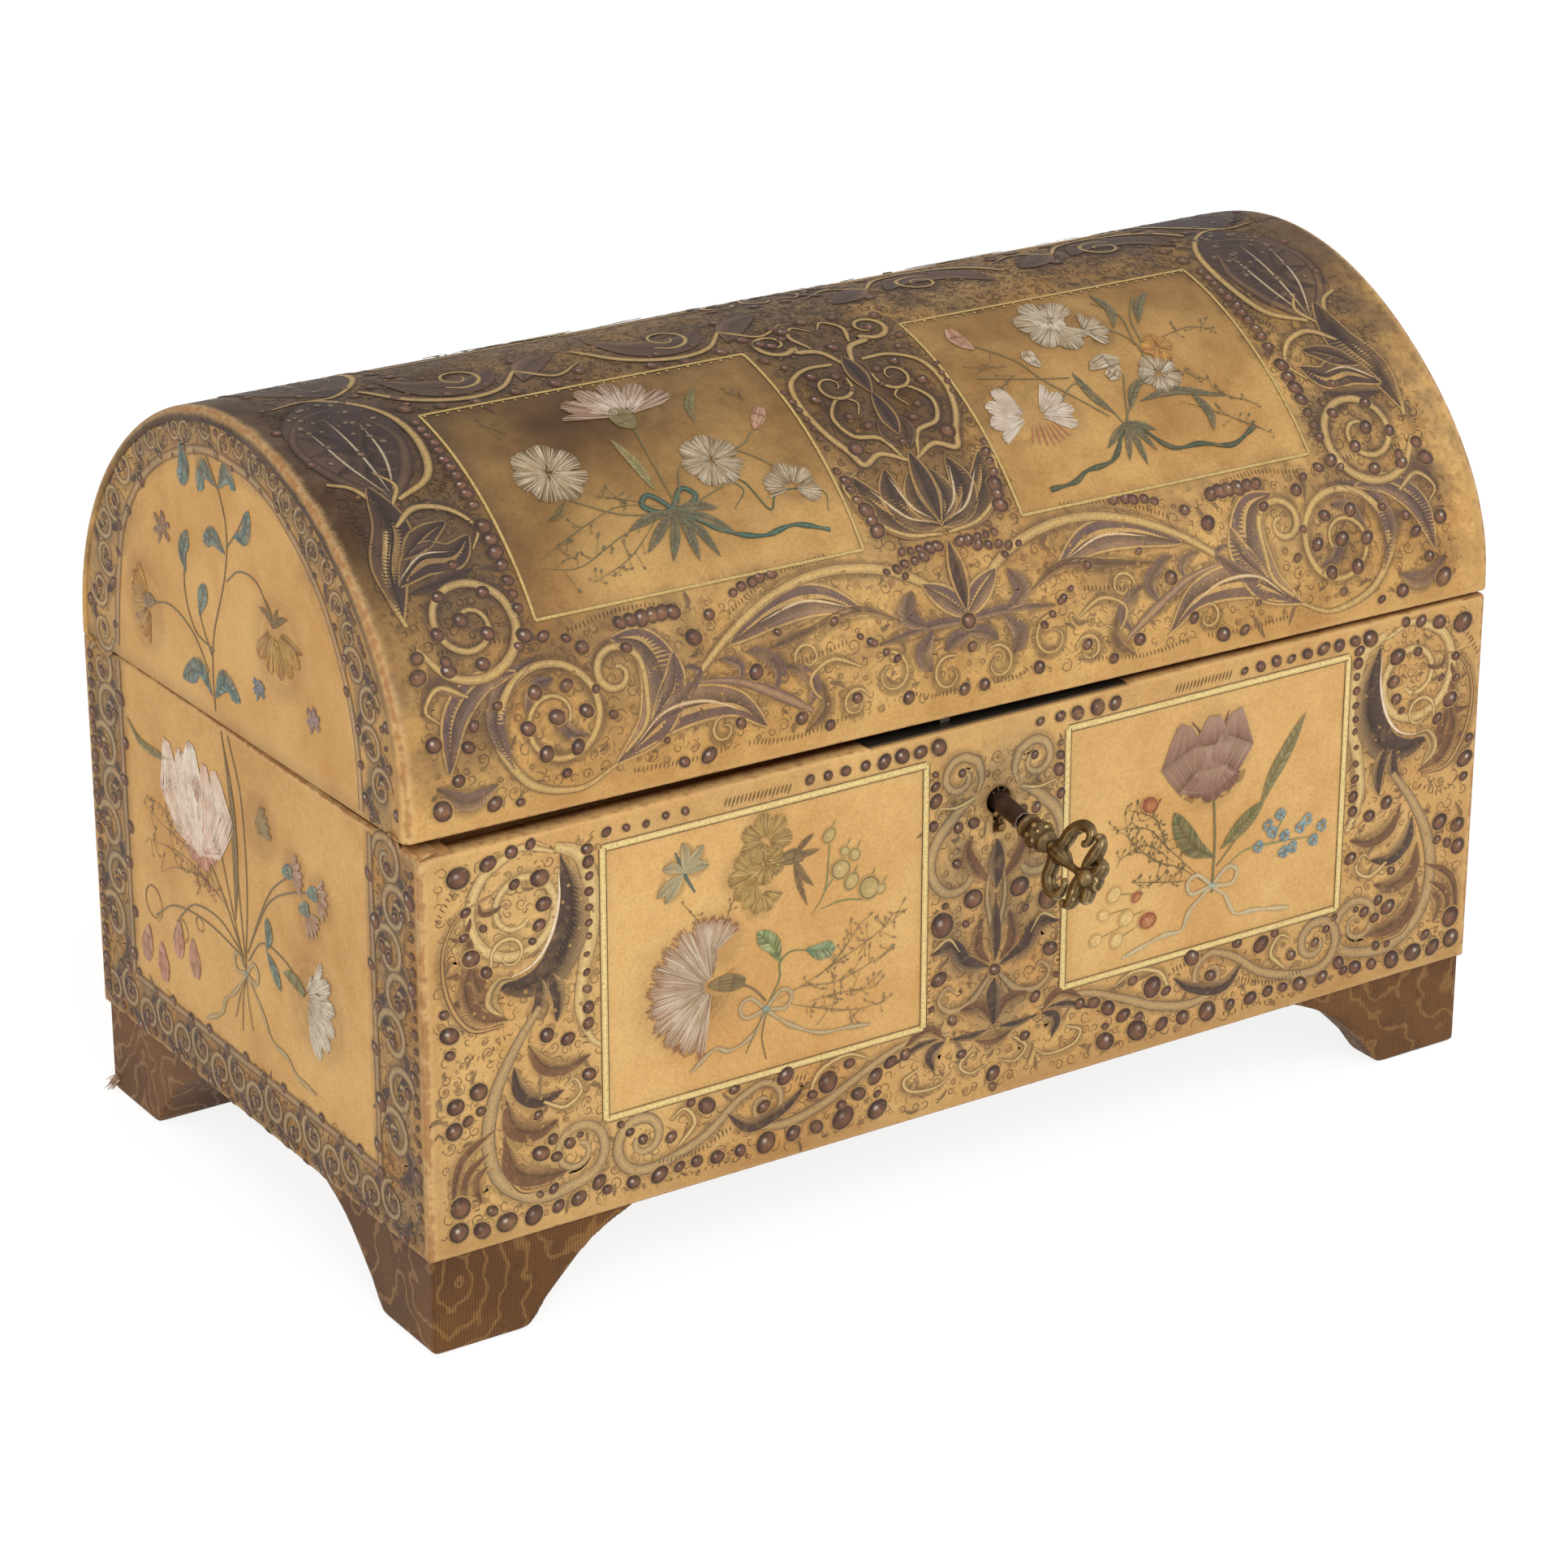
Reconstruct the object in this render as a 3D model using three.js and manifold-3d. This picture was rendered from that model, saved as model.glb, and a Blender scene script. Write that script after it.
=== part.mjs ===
// A small casket of thin boards, covered in painted and embroidered parchment, with a domed lid,
// four cloth-covered bracket feet, two stop hinges and a mortised box lock with its key.
// Millimetres, +Z up, the front towards -Y. The origin is the middle of the footprint, on the table.

import * as THREE from 'three';
import { mergeVertices } from 'three/addons/utils/BufferGeometryUtils.js';
import Module from 'manifold-3d';

const wasm = await Module();
wasm.setup();

// Carcase
const bodyLength = 280;
const bodyDepth = 153.5;
const bodyHeight = 91.1;
const wallBoard = 8.6;
const endBoard = 7;
const floorBoard = 7;
const skin = 0.8;
const liner = 1.4;
const dustLip = 5;
const leftRimRise = 2;

// Feet
const footHeight = 22.7;
const footReachFront = 50.4;
const footReachSide = 49.4;
const footInset = 0.9;
const footBoard = 9.5;
const footCloth = 0.5;

// Lid
const lidOverhangEnds = 2;
const lidShift = -0.4;
const lidOverhangFaces = 0.3;
const lidTaper = 4.6;
const lidRise = 70.6;
const lidStraight = 4;
const lidBoard = 6;
const lidRailHeight = 14;
const lidLiner = 1.2;
const skinLap = 2.8;
const seamFrontLeft = 3.2;
const seamFrontRight = 1.0;
const seamBackLeft = 1.3;
const seamBackRight = 0.3;
const leanAtLeft = -2.4;
const leanAtRight = 1.9;
const swellAtLeft = 0.4;
const sagAtRight = 1.1;
const shoulderLeftShare = 0.013;
const shoulderRightShare = 0.038;

// Fits
const fitGap = 0.3;
const pasteGap = 0.2;
const slideGap = 0.5;
const cutOverrun = 5;

// Hinges
const hingeInset = 55;
const hingeLength = 34;
const hingeLeaf = 1.4;
const hingeLeafWidth = 9;
const lidLeafWidth = 6.4;
const hingeSplit = 0.6;
const knuckleRadius = 2;
const knuckleCount = 5;
const pinRadius = 1;
const pinClearance = 0.05;
const pinHeadRadius = 1.6;
const pinHeadHeight = 0.8;
const pinProud = 1;
const heelReach = 5.2;
const heelAngle = 51;
const heelDepth = 5.6;

// Screws
const screwRadius = 0.9;
const screwHeadRadius = 1.7;
const screwHeadDepth = 0.9;
const hingeScrewLength = 8;
const hingeScrewSpacing = 22;
const hingeScrewInset = 4;
const lockScrewLength = 6.2;
const lockScrewInset = 4;
const strikeScrewSpacing = 34;

// Lock
const keyX = 3.3;
const keyholeDrop = 19.4;
const lockOffset = 0.65;
const lockWidth = 68.5;
const lockPlateHeight = 43;
const lockPlate = 1.2;
const selvedgeDepth = 9.1;
const mortiseWeb = 2;
const mortiseLeft = 20;
const mortiseRight = 27;
const boltThickness = 2;
const boltHeadHeight = 4;
const boltHeight = 7.5;
const boltTail = 24.5;
const boltHeadReach = 10;
const talonDepth = 2.2;
const talonHalfWidth = 1.9;
const studRadius = 0.9;
const studLeftReach = 3;
const studRightReach = 14;
const studHeight = 5;
const springThickness = 0.5;
const springWidth = 2.4;
const springRise = 3.2;
const springLength = 20;
const stapleReach = 12;
const stapleThickness = 2.4;
const stapleLeg = 1;
const stapleSlack = 0.3;
const stapleFoot = 1.4;
const strikeLength = 46;
const strikePlate = 1.2;
const strikeWidth = 5.4;
const strikeLift = 1.9;

// Key
const keyholeRadius = 3.2;
const keyholeSlot = 3;
const shankRadius = 2.25;
const boreRadius = 1.5;
const boreDepth = 6.5;
const postRadius = 0.9;
const postLength = 4.2;
const keyDroop = 11;
const keyHalfTurn = 25;
const keyInside = 8.6;
const keyShankOut = 9.5;
const tenonRadius = 1.2;
const tenonLength = 4.5;
const bitThickness = 2;
const bitReach = 7;
const bitWidth = 2.8;
const bitSetback = 0.2;
const boltSeat = 5.1;
const collarRadius = 2.9;
const collarLength = 8.5;
const bowLength = 19.1;
const bowWidth = 18.6;
const bowThickness = 3.2;
const bowBevel = 0.5;
const beadRadius = 1.2;
const bossRadius = 1.9;

// Facets
const archSteps = 38;
const lidSteps = 3;
const roundSteps = 20;
const screwSteps = 10;
const bowSteps = 5;

const degrees = Math.PI / 180;
const lidLength = bodyLength + lidOverhangEnds;
const lidDepth = bodyDepth + lidOverhangFaces;
const outerX = bodyLength / 2;
const boardX = outerX - skin;
const innerX = boardX - endBoard;
const outerY = bodyDepth / 2;
const boardY = outerY - skin;
const innerY = boardY - wallBoard;
const floorUnder = footHeight;
const floorTop = floorUnder + floorBoard;
const rim = footHeight + bodyHeight;
const boardTop = rim - skin;
const lockX = keyX + lockOffset;

// Closed solids
function toSolid(geometry) {
  const bare = geometry.clone();
  for (const name of ['normal', 'uv', 'color']) bare.deleteAttribute(name);
  const merged = mergeVertices(bare, 1e-4);
  const vertProperties = new Float32Array(merged.attributes.position.array);
  const triVerts = new Uint32Array(merged.index.array);
  return new wasm.Manifold(new wasm.Mesh({ numProp: 3, vertProperties, triVerts }));
}

function toGeometry(solid) {
  const mesh = solid.getMesh();
  const geometry = new THREE.BufferGeometry();
  geometry.setAttribute('position', new THREE.BufferAttribute(new Float32Array(mesh.vertProperties), 3));
  geometry.setIndex(new THREE.BufferAttribute(new Uint32Array(mesh.triVerts), 1));
  geometry.computeVertexNormals();
  return geometry;
}

const join = (...parts) => parts.map(toSolid).reduce((whole, part) => whole.add(part));
const cut = (body, ...tools) => tools.map(toSolid).reduce((left, tool) => left.subtract(tool), toSolid(body));
const overlap = (body, tool) => toSolid(body).intersect(toSolid(tool));
const joined = (...parts) => toGeometry(join(...parts));
const trimmed = (body, ...tools) => toGeometry(cut(body, ...tools));
const common = (body, tool) => toGeometry(overlap(body, tool));

// Prisms and rounds
function slab(x0, x1, y0, y1, z0, z1) {
  const box = new THREE.BoxGeometry(x1 - x0, y1 - y0, z1 - z0);
  return box.translate((x0 + x1) / 2, (y0 + y1) / 2, (z0 + z1) / 2);
}

function outlineOf(points) {
  return new THREE.Shape(points.map(([u, v]) => new THREE.Vector2(u, v)));
}

function extruded(shape, depth, axes, steps = 1) {
  const geometry = new THREE.ExtrudeGeometry(shape, { depth, bevelEnabled: false, steps });
  return geometry.applyMatrix4(new THREE.Matrix4().makeBasis(...axes));
}

const unitX = new THREE.Vector3(1, 0, 0);
const unitY = new THREE.Vector3(0, 1, 0);
const unitZ = new THREE.Vector3(0, 0, 1);
const backY = new THREE.Vector3(0, -1, 0);

// An outline in Y and Z, running from x0 to x1
function alongX(points, x0, x1, steps = 1) {
  return extruded(outlineOf(points), x1 - x0, [unitY, unitZ, unitX], steps).translate(x0, 0, 0);
}

// An outline in X and Z, running from y0 to y1
function alongY(points, y0, y1) {
  return extruded(outlineOf(points), y1 - y0, [unitX, unitZ, backY]).translate(0, y1, 0);
}

// A turned piece standing on the origin along +Z, from pairs of radius and height
function turned(profile, steps = roundSteps) {
  const points = profile.map(([r, h]) => new THREE.Vector2(r, h));
  return new THREE.LatheGeometry(points, steps).rotateX(Math.PI / 2);
}

function rod(radius, length, steps = roundSteps) {
  return turned([[0, 0], [radius, 0], [radius, length], [0, length]], steps);
}

const rodAlongX = (radius, x0, x1, y, z) => rod(radius, x1 - x0).rotateY(Math.PI / 2).translate(x0, y, z);
const rodAlongY = (radius, y0, y1, x, z) => rod(radius, y1 - y0).rotateX(-Math.PI / 2).translate(x, y0, z);

// Pieces and finishes
const finishes = {
  poplar: { color: 0x9c7446, roughness: 0.75, metalness: 0 },
  parchment: { color: 0xc9a25f, roughness: 0.5, metalness: 0 },
  lidParchment: { color: 0x9b7a4c, roughness: 0.5, metalness: 0 },
  silk: { color: 0x7a5526, roughness: 0.6, metalness: 0 },
  brocade: { color: 0x6f5028, roughness: 0.8, metalness: 0 },
  iron: { color: 0x4a443d, roughness: 0.5, metalness: 0.9 },
  brass: { color: 0x8d7443, roughness: 0.4, metalness: 0.9 },
  steel: { color: 0x453c39, roughness: 0.35, metalness: 0.9 },
};
for (const [name, look] of Object.entries(finishes)) finishes[name] = new THREE.MeshStandardMaterial(look);

const casket = new THREE.Group();
function piece(name, geometry, finish, parent = casket) {
  const mesh = new THREE.Mesh(geometry, finishes[finish]);
  mesh.name = name;
  parent.add(mesh);
  return mesh;
}

// The key's own frame: z runs out of the lock along the shank, y lies in the plane of the bow
const droop = keyDroop * degrees;
const turn = keyHalfTurn * degrees;
const keyholeZ = rim - keyholeDrop;
const keyOut = new THREE.Vector3(0, -Math.cos(droop), -Math.sin(droop));
const keyLift = new THREE.Vector3(0, -Math.sin(droop), Math.cos(droop));
const bowUp = keyLift.clone().multiplyScalar(Math.cos(turn)).addScaledVector(unitX, Math.sin(turn));
const bowFace = bowUp.clone().cross(keyOut);
const key = new THREE.Group();
key.position.set(keyX, -outerY, keyholeZ);
key.quaternion.setFromRotationMatrix(new THREE.Matrix4().makeBasis(bowFace, bowUp, keyOut));
casket.add(key);
const keyAxisAt = (y) => keyholeZ + (y + outerY) * Math.tan(droop);

// Screws, countersunk, pointing along -Z from the origin; a clearance widens them into their hole
function screw(length, clearance = 0) {
  const shank = screwRadius + clearance;
  const head = screwHeadRadius + clearance;
  const tip = -length - clearance;
  const profile = [[0, tip], [shank, tip + shank / 2], [shank, -screwHeadDepth], [head, 0]];
  const top = clearance > 0 ? [[head, clearance], [0, clearance]] : [[0, 0]];
  return turned([...profile, ...top], screwSteps);
}

// Lock: where its parts lie
const mortiseFront = -boardY + mortiseWeb;
const plateFace = -innerY;
const bitMid = -(keyInside - bitSetback - bitWidth / 2);
const bitMidY = -outerY - bitMid * Math.cos(droop);
const bitTipY = bitMidY - bitReach * Math.sin(droop);
const boltY = bitTipY + slideGap;
const bitAxisZ = keyAxisAt(bitMidY);
const boltFoot = bitAxisZ + boltSeat;
const boltTop = boltFoot + boltHeight;
const boltHeadFoot = boltTop - boltHeadHeight - fitGap;
const boltTravel = 2 * bitReach * Math.sin(turn);
const talonX = keyX + bitReach * Math.sin(turn);
const stapleX = keyX - stapleReach;
const eyeWidth = boltThickness + 2 * stapleSlack;
const stapleWidth = eyeWidth + 2 * stapleLeg;
const mortiseFoot = bitAxisZ - bitReach - slideGap * 2;
const selvedgeFoot = rim - lockPlate;
const lockFoot = rim - lockPlateHeight;
const selvedgeFront = -innerY + lockPlate - selvedgeDepth;
const lockScrewPlaces = [-1, 1].flatMap((side) => [-1, 1].map((row) => [
  lockX + side * (lockWidth / 2 - lockScrewInset),
  (lockFoot + selvedgeFoot) / 2 + row * ((selvedgeFoot - lockFoot) / 2 - lockScrewInset),
]));
const lockScrewAt = ([x, z], clearance = 0) => screw(lockScrewLength, clearance)
  .rotateX(-Math.PI / 2).translate(x, -innerY + lockPlate, z);

// The keyhole: a round hole with a slot below it for the bit
function keyholeCutter(y0, y1) {
  const foot = keyholeZ - bitReach - slideGap;
  const slot = slab(keyX - keyholeSlot / 2, keyX + keyholeSlot / 2, y0, y1, foot, keyholeZ);
  return joined(rodAlongY(keyholeRadius, y0, y1, keyX, keyholeZ), slot);
}

const keyhole = keyholeCutter(-outerY - cutOverrun, mortiseFront + cutOverrun / 2);
const mortise = slab(keyX - mortiseLeft, keyX + mortiseRight, mortiseFront, -innerY + cutOverrun,
  mortiseFoot, selvedgeFoot + cutOverrun);
const selvedgeSeat = slab(lockX - lockWidth / 2 - fitGap, lockX + lockWidth / 2 + fitGap,
  selvedgeFront - fitGap, -innerY + cutOverrun, selvedgeFoot, rim + cutOverrun);

// Hinges: where their parts lie
const pinY = outerY + pinProud;
const pinZ = rim + hingeSplit / 2;
const hingePlaces = { left: hingeInset - outerX, right: outerX - hingeInset };
const hingeScrewXs = (x) => [x - hingeScrewSpacing / 2, x + hingeScrewSpacing / 2];
const hingeScrewY = boardY - hingeScrewInset;

// What the hinge needs cut out of the carcase: its leaf's seat and room for the knuckles
function bodyHingeSeat(x) {
  const half = hingeLength / 2 + fitGap;
  const seat = slab(x - half, x + half, pinY - pinProud - skin - hingeLeafWidth, pinY, rim - hingeLeaf,
    rim + cutOverrun);
  const roll = rodAlongX(knuckleRadius + fitGap, x - half - pinHeadHeight, x + half + pinHeadHeight, pinY, pinZ);
  return joined(seat, roll);
}

const bodyHingeScrews = (x, clearance = 0) => hingeScrewXs(x).map((sx) => screw(hingeScrewLength, clearance)
  .translate(sx, hingeScrewY, rim));
const lidHingeScrews = (x, clearance = 0) => hingeScrewXs(x).map((sx) => screw(hingeScrewLength, clearance)
  .rotateX(Math.PI).translate(sx, hingeScrewY, rim + hingeSplit));

// Carcase boards
piece('bottom_board', slab(-boardX, boardX, -boardY, boardY, floorUnder, floorTop), 'poplar');

piece('front_board', trimmed(
  slab(-innerX, innerX, -boardY, -innerY, floorTop, boardTop),
  keyhole, mortise, selvedgeSeat, ...lockScrewPlaces.map((place) => lockScrewAt(place, fitGap)),
), 'poplar');

piece('back_board', trimmed(
  slab(-innerX, innerX, innerY, boardY, floorTop, boardTop),
  ...Object.values(hingePlaces).map(bodyHingeSeat),
  ...Object.values(hingePlaces).flatMap((x) => bodyHingeScrews(x, fitGap)),
), 'poplar');

// An end's outline in Y and Z: its rim may rise towards the front, where its corner is rounded off
function endOutline(foot, top, rise, round) {
  const corner = [];
  for (let i = 0; i <= bowSteps; i += 1) {
    const a = (i / bowSteps) * (Math.PI / 2);
    corner.push([-boardY + round * (1 - Math.sin(a)), top + rise - round * (1 - Math.cos(a))]);
  }
  const front = rise > 0 ? corner : [[-boardY, top]];
  return [[-boardY, foot], [boardY, foot], [boardY, top], ...front];
}

const endRises = { left: leftRimRise, right: 0 };
for (const [side, rise] of Object.entries(endRises)) {
  const away = side === 'left' ? -1 : 1;
  const span = (a, b) => [Math.min(a * away, b * away), Math.max(a * away, b * away)];
  const board = alongX(endOutline(floorTop, boardTop, rise, leftRimRise), ...span(innerX, boardX));
  piece(`${side}_board`, board, 'poplar');
  const sheet = alongX(endOutline(floorUnder, rim, rise, leftRimRise), ...span(innerX, outerX));
  const core = alongX(endOutline(floorUnder - cutOverrun, boardTop, rise, leftRimRise), ...span(0, boardX));
  piece(`body_parchment_${side}`, trimmed(sheet, core), 'parchment');
}

// Parchment on the front and back, turned in over the rim
function faceSheet(away) {
  const span = (a, b) => [Math.min(a * away, b * away), Math.max(a * away, b * away)];
  const face = slab(-outerX, outerX, ...span(boardY, outerY), floorUnder, rim);
  const turnIn = slab(-innerX, innerX, ...span(innerY, boardY), boardTop, rim);
  return joined(face, turnIn);
}

piece('body_parchment_front', trimmed(faceSheet(-1), keyhole, selvedgeSeat), 'parchment');
piece('body_parchment_back', trimmed(faceSheet(1), ...Object.values(hingePlaces).map(bodyHingeSeat)), 'parchment');

// Silk on pasteboard inside, standing above the rim as a dust lip
const lipTop = rim + dustLip;
const linerFoot = floorTop + liner;
const lockNotch = slab(lockX - lockWidth / 2 - slideGap, lockX + lockWidth / 2 + slideGap,
  -innerY - cutOverrun, -innerY + liner + cutOverrun, lockFoot - slideGap, lipTop + cutOverrun);
piece('lining_floor', slab(-innerX, innerX, -innerY, innerY, floorTop, linerFoot), 'silk');
piece('lining_front', trimmed(slab(-innerX, innerX, -innerY, -innerY + liner, linerFoot, lipTop), lockNotch), 'silk');
piece('lining_back', slab(-innerX, innerX, innerY - liner, innerY, linerFoot, lipTop), 'silk');
piece('lining_left', slab(-innerX, -innerX + liner, -innerY + liner, innerY - liner, linerFoot, lipTop), 'silk');
piece('lining_right', slab(innerX - liner, innerX, -innerY + liner, innerY - liner, linerFoot, lipTop), 'silk');

// Bracket feet, curved along both faces, as shares of their reach and height: the front pair are two
// mitred boards, and the back pair are cut from the block
const footShares = [[0, 0.04], [0.006, 0.012], [0.018, 0], [0.42, 0], [0.455, 0.02], [0.49, 0.1], [0.555, 0.3],
  [0.63, 0.47], [0.7, 0.62], [0.78, 0.76], [0.86, 0.86], [0.93, 0.93], [1, 1]];
const footFlatShare = 0.2;

function footOutline(reach, inset, foot = 0) {
  const curve = footShares.map(([along, up]) => {
    const place = along < footFlatShare ? reach * along + inset : reach * along - inset;
    return [place, foot + (footHeight - foot) * up];
  });
  return [[inset, footHeight], ...curve];
}

function footSolid(awayX, awayY, inset, foot) {
  const mirrorX = (points) => points.map(([u, v]) => [awayX * (outerX - footInset - u), v]);
  const mirrorY = (points) => points.map(([u, v]) => [awayY * (outerY - footInset - u), v]);
  const alongFront = mirrorX(footOutline(footReachFront, inset, foot));
  const alongSide = mirrorY(footOutline(footReachSide, inset, foot));
  const crossed = common(alongY(alongFront, -outerY, outerY), alongX(alongSide, -outerX, outerX));
  if (awayY > 0) return crossed;
  const behindX = awayX * (outerX - footInset - footBoard + inset);
  const behindY = awayY * (outerY - footInset - footBoard + inset);
  const hollow = slab(Math.min(0, behindX), Math.max(0, behindX), Math.min(0, behindY), Math.max(0, behindY),
    -cutOverrun, footHeight + cutOverrun);
  return trimmed(crossed, hollow);
}

const corners = { front_left: [-1, -1], front_right: [1, -1], back_left: [-1, 1], back_right: [1, 1] };
for (const [corner, [awayX, awayY]] of Object.entries(corners)) {
  piece(`foot_core_${corner}`, footSolid(awayX, awayY, footCloth + fitGap), 'poplar');
  const well = footSolid(awayX, awayY, footCloth);
  piece(`foot_cover_${corner}`, trimmed(footSolid(awayX, awayY, 0, fitGap), well), 'brocade');
}

// Lid: its arch, as points in Y and Z from the front rim over to the back rim
const halfDepth = lidDepth / 2;
const halfLength = lidLength / 2;
const domeRise = lidRise - lidStraight;

function onArch(inset, a) {
  return [-(halfDepth - inset) * Math.cos(a), lidStraight + (domeRise - inset) * Math.sin(a)];
}

function arch(inset, foot = 0) {
  const half = halfDepth - inset;
  const low = Math.asin(Math.max(0, foot - lidStraight) / (domeRise - inset));
  const points = [];
  for (let i = 0; i <= archSteps; i += 1) {
    points.push(onArch(inset, THREE.MathUtils.lerp(low, Math.PI - low, i / archSteps)));
  }
  return foot < lidStraight ? [[-half, foot], ...points, [half, foot]] : points;
}

const archBand = (outer, inner, foot = 0) => [...arch(outer, foot), ...arch(inner, foot).reverse()];

// The old lid has warped: each corner stands its own height above the rim, it narrows to the left,
// and its dome leans, has flattened shoulders and has sagged at the right
function settleLid(geometry) {
  const places = geometry.attributes.position;
  for (let i = 0; i < places.count; i += 1) {
    const [x, y, z] = [places.getX(i), places.getY(i), places.getZ(i)];
    const toRight = x / lidLength + 0.5;
    const toBack = y / lidDepth + 0.5;
    const front = THREE.MathUtils.lerp(seamFrontLeft, seamFrontRight, toRight);
    const back = THREE.MathUtils.lerp(seamBackLeft, seamBackRight, toRight);
    const narrow = THREE.MathUtils.lerp(1 - lidTaper / lidDepth, 1, toRight);
    const lean = THREE.MathUtils.lerp(leanAtLeft, leanAtRight, toRight) * (z / lidRise);
    const swell = THREE.MathUtils.lerp(swellAtLeft, -sagAtRight, toRight) * (z / lidRise);
    const seam = THREE.MathUtils.lerp(front, back, toBack);
    const above = Math.max(z - lidStraight, 0);
    const shoulder = (2 * (above / domeRise) * (y / halfDepth)) ** 2;
    const full = 1 - THREE.MathUtils.lerp(shoulderLeftShare, shoulderRightShare, toRight) * shoulder;
    places.setXYZ(i, x + lidShift, y * full * narrow + lean, z - above * (1 - full) + swell + rim + seam);
  }
  return geometry;
}

// Parchment over the dome, turned in under the rails and lapped round onto both ends
const railInset = skin + pasteGap;
const shellInset = railInset + lidBoard;
const lidWoodFoot = skin + pasteGap;
const domeCover = alongX(archBand(0, skin), -halfLength, halfLength, lidSteps);
const turnInStrip = (away) => {
  const [near, far] = [halfDepth - shellInset, halfDepth - skin / 2].map((y) => y * away);
  const outline = [[near, 0], [far, 0], [far, skin], [near, skin]];
  return alongX(outline, -halfLength + skin, halfLength - skin, lidSteps);
};
const lapRing = (x0, x1) => alongX(archBand(0, skinLap), x0, x1);
const domeSheet = joined(...[domeCover, turnInStrip(-1), turnInStrip(1), lapRing(-halfLength, -halfLength + skin),
  lapRing(halfLength - skin, halfLength)].map(settleLid));

// What the lid needs cut for its hinge leaves, the strike plate and their screws
const lidHingeRoom = (x) => {
  const half = hingeLength / 2 + fitGap;
  const seat = slab(x - half, x + half, hingeScrewY - lidLeafWidth / 2 - fitGap, pinY + cutOverrun,
    rim - cutOverrun, rim + hingeSplit + hingeLeaf + fitGap);
  const roll = rodAlongX(knuckleRadius + fitGap, x - half - pinHeadHeight, x + half + pinHeadHeight, pinY, pinZ);
  return joined(seat, roll);
};
const lidHingeCuts = Object.values(hingePlaces).flatMap((x) => [lidHingeRoom(x), ...lidHingeScrews(x, fitGap)]);
const stapleY = boltY;
const strikeFoot = rim + strikeLift;
const strikeTop = strikeFoot + strikePlate;
const strikeScrewXs = [lockX - strikeScrewSpacing / 2, lockX + strikeScrewSpacing / 2];
const strikeScrews = (clearance = 0) => strikeScrewXs.map((x) => screw(hingeScrewLength, clearance)
  .rotateX(Math.PI).translate(x, stapleY, strikeFoot));
const strikeRoom = slab(lockX - strikeLength / 2 - fitGap, lockX + strikeLength / 2 + fitGap,
  stapleY - strikeWidth / 2 - fitGap, stapleY + strikeWidth / 2 + fitGap, rim - cutOverrun, strikeTop + fitGap);
const strikeCuts = [strikeRoom, ...strikeScrews(fitGap)];

piece('lid_parchment_dome', trimmed(domeSheet, ...lidHingeCuts, ...strikeCuts), 'lidParchment');

// Rails and the bent dome board, between the same two arches
function railSide(inset, foot, top) {
  const high = Math.asin((top - lidStraight) / (domeRise - inset));
  const points = [[inset - halfDepth, foot]];
  for (let i = 0; i <= bowSteps; i += 1) {
    points.push(onArch(inset, (i / bowSteps) * high));
  }
  return points;
}

const railFace = [...railSide(railInset, lidWoodFoot, lidRailHeight),
  ...railSide(shellInset, lidWoodFoot, lidRailHeight).reverse()];
const shellSpan = [-halfLength + railInset, halfLength - railInset];
const frontRail = settleLid(alongX(railFace, ...shellSpan, lidSteps));
const backRail = settleLid(alongX(railFace.map(([u, v]) => [-u, v]), ...shellSpan, lidSteps));
piece('lid_rail_front', trimmed(frontRail, ...strikeCuts), 'poplar');
piece('lid_rail_back', trimmed(backRail, ...lidHingeCuts), 'poplar');
const domeBoard = alongX(archBand(railInset, shellInset, lidRailHeight + pasteGap), ...shellSpan, lidSteps);
piece('lid_dome_board', settleLid(domeBoard), 'poplar');

// Ends of the lid, and their painted sheets with a turn-in below
const endInset = shellInset + fitGap;
const lidLinerInset = endInset + lidLiner + fitGap;
const lidLinerFoot = dustLip + fitGap;
for (const side of ['left', 'right']) {
  const away = side === 'left' ? -1 : 1;
  const span = (a, b) => [Math.min(a * away, b * away), Math.max(a * away, b * away)];
  const face = halfLength - railInset;
  const back = face - endBoard;
  piece(`lid_end_board_${side}`, settleLid(alongX(arch(endInset, lidWoodFoot), ...span(back, face))), 'poplar');
  const sheet = alongX(arch(skinLap + fitGap), ...span(halfLength - skin, halfLength));
  const turnIn = slab(...span(back, halfLength - skin / 2), -halfDepth + endInset, halfDepth - endInset, 0, skin);
  piece(`lid_parchment_${side}`, settleLid(joined(sheet, turnIn)), 'lidParchment');
  piece(`lid_lining_${side}`, settleLid(alongX(arch(lidLinerInset, lidLinerFoot), ...span(back - lidLiner, back))),
    'silk');
}

const liningBand = archBand(endInset, endInset + lidLiner, lidLinerFoot);
const liningHalf = halfLength - railInset - endBoard - fitGap;
piece('lid_lining_dome', settleLid(alongX(liningBand, -liningHalf, liningHalf, lidSteps)), 'silk');

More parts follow.
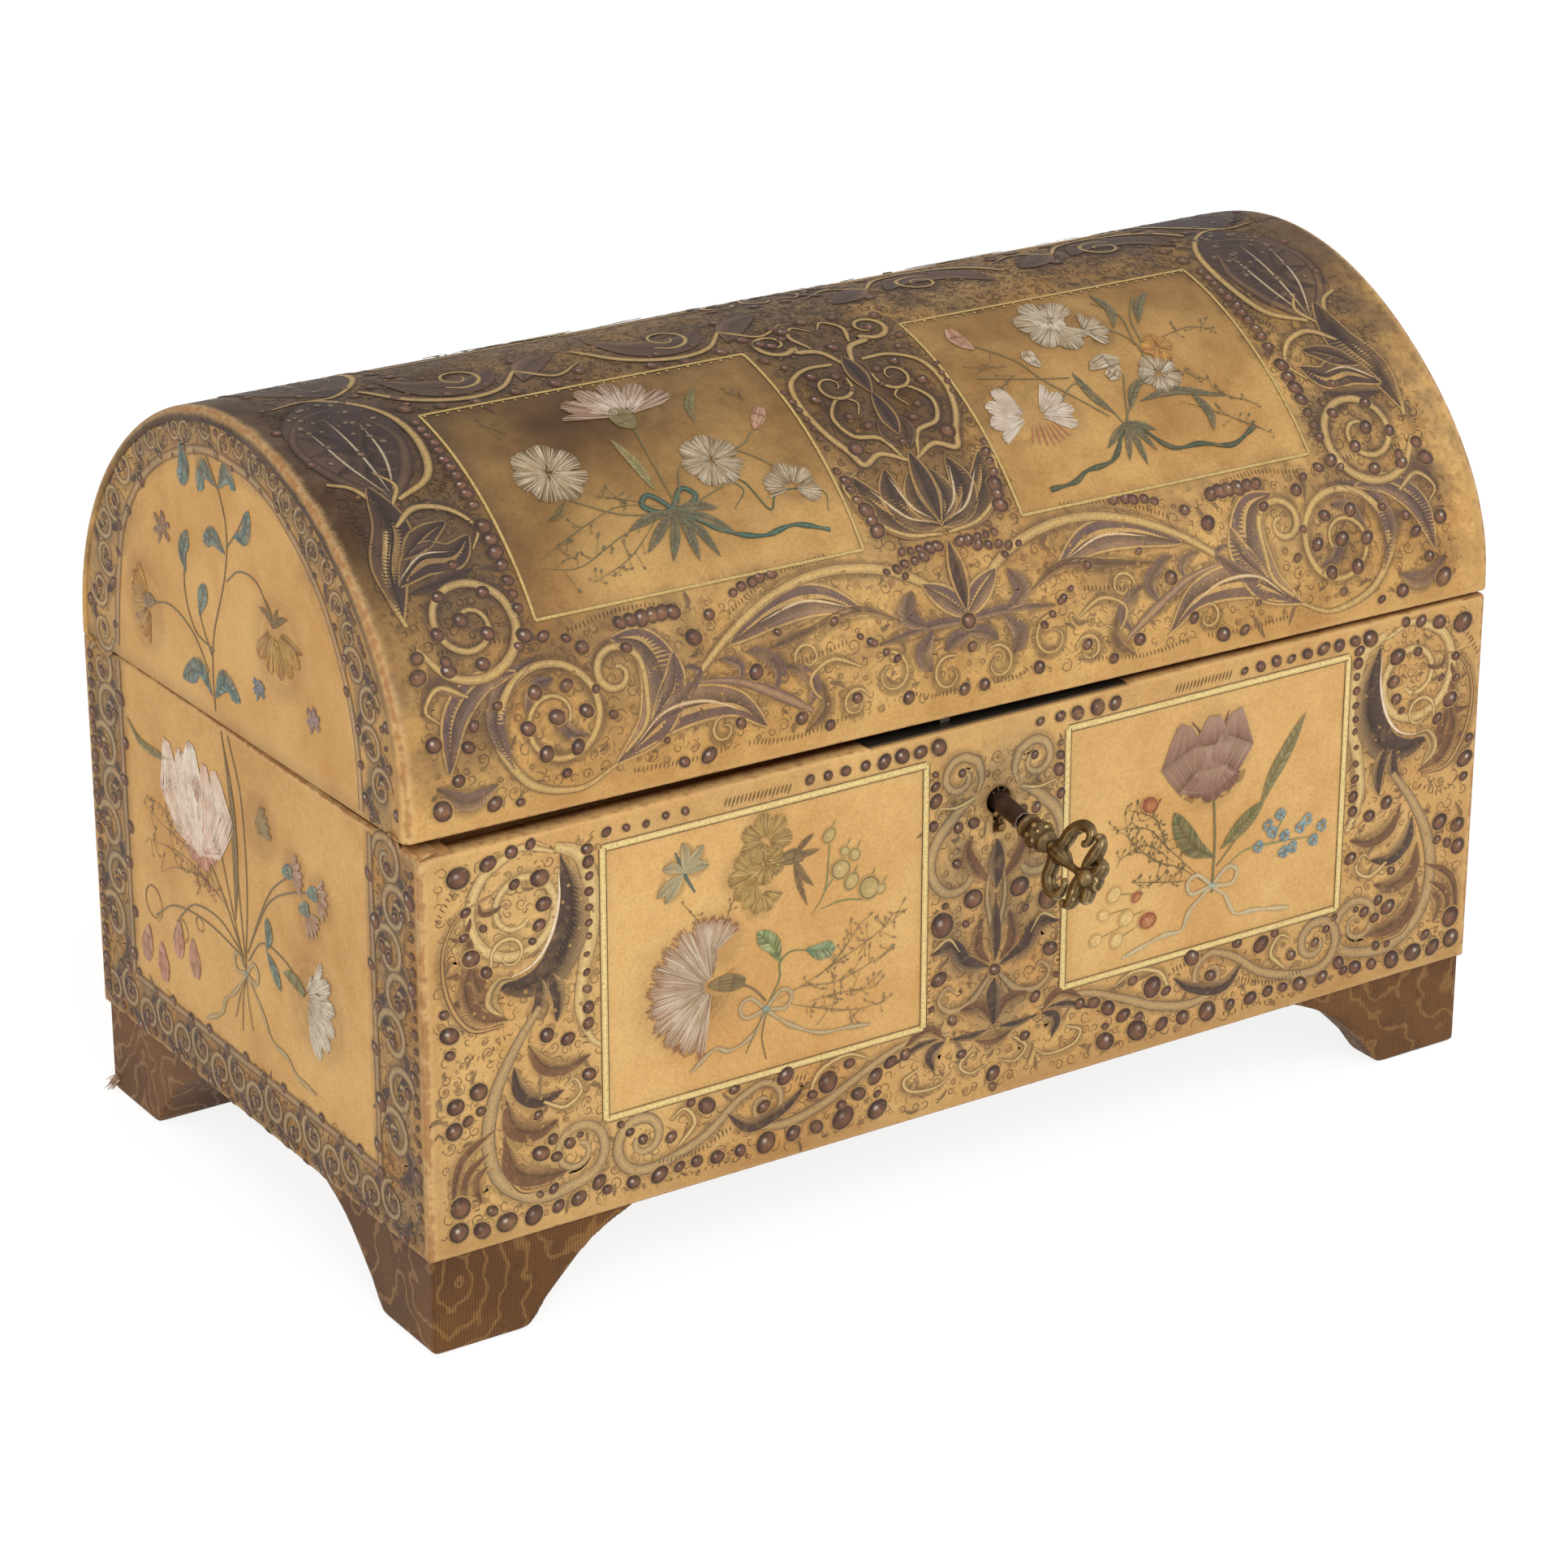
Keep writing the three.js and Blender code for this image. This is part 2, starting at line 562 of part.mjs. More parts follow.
// Stop hinges: a leaf with its knuckles and a bevelled heel, and the other leaf its mirror image
function hingeLeafSolid(x, up, ownKnuckles) {
  const half = hingeLength / 2;
  const pitch = hingeLength / knuckleCount;
  const width = up > 0 ? hingeScrewY - lidLeafWidth / 2 : boardY - hingeLeafWidth + skin;
  const leafZ = [pinZ + up * hingeSplit / 2, pinZ + up * (hingeSplit / 2 + hingeLeaf)];
  const leaf = slab(x - half, x + half, width, pinY, Math.min(...leafZ), Math.max(...leafZ));
  const bevel = heelAngle * degrees;
  const heel = alongX([[pinY, pinZ], [pinY + heelReach * Math.cos(bevel), pinZ + up * heelReach * Math.sin(bevel)],
    [pinY, pinZ + up * heelDepth]], x - half, x + half);
  const whole = [leaf, heel];
  const rooms = [rodAlongX(pinRadius + pinClearance, x - half - cutOverrun, x + half + cutOverrun, pinY, pinZ)];
  for (let i = 0; i < knuckleCount; i += 1) {
    const x0 = x - half + i * pitch;
    if (ownKnuckles(i)) whole.push(rodAlongX(knuckleRadius, x0 + fitGap / 2, x0 + pitch - fitGap / 2, pinY, pinZ));
    else rooms.push(rodAlongX(knuckleRadius + fitGap, x0 - fitGap / 2, x0 + pitch + fitGap / 2, pinY, pinZ));
  }
  const screws = up > 0 ? lidHingeScrews(x, fitGap) : bodyHingeScrews(x, fitGap);
  return trimmed(joined(...whole), ...rooms, ...screws);
}

const isEven = (i) => i % 2 === 0;
const isOdd = (i) => i % 2 === 1;
for (const [side, x] of Object.entries(hingePlaces)) {
  piece(`hinge_${side}_body_leaf`, hingeLeafSolid(x, -1, isEven), 'brass');
  piece(`hinge_${side}_lid_leaf`, hingeLeafSolid(x, 1, isOdd), 'brass');
  const half = hingeLength / 2 + fitGap;
  const pin = turned([[0, -half - pinHeadHeight], [pinHeadRadius / 2, -half - pinHeadHeight],
    [pinHeadRadius, -half - pinHeadHeight / 2], [pinHeadRadius, -half], [pinRadius, -half], [pinRadius, half],
    [pinHeadRadius, half], [pinHeadRadius, half + pinHeadHeight / 2], [pinHeadRadius / 2, half + pinHeadHeight],
    [0, half + pinHeadHeight]]);
  piece(`hinge_${side}_pin`, pin.rotateY(Math.PI / 2).translate(x, pinY, pinZ), 'iron');
}

for (const [side, x] of Object.entries(hingePlaces)) {
  bodyHingeScrews(x).forEach((each, i) => piece(`hinge_${side}_body_screw_${i + 1}`, each, 'iron'));
  lidHingeScrews(x).forEach((each, i) => piece(`hinge_${side}_lid_screw_${i + 1}`, each, 'iron'));
}

// Lock plate with its selvedge, the staple's slot and the two riveted studs that guide the bolt
const plateBack = -innerY + lockPlate;
const plateSpan = [lockX - lockWidth / 2, lockX + lockWidth / 2];
const stapleSlot = slab(stapleX - stapleThickness / 2 - slideGap, stapleX + stapleThickness / 2 + slideGap,
  stapleY - stapleWidth / 2 - slideGap, stapleY + stapleWidth / 2 + slideGap, selvedgeFoot - cutOverrun,
  rim + cutOverrun);
const boltSpan = [boltY - boltThickness / 2, boltY + boltThickness / 2];
const studZ = boltFoot + studHeight;
const studXs = [keyX - studLeftReach, keyX + studRightReach];
const stud = (x) => joined(rodAlongY(studRadius, boltSpan[0] - slideGap, plateBack, x, studZ),
  rodAlongY(studRadius * 2, boltSpan[0] - slideGap * 2, boltSpan[0] - slideGap, x, studZ));
piece('lock_plate', trimmed(
  joined(slab(...plateSpan, plateFace, plateBack, lockFoot, rim),
    slab(...plateSpan, selvedgeFront, plateBack, selvedgeFoot, rim), ...studXs.map(stud)),
  stapleSlot, ...lockScrewPlaces.map((place) => lockScrewAt(place, fitGap)),
), 'iron');
lockScrewPlaces.forEach((place, i) => piece(`lock_screw_${i + 1}`, lockScrewAt(place), 'iron'));

const postZ = keyAxisAt(plateFace - postLength / 2);
piece('key_post', rodAlongY(postRadius, plateFace - postLength, plateFace, keyX, postZ), 'iron');

// Bolt: a head that enters the staple, a body with two slots for the studs, and the talon for the bit
const slotAt = (x) => {
  const half = studRadius + fitGap;
  const ends = [x, x + boltTravel].map((sx) => rodAlongY(half, boltSpan[0] - cutOverrun, boltSpan[1] + cutOverrun,
    sx, studZ));
  const middle = slab(x, x + boltTravel, boltSpan[0] - cutOverrun, boltSpan[1] + cutOverrun, studZ - half, studZ + half);
  return joined(...ends, middle);
};
const talon = slab(talonX - talonHalfWidth, talonX + talonHalfWidth, boltSpan[0] - cutOverrun,
  boltSpan[1] + cutOverrun, boltFoot - cutOverrun, boltFoot + talonDepth);
const boltNeck = stapleX + stapleThickness / 2 + boltTravel + slideGap;
const boltTip = keyX - boltHeadReach;
const boltNose = boltHeadHeight / 4;
const boltOutline = [[boltNeck, boltFoot], [keyX + boltTail, boltFoot], [keyX + boltTail, boltTop],
  [boltTip + boltNose, boltTop], [boltTip, boltTop - boltNose], [boltTip, boltHeadFoot + boltNose],
  [boltTip + boltNose, boltHeadFoot], [boltNeck, boltHeadFoot]];
piece('lock_bolt', trimmed(alongY(boltOutline, ...boltSpan), talon, ...studXs.map(slotAt)), 'iron');

// Leaf spring that presses on the bolt's back, its foot riveted to the plate
const springStart = keyX + boltTail - slideGap;
const springFootHeight = selvedgeFoot - fitGap - boltTop - fitGap;
const springPoint = (share) => [springStart - springLength * share,
  boltTop + fitGap + Math.min(springRise, springFootHeight - springThickness) * (1 - share) ** 2];
const springShares = [0, 0.2, 0.4, 0.6, 0.8, 1];
const springUnder = springShares.map(springPoint);
const springOver = springUnder.map(([x, z]) => [x, z + springThickness]).reverse();
const springLeaf = alongY([...springUnder.reverse(), ...springOver.reverse()], boltY - springWidth / 2, plateFace);
piece('lock_spring', springLeaf, 'steel');

// Strike plate with the staple that drops through the selvedge
const eyeFoot = boltHeadFoot - slideGap;
const eyeTop = boltTop + slideGap;
const stapleSpan = [stapleX - stapleThickness / 2, stapleX + stapleThickness / 2];
const stapleBar = slab(...stapleSpan, stapleY - stapleWidth / 2, stapleY + stapleWidth / 2,
  eyeFoot - stapleFoot, strikeFoot + strikePlate / 2);
const stapleEye = slab(stapleX - cutOverrun, stapleX + cutOverrun, stapleY - eyeWidth / 2, stapleY + eyeWidth / 2,
  eyeFoot, eyeTop);
const strike = slab(lockX - strikeLength / 2, lockX + strikeLength / 2, stapleY - strikeWidth / 2,
  stapleY + strikeWidth / 2, strikeFoot, strikeTop);
piece('strike_plate', trimmed(joined(strike, stapleBar), stapleEye, ...strikeScrews(fitGap)), 'iron');
strikeScrews().forEach((each, i) => piece(`strike_screw_${i + 1}`, each, 'iron'));

// Key: a drilled steel shank with its bit, and a cast bow with two open scrolls and a palmette
const bitPlate = slab(-bitThickness / 2, bitThickness / 2, boreRadius + fitGap, bitReach,
  -keyInside + bitSetback, -keyInside + bitSetback + bitWidth);
const bore = rod(boreRadius, boreDepth + cutOverrun).translate(0, 0, -keyInside - cutOverrun);
const shank = joined(
  turned([[0, -keyInside], [shankRadius, -keyInside], [shankRadius, keyShankOut], [tenonRadius, keyShankOut],
    [tenonRadius, keyShankOut + tenonLength], [0, keyShankOut + tenonLength]]),
  bitPlate,
);
piece('key_shank', trimmed(shank, bore), 'steel', key);

// The bow's outline and its two windows, as shares of its half width and of its length past the collar
const bowShares = [[0.2, 0], [0.43, 0.03], [0.65, 0.14], [0.83, 0.21], [0.99, 0.35], [1, 0.45],
  [0.91, 0.54], [0.78, 0.59], [0.86, 0.63], [0.86, 0.74], [0.73, 0.78], [0.56, 0.76], [0.42, 0.84],
  [0.31, 0.9], [0.24, 0.96], [0, 1], [-0.16, 0.97], [-0.3, 0.95], [-0.44, 0.91], [-0.54, 0.84],
  [-0.7, 0.79], [-0.86, 0.74], [-0.89, 0.66], [-0.81, 0.59], [-0.91, 0.54], [-0.97, 0.42],
  [-0.94, 0.29], [-0.81, 0.19], [-0.59, 0.11], [-0.41, 0.05], [-0.2, 0]];
const upperWindowShares = [[0.62, 0.38], [0.38, 0.35], [0.17, 0.42], [0.05, 0.4], [0, 0.46],
  [0.04, 0.54], [0.19, 0.59], [0.48, 0.58], [0.49, 0.48]];
const lowerWindowShares = [[-0.22, 0.44], [-0.28, 0.54], [-0.4, 0.59], [-0.49, 0.5], [-0.68, 0.45],
  [-0.74, 0.38], [-0.63, 0.33], [-0.37, 0.35]];
const bowHalf = bowWidth / 2;
const bowFoot = keyShankOut + collarLength - bowThickness / 32;
const bowPoint = ([across, out]) => new THREE.Vector2(across * bowHalf, bowFoot + out * bowLength);

// The shape's u and v become the bow's y and z, and it is bevelled to look cast
function castBow() {
  const shape = new THREE.Shape(bowShares.map(bowPoint));
  shape.holes = [upperWindowShares, lowerWindowShares].map((shares) => new THREE.Path(shares.map(bowPoint)));
  const depth = bowThickness - 2 * bowBevel;
  const options = { depth, steps: 1, bevelThickness: bowBevel, bevelSize: bowBevel, bevelOffset: -bowBevel,
    bevelSegments: 2 };
  return new THREE.ExtrudeGeometry(shape, options).translate(0, 0, -depth / 2)
    .applyMatrix4(new THREE.Matrix4().makeBasis(unitY, unitZ, unitX));
}

const ball = (radius, across, out) => new THREE.SphereGeometry(radius, screwSteps, screwSteps)
  .translate(0, ...bowPoint([across, out]).toArray());
const collarShares = [[0, 0], [0.78, 0], [0.85, 0.12], [1, 0.35], [0.8, 0.65], [0.62, 0.88], [0.7, 0.97],
  [0.5, 1.1], [0, 1.15]];
const collar = turned(collarShares.map(([r, h]) => [r * collarRadius, keyShankOut + h * collarLength]));
const socket = rod(tenonRadius + fitGap, tenonLength + fitGap + cutOverrun)
  .translate(0, 0, keyShankOut - cutOverrun);
piece('key_bow', trimmed(
  joined(collar, castBow(), ball(beadRadius, 0, 0.09), ball(bossRadius, 0, 0.8), ball(bossRadius, 0, 0.28)),
  socket,
), 'brass', key);

// The origin goes to the middle of the footprint, on the table
const reach = new THREE.Box3().setFromObject(casket);
const middle = reach.getCenter(new THREE.Vector3());
casket.position.set(-middle.x, -middle.y, -reach.min.z);

export default casket;
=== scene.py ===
import math

import bmesh
import bpy
import numpy as np
from mathutils import Matrix, Vector


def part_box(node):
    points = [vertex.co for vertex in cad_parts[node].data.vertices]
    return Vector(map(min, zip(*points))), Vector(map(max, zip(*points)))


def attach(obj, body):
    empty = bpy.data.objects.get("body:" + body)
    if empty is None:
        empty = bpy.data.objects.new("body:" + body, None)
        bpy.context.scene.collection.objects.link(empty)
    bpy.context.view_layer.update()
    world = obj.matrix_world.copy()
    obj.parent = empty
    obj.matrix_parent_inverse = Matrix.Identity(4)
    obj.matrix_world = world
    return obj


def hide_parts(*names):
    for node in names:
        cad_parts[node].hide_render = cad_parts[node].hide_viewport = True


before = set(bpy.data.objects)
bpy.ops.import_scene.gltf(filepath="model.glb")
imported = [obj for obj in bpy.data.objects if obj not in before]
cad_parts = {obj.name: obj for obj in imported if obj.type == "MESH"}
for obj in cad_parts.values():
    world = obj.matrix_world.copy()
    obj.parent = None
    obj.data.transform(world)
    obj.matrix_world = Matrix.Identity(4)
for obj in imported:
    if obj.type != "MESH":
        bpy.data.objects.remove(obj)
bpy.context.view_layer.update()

# Camera
# Solved from six corners of the case and two of its feet, in millimetres from the middle of its floor.
board_low, board_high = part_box("bottom_board")
middle = np.array([(board_low.x + board_high.x) / 2, (board_low.y + board_high.y) / 2, 0.0]) * 1000


def to_world(points):
    return (np.asarray(points, float) + middle) / 1000


camera = bpy.data.objects.new("camera", bpy.data.cameras.new("camera"))
bpy.context.scene.collection.objects.link(camera)
bpy.context.scene.camera = camera
right, down = Vector((0.8363, -0.5483, 0.0012)), Vector((-0.2124, -0.3261, -0.9211))
back = right.cross(-down).normalized()
up = back.cross(right).normalized()
camera.matrix_world = Matrix((right, up, back)).transposed().to_4x4()
camera.location = Vector(to_world([-566.93, -860.71, 507.20]))
camera.data.sensor_width = 36
camera.data.lens = 111.57
camera.data.clip_start = 0.05
camera.data.clip_end = 50


# Shader maths
# A socket of a material's nodes, with arithmetic; Skin starts a material and ends it.
class Wire:
    def __init__(self, skin, socket):
        self.skin = skin
        self.socket = socket

    def sum(self, kind, a, b=0.0):
        return self.skin.node("ShaderNodeMath", {0: a, 1: b}, operation=kind)

    def __add__(self, other):
        return self.sum("ADD", self, other)

    def __radd__(self, other):
        return self.sum("ADD", other, self)

    def __sub__(self, other):
        return self.sum("SUBTRACT", self, other)

    def __rsub__(self, other):
        return self.sum("SUBTRACT", other, self)

    def __mul__(self, other):
        return self.sum("MULTIPLY", self, other)

    def __rmul__(self, other):
        return self.sum("MULTIPLY", other, self)

    def sine(self):
        return self.sum("SINE", self)

    def between(self, low, high):
        values = {0: self, 1: low, 2: high, 3: 0.0, 4: 1.0}
        return self.skin.node("ShaderNodeMapRange", values, interpolation_type="SMOOTHSTEP")

    def blend(self, a, b):
        values = {0: self, 6: a, 7: b}
        return self.skin.node("ShaderNodeMix", values, out=2, data_type="RGBA")


def colour(code):
    """Six digits for the colour, and two more where it covers only partly."""
    *channels, cover = (int((code + "ff")[i : i + 2], 16) / 255 for i in (0, 2, 4, 6))
    return [c / 12.92 if c <= 0.04045 else ((c + 0.055) / 1.055) ** 2.4 for c in channels] + [cover]


class Skin:
    def __init__(self, name, **sockets):
        self.material = bpy.data.materials.new(name)
        self.material.use_nodes = True
        self.tree = self.material.node_tree
        self.shader = self.tree.nodes["Principled BSDF"]
        for socket, value in sockets.items():
            self.shader.inputs[socket.replace("_", " ")].default_value = value

    def node(self, kind, values=None, out=0, **settings):
        node = self.tree.nodes.new(kind)
        for key, value in settings.items():
            setattr(node, key, value)
        for key, value in (values or {}).items():
            if isinstance(value, Wire):
                self.tree.links.new(value.socket, node.inputs[key])
            else:
                node.inputs[key].default_value = value
        return Wire(self, node.outputs[out])

    def place(self, scale=(1, 1, 1)):
        point = self.node("ShaderNodeTexCoord", out=3)
        return self.node("ShaderNodeMapping", {0: point, 3: scale})

    def noise(self, scale, detail=4.0, rough=0.6, place=None):
        values = {"Vector": place or self.place(), "Scale": scale, "Detail": detail, "Roughness": rough}
        return self.node("ShaderNodeTexNoise", values)

    def drive(self, base=None, rough=None, bump=None, strength=0.3, distance=0.0002):
        if base is not None:
            self.tree.links.new(base.socket, self.shader.inputs["Base Color"])
        if rough is not None:
            self.tree.links.new(rough.socket, self.shader.inputs["Roughness"])
        if bump is not None:
            relief = self.node("ShaderNodeBump", {"Strength": strength, "Distance": distance,
                "Height": bump})
            self.tree.links.new(relief.socket, self.shader.inputs["Normal"])
        return self.material


# Surfaces
# Each takes a place across and up the surface and a height above it, all in millimetres, and gives points.
front_low, front_high = (np.array(corner) * 1000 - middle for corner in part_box("body_parchment_front"))
HALF, FACE, UNDER, RIM = front_high[0], -front_low[1], front_low[2], front_high[2]
LEFT_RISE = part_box("body_parchment_left")[1][2] * 1000 - middle[2] - RIM
CORNER, EDGE, LID_CORNER = 0.9, 0.9, 1.8
LID_HALF, LID_FACE, STRAIGHT, RISE, SUNK = HALF + 1, FACE + 0.15, 4.0, 66.6, 0.35
SEAMS = np.array([[3.2, 1.0], [1.3, 0.3]])
TAPER, LEANS, SWELLS, SHIFT, SHOULDERS = 4.6 / 153.8, (-2.4, 1.9), (0.4, -1.1), -0.4, (0.013, 0.038)


def roll(past, radius, height, furthest=math.pi / 2):
    """Along and out of a rounded edge, for a length past the place where its curve starts."""
    angle = np.clip(past / radius, 0, furthest)
    beyond = np.maximum(past - radius * furthest, 0)
    along = np.where(past < 0, past, (radius + height) * np.sin(angle) + beyond * math.cos(furthest))
    out = (radius + height) * np.cos(angle) - radius - beyond * math.sin(furthest)
    return along, out


LOCK_SEAT, HINGE_SEATS, SEAT_DEPTH, END_STEP = ((-30.4, 38.4),), ((-102.2, -67.8), (67.8, 102.2)), 0.4, 0.05


def wall(across, up, height, half, face, rise, seats=()):
    across, up, height = np.broadcast_arrays(*(np.asarray(a, float) for a in (across, up, height)))
    flat, top = half - CORNER, RIM + rise - EDGE
    side, out_side = roll(np.abs(across) - flat, CORNER, height, math.pi / 4)
    head, out_head = roll(up - top, EDGE, height)
    foot, out_foot = roll(UNDER + EDGE - up, EDGE, height)
    x = np.sign(across) * (flat + side)
    z = np.where(up > top, top + head, np.where(up < UNDER + EDGE, UNDER + EDGE - foot, up))
    for low, high in seats:
        seated = (x > low) & (x < high)
        z = np.where(seated, np.minimum(z, RIM - SEAT_DEPTH), z)
        out_head = np.where(seated, np.maximum(out_head, -2 * EDGE), out_head)
    return x, face + out_side + out_head + out_foot - 2 * height, z


def on_front(u, v, h=0):
    x, out, z = wall(u, v, h, HALF, FACE, 0, LOCK_SEAT)
    return np.stack([x, -out, z], -1)


def on_back(u, v, h=0):
    x, out, z = wall(u, v, h, HALF, FACE, 0, HINGE_SEATS)
    return np.stack([-x, out, z], -1)


def on_left(u, v, h=0):
    rise = LEFT_RISE * np.clip(np.asarray(u, float) / FACE / 2 + 0.5, 0, 1)
    y, out, z = wall(u, v, h, FACE, HALF, rise - END_STEP)
    return np.stack([-out, -y, z], -1)


def on_right(u, v, h=0):
    y, out, z = wall(u, v, h, FACE, HALF, -END_STEP)
    return np.stack([out, y, z], -1)


arc_angles = np.linspace(0, math.pi, 721)
arc_points = np.stack([-LID_FACE * np.cos(arc_angles), STRAIGHT + RISE * np.sin(arc_angles)], 1)
arc_steps = np.hypot(*np.diff(arc_points, axis=0).T)
arc_lengths = STRAIGHT + np.concatenate([[0], np.cumsum(arc_steps)])
ARC = arc_lengths[-1] + STRAIGHT


def settle(points):
    """The lid's warp: corners at their own heights, narrower to the left, leaning, shoulders flattened."""
    x, y, z = points[..., 0], points[..., 1], points[..., 2]
    to_right, to_back = x / (2 * LID_HALF) + 0.5, y / (2 * LID_FACE) + 0.5
    front, rear = (seam[0] + (seam[1] - seam[0]) * to_right for seam in SEAMS)
    lean, swell, flat = (ends[0] + (ends[1] - ends[0]) * to_right for ends in (LEANS, SWELLS, SHOULDERS))
    share = z / (RISE + STRAIGHT)
    above = np.maximum(z - STRAIGHT, 0)
    flat = flat * (2 * above / RISE * y / LID_FACE) ** 2
    y = y * (1 - flat) * (1 - TAPER * (1 - to_right)) + lean * share
    z = z - above * flat + swell * share
    return np.stack([x + SHIFT, y, z + RIM + front + (rear - front) * to_back], -1)


def on_dome(u, v, h=0):
    u, v, h = np.broadcast_arrays(*(np.asarray(a, float) for a in (u, v, h)))
    side, out = roll(np.abs(u - SHIFT) - (LID_HALF - LID_CORNER), LID_CORNER, h)
    angle = np.interp(v, arc_lengths, arc_angles)
    normal = np.stack([-np.cos(angle) / LID_FACE, np.sin(angle) / RISE], -1)
    normal /= np.linalg.norm(normal, axis=-1, keepdims=True)
    y = -LID_FACE * np.cos(angle) + normal[..., 0] * out
    z = STRAIGHT + RISE * np.sin(angle) + normal[..., 1] * out
    z = z - np.maximum(STRAIGHT - v, 0) - np.maximum(v - ARC + STRAIGHT, 0)
    curl = np.minimum(v, ARC - v)
    foot, tuck = roll(0.8 - curl, 0.8, h)
    y = y + np.sign(y) * np.where(curl < 0.8, tuck - h, 0)
    z = np.where(curl < 0.8, 0.8 - foot, z)
    x = np.sign(u - SHIFT) * (LID_HALF - LID_CORNER + side)
    return settle(np.stack([x, y, z], -1))


def lid_arch(inset, share):
    """A point of the lid's end outline, inset millimetres in from the dome and share of the way over it."""
    angle = np.interp(np.asarray(share, float) * ARC, arc_lengths, arc_angles)
    y, z = -(LID_FACE - inset) * np.cos(angle), STRAIGHT + (RISE - inset) * np.sin(angle)
    low = np.minimum(share, 1 - np.asarray(share, float)) * ARC
    return y, z - np.maximum(STRAIGHT - low, 0)


def on_lid_end(u, v, h=0):
    u, v, h = np.broadcast_arrays(*(np.asarray(a, float) for a in (u, v, h)))
    return np.stack([SHIFT - LID_HALF + SUNK - h, -u, v], -1)


def on_lid_right(u, v, h=0):
    u, v, h = np.broadcast_arrays(*(np.asarray(a, float) for a in (u, v, h)))
    return np.stack([SHIFT + LID_HALF - SUNK + h, u, v], -1)


def new_piece(name, points, faces, material, body):
    mesh = bpy.data.meshes.new(name)
    mesh.from_pydata(to_world(points).tolist(), [], faces)
    mesh.materials.append(material)
    mesh.shade_smooth()
    piece = bpy.data.objects.new(name, mesh)
    bpy.context.scene.collection.objects.link(piece)
    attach(piece, body)
    return piece


def lattice(us, vs):
    """The faces of a grid of points, rows by vs."""
    across = len(us)
    grid = np.arange(across * len(vs)).reshape(len(vs), across)
    corners = [grid[:-1, :-1], grid[:-1, 1:], grid[1:, 1:], grid[1:, :-1]]
    return np.stack([c.ravel() for c in corners], 1).tolist()


def tint(piece, values, name="Tint"):
    layer = piece.data.color_attributes.new(name, "FLOAT_COLOR", "POINT")
    layer.data.foreach_set("color", np.asarray(values, np.float32).ravel())


# Parchment
# Mottled and foxed skin: tones laid on by hand, grey washes under ornament, fine grain, rubbed edges.
CASE_TONES = ("dcb474", "c8985a", "7a4e1c", "897656")
LID_TONES = ("d6ab68", "b08042", "3e260e", "5e4a36")


def ground(skin, light, dark, grime, wash):
    tone = skin.node("ShaderNodeAttribute", attribute_name="Tint")
    parts = skin.node("ShaderNodeSeparateColor", {0: tone}).socket.node
    border, deep, rubbed = (Wire(skin, parts.outputs[i]) for i in range(3))
    cloud = skin.noise(28, 5, 0.62)
    drift = skin.noise(85, 3, 0.6)
    mottle = skin.noise(160, 4, 0.7)
    grain = skin.noise(1500, 3, 0.7)
    speck = skin.noise(520, 2, 0.5)
    base = (cloud * 0.75 + mottle * 0.25).between(0.32, 0.7).blend(colour(light), colour(dark))
    base = (deep * (cloud * 0.9 + 0.5)).between(0.0, 1.0).blend(base, colour(grime))
    base = (border * drift.between(0.36, 0.66)).blend(base, colour(wash))
    base = (border * speck.between(0.48, 0.7) * 0.5).blend(base, colour(grime))
    base = (grain.between(0.35, 0.75) * 0.25).blend(base, colour(grime))
    wear = (rubbed + (mottle - 0.5) * 0.5 + (grain - 0.5) * 0.5).between(0.4, 0.95)
    base = (wear * 0.6).blend(base, colour("d6b27c"))
    edge = (rubbed * (speck * 0.6 + mottle * 0.5)).between(0.36, 0.56)
    return (edge * 0.6).blend(base, colour("8a4f22")), mottle, grain


def parchment(name, *tones):
    skin = Skin(name, Specular_IOR_Level=0.35)
    base, mottle, grain = ground(skin, *tones)
    return skin.drive(base, 0.52 + mottle * 0.2, grain * 0.5 + mottle, 0.35, 0.0003)


case_parchment = parchment("case_parchment", *CASE_TONES)
lid_parchment = parchment("lid_parchment", *LID_TONES)


def near(a, b, width):
    """1 where a is at b, falling to 0 over width."""
    return np.clip(1 - np.abs(a - b) / width, 0, 1)


def sheet(name, place, us, vs, tone, material, body, nodes):
    u, v = np.meshgrid(us, vs)
    piece = new_piece(name, place(u.ravel(), v.ravel()), lattice(us, vs), material, body)
    tint(piece, tone(u.ravel(), v.ravel()))
    thick = piece.modifiers.new("thickness", "SOLIDIFY")
    thick.thickness = 0.0006
    thick.offset = -1
    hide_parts(*nodes)
    return piece


def steps(low, high, step, ends=()):
    """Even steps with extra places near both ends."""
    inner = np.arange(low, high, step)
    return np.unique(np.round(np.concatenate([inner, [low, high], ends]), 4))


def inside(value, low, high, soft=2.0):
    """1 between low and high, falling to 0 over soft."""
    return np.clip(np.minimum(value - low, high - value) / soft, 0, 1)


def long_tone(u, v):
    """The front and back: plain inside the two panels, washed round them, rubbed at the edges."""
    panels = inside(v, 44.8, 107) * np.maximum(inside(u, -97, -16), inside(u, 21.6, 100))
    column = inside(v, 30, 110, 8) * inside(u, -14, 19.6, 4)
    return case_tone(u, v, 0.16 * (1 - panels) + 0.55 * column, HALF, 0.05 + 0.15 * (1 - panels))


def end_tone(u, v):
    panel = inside(v, 36.6, 120) * inside(u, -58.5, 56)
    return case_tone(u, v, 0.8 * (1 - panel), FACE, 0.24 + 0.3 * (1 - panel))


def case_tone(u, v, border, half, deep):
    deep = deep + 0.25 * near(v, UNDER, 8) + 0.15 * near(np.abs(u), half, 10)
    rubbed = np.maximum(near(np.abs(u), half - 0.6, 2.6), near(v, RIM + 0.6, 2.4))
    rubbed = np.maximum(rubbed, near(v, UNDER, 2.2))
    return np.stack([border, deep, rubbed, np.ones_like(u)], 1)


